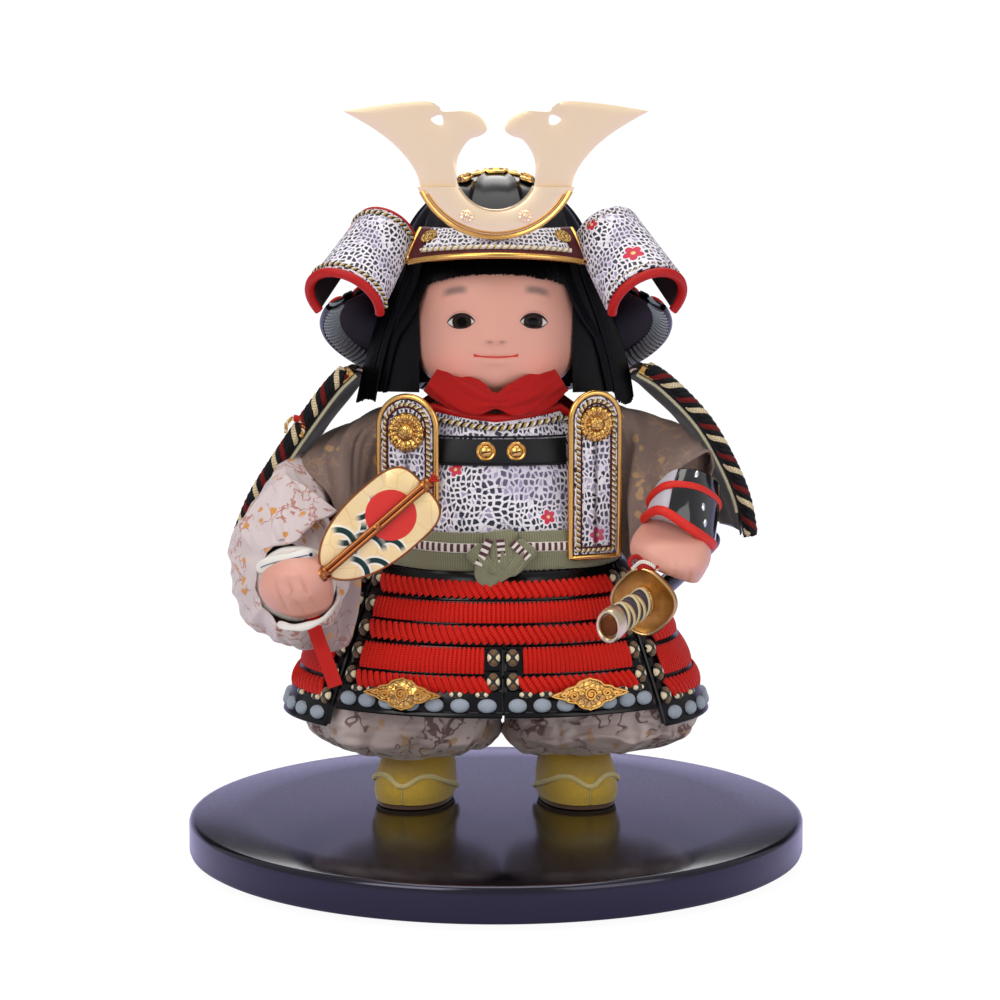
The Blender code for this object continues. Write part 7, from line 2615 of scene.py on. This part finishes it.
def scrolled(name):
    """Trouser brocade: a pale mauve ground with large maroon scrolls and a few gold blossoms, over a
    fine twill."""
    c = shared()
    p = Paint(name, tuple(c.brocade), 0.62, slot="brocade", Sheen_Weight=0.3, Sheen_Roughness=0.4)
    if not p.made:
        return p.mat
    spot = p.where()
    warp = p.add("VectorMath", operation="SCALE", in0=p.noise(spot, 55, 2, output=1), Scale=0.022)
    bent = p.add("VectorMath", operation="ADD", in0=spot, in1=warp)
    veins = p.noise(bent, 80, 2)
    curl = p.ramp(p.math("ABSOLUTE", p.math("SUBTRACT", veins, 0.5)), 0.040, 0.020)
    zone = p.ramp(p.noise(spot, 48, 1), 0.40, 0.47)
    cells = p.add("TexVoronoi", Vector=bent, Scale=115)
    dots = p.ramp(cells, 0.36, 0.28)
    pick = p.add("SeparateColor", Color=p.add("TexVoronoi", output=1, Vector=bent, Scale=115))
    bloom = p.math("MULTIPLY", dots, p.ramp(pick, 0.66, 0.70))
    clouds = p.noise(spot, 30, 2)
    base = tuple(c.brocade)
    paint = p.mix(clouds, tuple(0.78 * v for v in base), tuple(min(1, 1.08 * v) for v in base))
    shade = p.ramp(p.noise(bent, 40, 1), 0.5, 0.62)
    paint = p.mix(p.math("MULTIPLY", shade, 0.35), paint, linear("#7d605c"))
    paint = p.mix(p.math("MULTIPLY", p.math("MULTIPLY", curl, zone), 0.85), paint, tuple(c.brocade_dark))
    paint = p.mix(p.math("MULTIPLY", bloom, 0.7), paint, linear("#b98a55"))
    threads = p.add("Mapping", Vector=spot, Scale=(1 / (0.45 * MM),) * 3)
    part = p.add("SeparateXYZ", Vector=threads).node
    over = p.math("SINE", p.math("MULTIPLY", p.math("ADD", part.outputs[0], part.outputs[2]), TAU))
    under = p.math("SINE", p.math("MULTIPLY", p.math("SUBTRACT", part.outputs[0], part.outputs[2]), TAU))
    weave = p.math("MULTIPLY_ADD", p.math("MULTIPLY", over, under), 0.5, 0.5)
    p.set("Base Color", p.mix(p.math("MULTIPLY", weave, 0.18), paint, tuple(0.4 * v for v in base)))
    p.bump(p.math("ADD", weave, p.math("MULTIPLY", curl, 0.5)), 0.06, 0.6)
    return p.mat


def build_trousers():
    """Trousers: two full brocade legs that puff over the boots, gathered in folds at the hem."""
    look = scrolled("trouser_brocade")
    for side, name in ((-1, "right"), (1, "left")):
        share = np.linspace(0, 1, 68)[:, None]
        wide, deep, pull, fold = (
            np.interp(share, LEG_LEVELS[:, 0], smooth) for smooth in LEG_LEVELS[:, 1:].T
        )
        for _ in range(3):
            wide, deep, pull, fold = (
                np.concatenate([v[:1], (v[:-2] + 2 * v[1:-1] + v[2:]) / 4, v[-1:]])
                for v in (wide, deep, pull, fold)
            )
        turn = np.linspace(0, TAU, 116, endpoint=False)[None, :]
        middle = SPLIT_X + side * 0.0479
        sweep = turn + 0.7 * share * side
        creases = np.abs(np.sin(4.5 * sweep + side)) ** 0.8 + 0.45 * np.abs(
            np.sin(7.5 * sweep - 3 * share + 1)
        ) ** 1.2
        swell = 1 + fold * (creases - 0.9)
        x, y = squared(turn, 0.0476 * wide * swell, 0.049 * deep * swell, 2.3)
        centre_x = middle + (side * BOOT_X - middle) * pull
        centre_y = BOOT_Y + 0.009 * pull
        droop = 0.0022 * np.sin(2.0 * turn + 1.3 * side) * np.clip((0.22 - share) / 0.22, 0, 1)
        z = LEG_HEM_Z + (LEG_TOP_Z - LEG_HEM_Z) * share + droop
        points = np.stack(np.broadcast_arrays(x + centre_x, y + centre_y, z), axis=-1)
        leg = surface(f"trouser_{name}_silk", points, look, closed_columns=True, caps=True)
        simulate(leg, held_cloth, LEG_PRESSURE, LEG_SWELL, LEG_CLOTH_FRAMES, LEG_CLOTH_REACH)
        finer = leg.modifiers.new("finer", "SUBSURF")
        finer.levels = finer.render_levels = 1
        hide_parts(f"trouser_leg_{name}")


def boot_ring(turn, height, out=0.0):
    """A point of the boot in its own frame: plan ovals that shrink and move back from the sole to the
    shaft."""
    levels = np.array(
        [
            (0, 18.6, 27.2, 0), (4.6, 19.25, 28, 0), (9, 19.1, 27.4, 0.4), (13, 18.7, 25.6, 1.4),
            (17, 17.9, 22.2, 4.2), (21, 17.3, 19.4, 6.6), (26, 16.6, 17.3, 8.8), (32, 16.0, 15.2, 9.6),
            (40, 15.0, 13.8, 10)
        ]
    )
    levels = smooth_line(levels, 120)
    wide, deep, back = (np.interp(height, levels[:, 0] * MM, levels[:, i] * MM) for i in (1, 2, 3))
    x, y = squared(turn, wide + out, deep + out, 2.3)
    return np.stack(np.broadcast_arrays(x, y + back, height + 0.0025), axis=-1)


def build_boots():
    """Boots: mustard velour with a toe cap, fuzzy cream piping over the seams, a tied ankle band and a
    thin stitched sole."""
    c = shared()
    felt = velour("boot_velour", c.boot)
    cream = Paint("boot_piping", tuple(c.boot_piping), 0.8, slot="mustard_felt", Sheen_Weight=0.6)
    if cream.made:
        nap = cream.noise(cream.where(1500), 1.0, 3)
        cream.set("Base Color", cream.mix(nap, linear("#a8923f"), linear("#e2d59a")))
        cream.bump(nap, 0.3, 1.0)
    sole_look = velour("sole_leather", linear("#4a3018"), "tan_sole")
    for side, name in ((-1, "right"), (1, "left")):
        c_turn, s_turn = math.cos(side * math.radians(13)), math.sin(side * math.radians(13))

        def stand(points):
            x, y, z = np.moveaxis(np.asarray(points, float), -1, 0)
            return np.stack(
                [x * c_turn - y * s_turn + side * BOOT_X, x * s_turn + y * c_turn + BOOT_Y, z + 0.0003],
                axis=-1
            )

        turn = np.linspace(0, TAU, 110, endpoint=False)[None, :]
        height = np.linspace(0, 0.038, 60)[:, None]
        around = (turn + math.pi) % TAU - math.pi
        seam = np.exp(-((around / 0.045) ** 2)) * np.clip((0.0125 - height) / 0.002, 0, 1)
        wave = 0.00035 * np.sin(3 * around + 200 * height) * np.clip(height / 0.02, 0, 1)
        crease = 0.0007 * np.exp(-(((height - 0.019) / 0.002) ** 2)) * np.clip(np.cos(around), 0, 1)
        upper = boot_ring(turn, height, wave - 0.0007 * seam - crease)
        boot = surface(f"boot_{name}_felt", stand(upper), felt, closed_columns=True, caps=True)
        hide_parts(f"boot_{name}")
        run = np.linspace(-1.95, 1.95, 90)
        toe = (
            0.0128
            - 0.0034 * np.exp(-((run / 0.22) ** 2))
            - 0.0105 * np.clip((np.abs(run) - 0.75) / 1.2, 0, 1) ** 1.2
            + 0.0008 * np.exp(-(((np.abs(run) - 0.5) / 0.25) ** 2))
        )
        tubes(
            f"boot_{name}_toe_piping", stand(boot_ring(run, toe, 0.0006))[None], 0.00125, cream.mat,
            (0, -0.5, 0.85), 8
        )
        run = np.linspace(-0.35, 0.35, 12) * 0
        rise = np.linspace(0.0005, 0.0095, 12)
        tubes(
            f"boot_{name}_seam", stand(boot_ring(run, rise, -0.0002))[None], 0.00045,
            velour("seam_thread", linear("#b9a350")), (0, -1, 0), 6
        )
        run = np.linspace(0, TAU, 110, endpoint=False)
        ankle = 0.0272 - 0.0038 * np.cos(run) + 0.0008 * np.cos(2 * run)
        tubes(
            f"boot_{name}_ankle_piping", stand(boot_ring(run, ankle, 0.0006))[None], 0.0013, cream.mat,
            (0, -0.6, 0.8), 8, closed=True
        )
        run = np.linspace(0.35, 1.9, 40) * side
        slant = 0.0345 - 0.0125 * np.clip(np.abs(run) / 1.9, 0, 1)
        tubes(
            f"boot_{name}_side_piping", stand(boot_ring(run, slant, 0.0006))[None], 0.0012, cream.mat,
            (0, -0.6, 0.8), 8
        )
        knot = boot_ring(np.array(0.12 * side), np.array(0.0270), 0.0022)
        loops = []
        for way in (-1, 1):
            s = np.linspace(0, TAU, 26)
            loops.append(
                knot + np.stack(
                    [
                        way * (0.0034 - 0.0034 * np.cos(s)), -0.0006 + 0 * s,
                        0.0017 * np.sin(s) + 0.0004 * (1 - np.cos(s))
                    ],
                    axis=-1
                )
            )
        tubes(f"boot_{name}_bow", stand(np.array(loops)), 0.00085, cream.mat, (0, -1, 0), 7)
        ends = []
        for way in (-1, 1):
            s = np.linspace(0, 1, 26)
            ends.append(
                knot + np.stack([way * (0.0006 + 0.0035 * s), -0.0010 - 0.001 * s, -0.0050 * s**1.2], axis=-1)
            )
        tubes(f"boot_{name}_bow_ends", stand(np.array(ends)), 0.0008, cream.mat, (0, -1, 0), 7)
        edge = np.linspace(0, TAU, 110, endpoint=False)
        rows = []
        for z, out in ((0.0, -0.0016), (0.0002, -0.0008), (0.0017, -0.0008), (0.0023, -0.0014)):
            flat = boot_ring(edge, np.array(0.0), out)
            rows.append(np.concatenate([flat[:, :2], np.full((110, 1), z)], axis=1))
        sole = surface(f"boot_{name}_sole", stand(np.stack(rows)), sole_look, closed_columns=True, caps=True)
        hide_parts(f"boot_sole_{name}")


def build_stand():
    """Stand: a round board in rubbed lacquer with a small rounded edge above and below."""
    profile = [
        (146.5, -18), (148.2, -17.8), (149.5, -17.0), (150, -15.6), (150, -2.6), (149.6, -1.3),
        (148.6, -0.35), (147.2, 0), (120, 0), (60, 0), (10, 0), (0.3, 0)
    ]
    turn = np.linspace(0, TAU, 256, endpoint=False)
    rows = [np.stack([r * np.cos(turn), r * np.sin(turn) - 25, np.full(256, z)], axis=-1) for r, z in profile]
    board = surface("stand_board", np.stack(rows) * MM, stand_lacquer(), closed_columns=True, caps=True)
    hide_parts("display_stand")


class DOLL_OT_legs(bpy.types.Operator):
    """Build the trousers, boots and stand"""

    bl_idname = "doll.legs"
    bl_label = "Legs and stand"

    def execute(self, context):
        build_trousers()
        build_boots()
        build_stand()
        return {"FINISHED"}


# Skirt of laced lames

RED_ROWS = (  # top, bottom, and whether its cords run upright
    (0.1186, 0.1126, False),
    (0.1090, 0.1010, True),
    (0.0980, 0.0915, False),
    (0.0882, 0.0776, True),
    (0.0746, 0.0686, False),
)


def front_panel(height):
    edge = skirt_front_edge(height)
    return -edge, edge


def right_half(height):
    return -skirt_front_edge(height), np.arcsin(
        (SPLIT_X - 0.0005) / np.abs(skirt_point(math.pi / 2, height)[..., 0])
    )


def left_half(height):
    return np.arcsin(
        (SPLIT_X + 0.0005) / np.abs(skirt_point(math.pi / 2, height)[..., 0])
    ), skirt_front_edge(height)


def left_side(height):
    edge = skirt_front_edge(np.maximum(height, FRONT_BOTTOM_Z)) + math.radians(3.5)
    return edge, math.pi - edge


def right_side(height):
    first, last = left_side(height)
    return -last, -first


def rear_panel(height):
    edge = skirt_front_edge(np.maximum(height, FRONT_BOTTOM_Z))
    return math.pi - edge, math.pi + edge


def even_shares(edges, height, pitch):
    """Shares of the way across a panel that lie pitch apart on its surface at this height, and how wide
    it is."""
    first, last = edges(np.array(height))
    turn = np.linspace(first, last, 300)
    run = np.concatenate(
        [[0], np.cumsum(np.linalg.norm(np.diff(skirt_point(turn, height), axis=0), axis=-1))]
    )
    number = max(int(run[-1] / pitch), 1)
    return np.interp((np.arange(number) + 0.5) * run[-1] / number, run, np.linspace(0, 1, 300)), run[-1]


def on_panel(edges, share, height, out):
    first, last = edges(height)
    return skirt_point(first + (last - first) * share, height, out)


def lame_silk():
    """Red lacing silk, painted brighter on the crown of each strand and darker in the lay between: painted
    shade.
    """
    return silk_cord("red_silk", shared().red, 0.42)


def knot_braid():
    """Figured braid knots: cream and umber cords that cross in a slanting check, with near-black painted
    shade in the hollows."""
    p = Paint("knot_braid", linear("#d8c39a"), 0.7, slot="pale_gilt_metal", Sheen_Weight=0.3)
    if p.made:
        flat = p.add("Mapping", Vector=p.weave(1 / 0.0040), Rotation=(0, 0, math.radians(45)))
        part = p.add("SeparateXYZ", Vector=flat).node
        a = p.math("ABSOLUTE", p.math("SINE", p.math("MULTIPLY", part.outputs[0], math.pi)))
        b = p.math("ABSOLUTE", p.math("SINE", p.math("MULTIPLY", part.outputs[1], math.pi)))
        pad = p.math("MULTIPLY", a, b)
        check = p.add("TexChecker", output=1, Vector=flat, Scale=1.0)
        paint = p.mix(check, linear("#e2d2ae"), linear("#6b4a24"))
        # Painted shade: near-black in the hollows between the pads of the cords.
        p.set("Base Color", p.mix(p.ramp(pad, 0.42, 0.18), paint, linear("#0b0a0a")))
        p.bump(pad, 0.6, 0.9)
    return p.mat


def oval(wide, tall, high, sides=20):
    """A domed oval: rings from the rim to the crown, with UV in metres."""
    turn = np.linspace(0, TAU, sides, endpoint=False)
    rows = []
    for share, rise in ((1.0, 0.0), (0.97, 0.35), (0.80, 0.75), (0.48, 0.96), (0.03, 1.0)):
        rows.append(
            np.stack(
                [wide * share * np.cos(turn), tall * share * np.sin(turn), np.full(sides, high * rise)],
                axis=-1
            )
        )
    verts = np.concatenate(rows)
    faces = [quads(5, sides, False, True), np.arange(sides)[None, :], 4 * sides + np.arange(sides)[None, :]]
    return verts, faces, verts[:, :2]


def panel_places(edges, shares, heights, out):
    """Places on a panel's surface, upright, facing outwards."""
    shares, heights = np.broadcast_arrays(np.asarray(shares, float), np.asarray(heights, float))
    points = on_panel(edges, shares, heights, out)
    across = on_panel(edges, shares + 0.002, heights, out) - on_panel(edges, shares - 0.002, heights, out)
    down = on_panel(edges, shares, heights - 0.0005, out) - on_panel(edges, shares, heights + 0.0005, out)
    return frames_at(points, np.cross(down, across), (0, 0, 1))


def build_panel(name, node, edges, high, low, rows, stretch=0.0, discs=7):
    """One panel: black lacquered lames, red cords over each row, silk discs on its hem, and knots down
    both its edges.  stretch lowers the rows evenly towards the hem, for panels that hang lower than the
    front. """
    black = lacquer()
    scale = (SKIRT_TOP_Z - low) / (SKIRT_TOP_Z - FRONT_BOTTOM_Z) if stretch else 1.0

    def lower(z):
        return SKIRT_TOP_Z - (SKIRT_TOP_Z - z) * scale

    rows = [(lower(a), lower(b), upright) for a, b, upright in rows]
    hem_top = rows[-1][1]
    profile = [(high, 0.0006)]
    for top, bottom, upright in rows:
        profile += [
            (top + 0.0016, 0.0010), (top + 0.0010, 0.0020), (top + 0.0001, 0.0021), (top - 0.0006, 0.0004)
        ]
        profile += [(bottom + 0.0006, 0.0003), (bottom, 0.0010)]
    if discs:
        profile += [(hem_top - 0.0012, 0.0016), (low + 0.0022, 0.0010), (low + 0.0014, 0.0018), (low, 0.0018)]
    else:
        profile += [(low, 0.0008)]
    profile = np.array([p for p in profile if p[0] <= high + 1e-9])
    columns = np.linspace(0, 1, 70)[None, :]
    outer = on_panel(edges, columns, profile[:, :1], profile[:, 1:])
    inner = on_panel(edges, columns, profile[::-1, :1], -0.0020)
    base = surface(name + "_lames", np.concatenate([outer, inner]), black, closed_rows=True)
    cap_ends(base)
    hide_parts(node)
    s = np.linspace(0, 1, 7)
    for number, (top, bottom, upright) in enumerate(rows):
        pitch, radius = (0.0021, 0.00118) if upright else (0.0034, 0.00165)
        shares, width = even_shares(edges, (top + bottom) / 2, pitch)
        margin = 0.0068 / width
        shares = shares[(shares > margin) & (shares < 1 - margin)]
        z = top + 0.0004 + (bottom - top - 0.0010) * s
        out = 0.0006 + (0.0017 if upright else 0.0014) * np.sin(math.pi * (0.06 + 0.88 * s)) ** 0.6
        lean = 0.0 if upright else 0.0040 / width
        across = shares[:, None] + lean * (s[None, :] - 0.5)
        paths = on_panel(edges, across, np.broadcast_to(z, across.shape), np.broadcast_to(out, across.shape))
        around = unit(paths * (1, 1, 0))
        tubes(f"{name}_lacing_{number + 1}", paths, radius, lame_silk(), around, 6, flat=0.85)
    knots, shape = [], oval(0.0031, 0.0042, 0.0022)
    spots = np.arange(high - 0.006, hem_top - 0.004, -0.0112)
    for share in (0.0030, 0.9970):
        edge_share = np.full(len(spots), share)
        width = even_shares(edges, (high + low) / 2, 0.002)[1]
        inset = 0.0034 / width
        edge_share = np.where(edge_share < 0.5, inset, 1 - inset)
        knots.append(panel_places(edges, edge_share, spots, 0.0012))
    copies(name + "_edge_knots", shape[0], shape[1], np.concatenate(knots), knot_braid(), shape[2])
    if discs:
        width = even_shares(edges, low + 0.005, 0.002)[1]
        step = width / discs
        verts, faces, uv = oval(min(step * 0.41, 0.0046), 0.0034, 0.0026, 24)
        silver = silk_cord("silver_disc_silk", shared().silver, 0.62)
        shares = (np.arange(discs) + 0.5) / discs
        places = panel_places(edges, shares, np.full(discs, low + 0.0052), 0.0009)
        copies(name + "_discs", verts, faces, places, silver, uv * (430, 1.0))
        small = oval(0.0032, 0.0017, 0.0016, 16)
        shares = np.array([0.12, 0.24, 0.76, 0.90])
        places = panel_places(edges, shares, np.full(4, hem_top - 0.0016), 0.0014)
        copies(name + "_hem_knots", small[0], small[1], places, knot_braid(), small[2])
        fringe = on_panel(edges, np.linspace(0, 1, 60), np.full(60, low + 0.0004), np.full(60, 0.0004))
        tubes(name + "_hem_bead", fringe[None], 0.0013, black, (0, 0, 1), 8)
    for part, share in (("first", 0.0), ("last", 1.0)):
        z = np.linspace(high - 0.0005, low + 0.0004, 40)
        line = on_panel(edges, np.full(40, share), z, np.full(40, -0.0006))
        tubes(f"{name}_{part}_edge", line[None], 0.0013, black, (0, -1, 0.01), 8)


def build_ornament(side, name):
    """A cloud-shaped gilt fitting: a domed plate with a rolled edge, a spiral boss and two curls on each
    wing."""
    height = 0.0668
    turn = side * skirt_front_edge(np.array(height)) * 0.52
    spot = skirt_point(turn, np.array(height), 0.0046)
    around = skirt_point(
        turn + 0.01, np.array(height), 0.0046
    ) - skirt_point(turn - 0.01, np.array(height), 0.0046)
    normal = unit(np.cross(around, (0, 0, 1.0))) + np.array([0, 0, 0.12])
    place = frames_at(spot[None], normal[None], (0, 0, 1))
    a = np.linspace(0, TAU, 97)[:-1]
    reach = 1 - 0.34 * np.abs(np.sin(2 * a)) ** 0.8 + 0.035 * np.cos(10 * a)
    rows = []
    for share, rise in (
        (1.0, 0.0), (1.0, 0.7), (0.95, 1.1), (0.86, 0.8), (0.6, 1.3), (0.35, 1.9), (0.18, 2.3), (0.02, 2.4)
    ):
        x = 0.0190 * reach * share * np.cos(a)
        z = 0.0080 * reach * share * np.sin(a)
        rows.append(np.stack([x, z, rise * MM * (1 - 0.25 * np.abs(np.cos(a)) * share)], axis=-1))
    verts = np.concatenate(rows)
    faces = [quads(8, 96, False, True), np.arange(96)[None, :], 7 * 96 + np.arange(96)[None, :]]
    plate = copies(f"cloud_plate_{name}", verts, faces, place, gilt())
    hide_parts(f"skirt_fitting_{name}")
    gold = plain_gilt()
    curls = [scroll(2.0, 0.0034, 0.0005, 40) + (0.0, 0.0, 0.0028)]
    for x, size, way in ((0.0085, 0.8, 1), (-0.0085, 0.8, -1), (0.0132, 0.5, -1), (-0.0132, 0.5, 1)):
        curl = scroll(1.5, 0.0032 * size, 0.0006, 40) * (way, 0.75, 1)
        curls.append(curl + (x, 0.0004 * way, 0.0021 - 0.03 * abs(x)))
    paths = np.concatenate([placed(c, place) for c in curls])
    tubes(f"cloud_curls_{name}", paths, 0.00060, gold, normal, 6)
    rim = np.stack([0.0186 * reach * np.cos(a), 0.0078 * reach * np.sin(a), np.full(96, 0.0010)], axis=-1)
    tubes(f"cloud_rim_{name}", placed(rim, place), 0.00065, gold, normal, 6, closed=True)


class DOLL_OT_skirt(bpy.types.Operator):
    """Build the six laced panels of the skirt and its two gilt fittings"""

    bl_idname = "doll.skirt"
    bl_label = "Skirt"

    def execute(self, context):
        build_panel("front", "skirt_front", front_panel, SKIRT_TOP_Z, 0.0890, RED_ROWS[:3], discs=0)
        build_panel("right_half", "skirt_front_right_half", right_half, 0.0902, FRONT_BOTTOM_Z, RED_ROWS[3:])
        build_panel("left_half", "skirt_front_left_half", left_half, 0.0902, FRONT_BOTTOM_Z, RED_ROWS[3:])
        build_panel("left_side", "skirt_left_side", left_side, SKIRT_TOP_Z, 0.0475, RED_ROWS, 1.0, 8)
        build_panel("right_side", "skirt_right_side", right_side, SKIRT_TOP_Z, 0.0475, RED_ROWS, 1.0, 8)
        build_panel("rear", "skirt_rear", rear_panel, SKIRT_TOP_Z, FRONT_BOTTOM_Z, RED_ROWS, discs=13)
        build_ornament(-1, "right")
        build_ornament(1, "left")
        return {"FINISHED"}


OPERATORS = (
    DOLL_OT_stage,
    DOLL_OT_helmet,
    DOLL_OT_head,
    DOLL_OT_body,
    DOLL_OT_skirt,
    DOLL_OT_arms,
    DOLL_OT_guards,
    DOLL_OT_legs,
)
GROUPS = (("doll_colours", DollColours), ("doll_stage", StageLook))


class DOLL_PT_panel(bpy.types.Panel):
    """Lists the doll's pieces in the sidebar"""

    bl_label = "Samurai doll"
    bl_idname = "DOLL_PT_panel"
    bl_space_type = "VIEW_3D"
    bl_region_type = "UI"
    bl_category = "Samurai doll"

    def draw(self, context):
        for name, group in GROUPS:
            box = self.layout.box()
            box.label(text=group.__doc__)
            for key in group.__annotations__:
                box.prop(getattr(context.scene, name), key)
        for operator in OPERATORS:
            self.layout.operator(operator.bl_idname)


def register():
    for name, group in GROUPS:
        bpy.utils.register_class(group)
        setattr(bpy.types.Scene, name, PointerProperty(type=group))
    for operator in OPERATORS:
        bpy.utils.register_class(operator)
    bpy.utils.register_class(DOLL_PT_panel)


def unregister():
    bpy.utils.unregister_class(DOLL_PT_panel)
    for operator in reversed(OPERATORS):
        bpy.utils.unregister_class(operator)
    for name, group in reversed(GROUPS):
        delattr(bpy.types.Scene, name)
        bpy.utils.unregister_class(group)


def main():
    register()
    for operator in OPERATORS:
        family, name = operator.bl_idname.split(".")
        getattr(getattr(bpy.ops, family), name)()


if __name__ == "__main__":
    main()
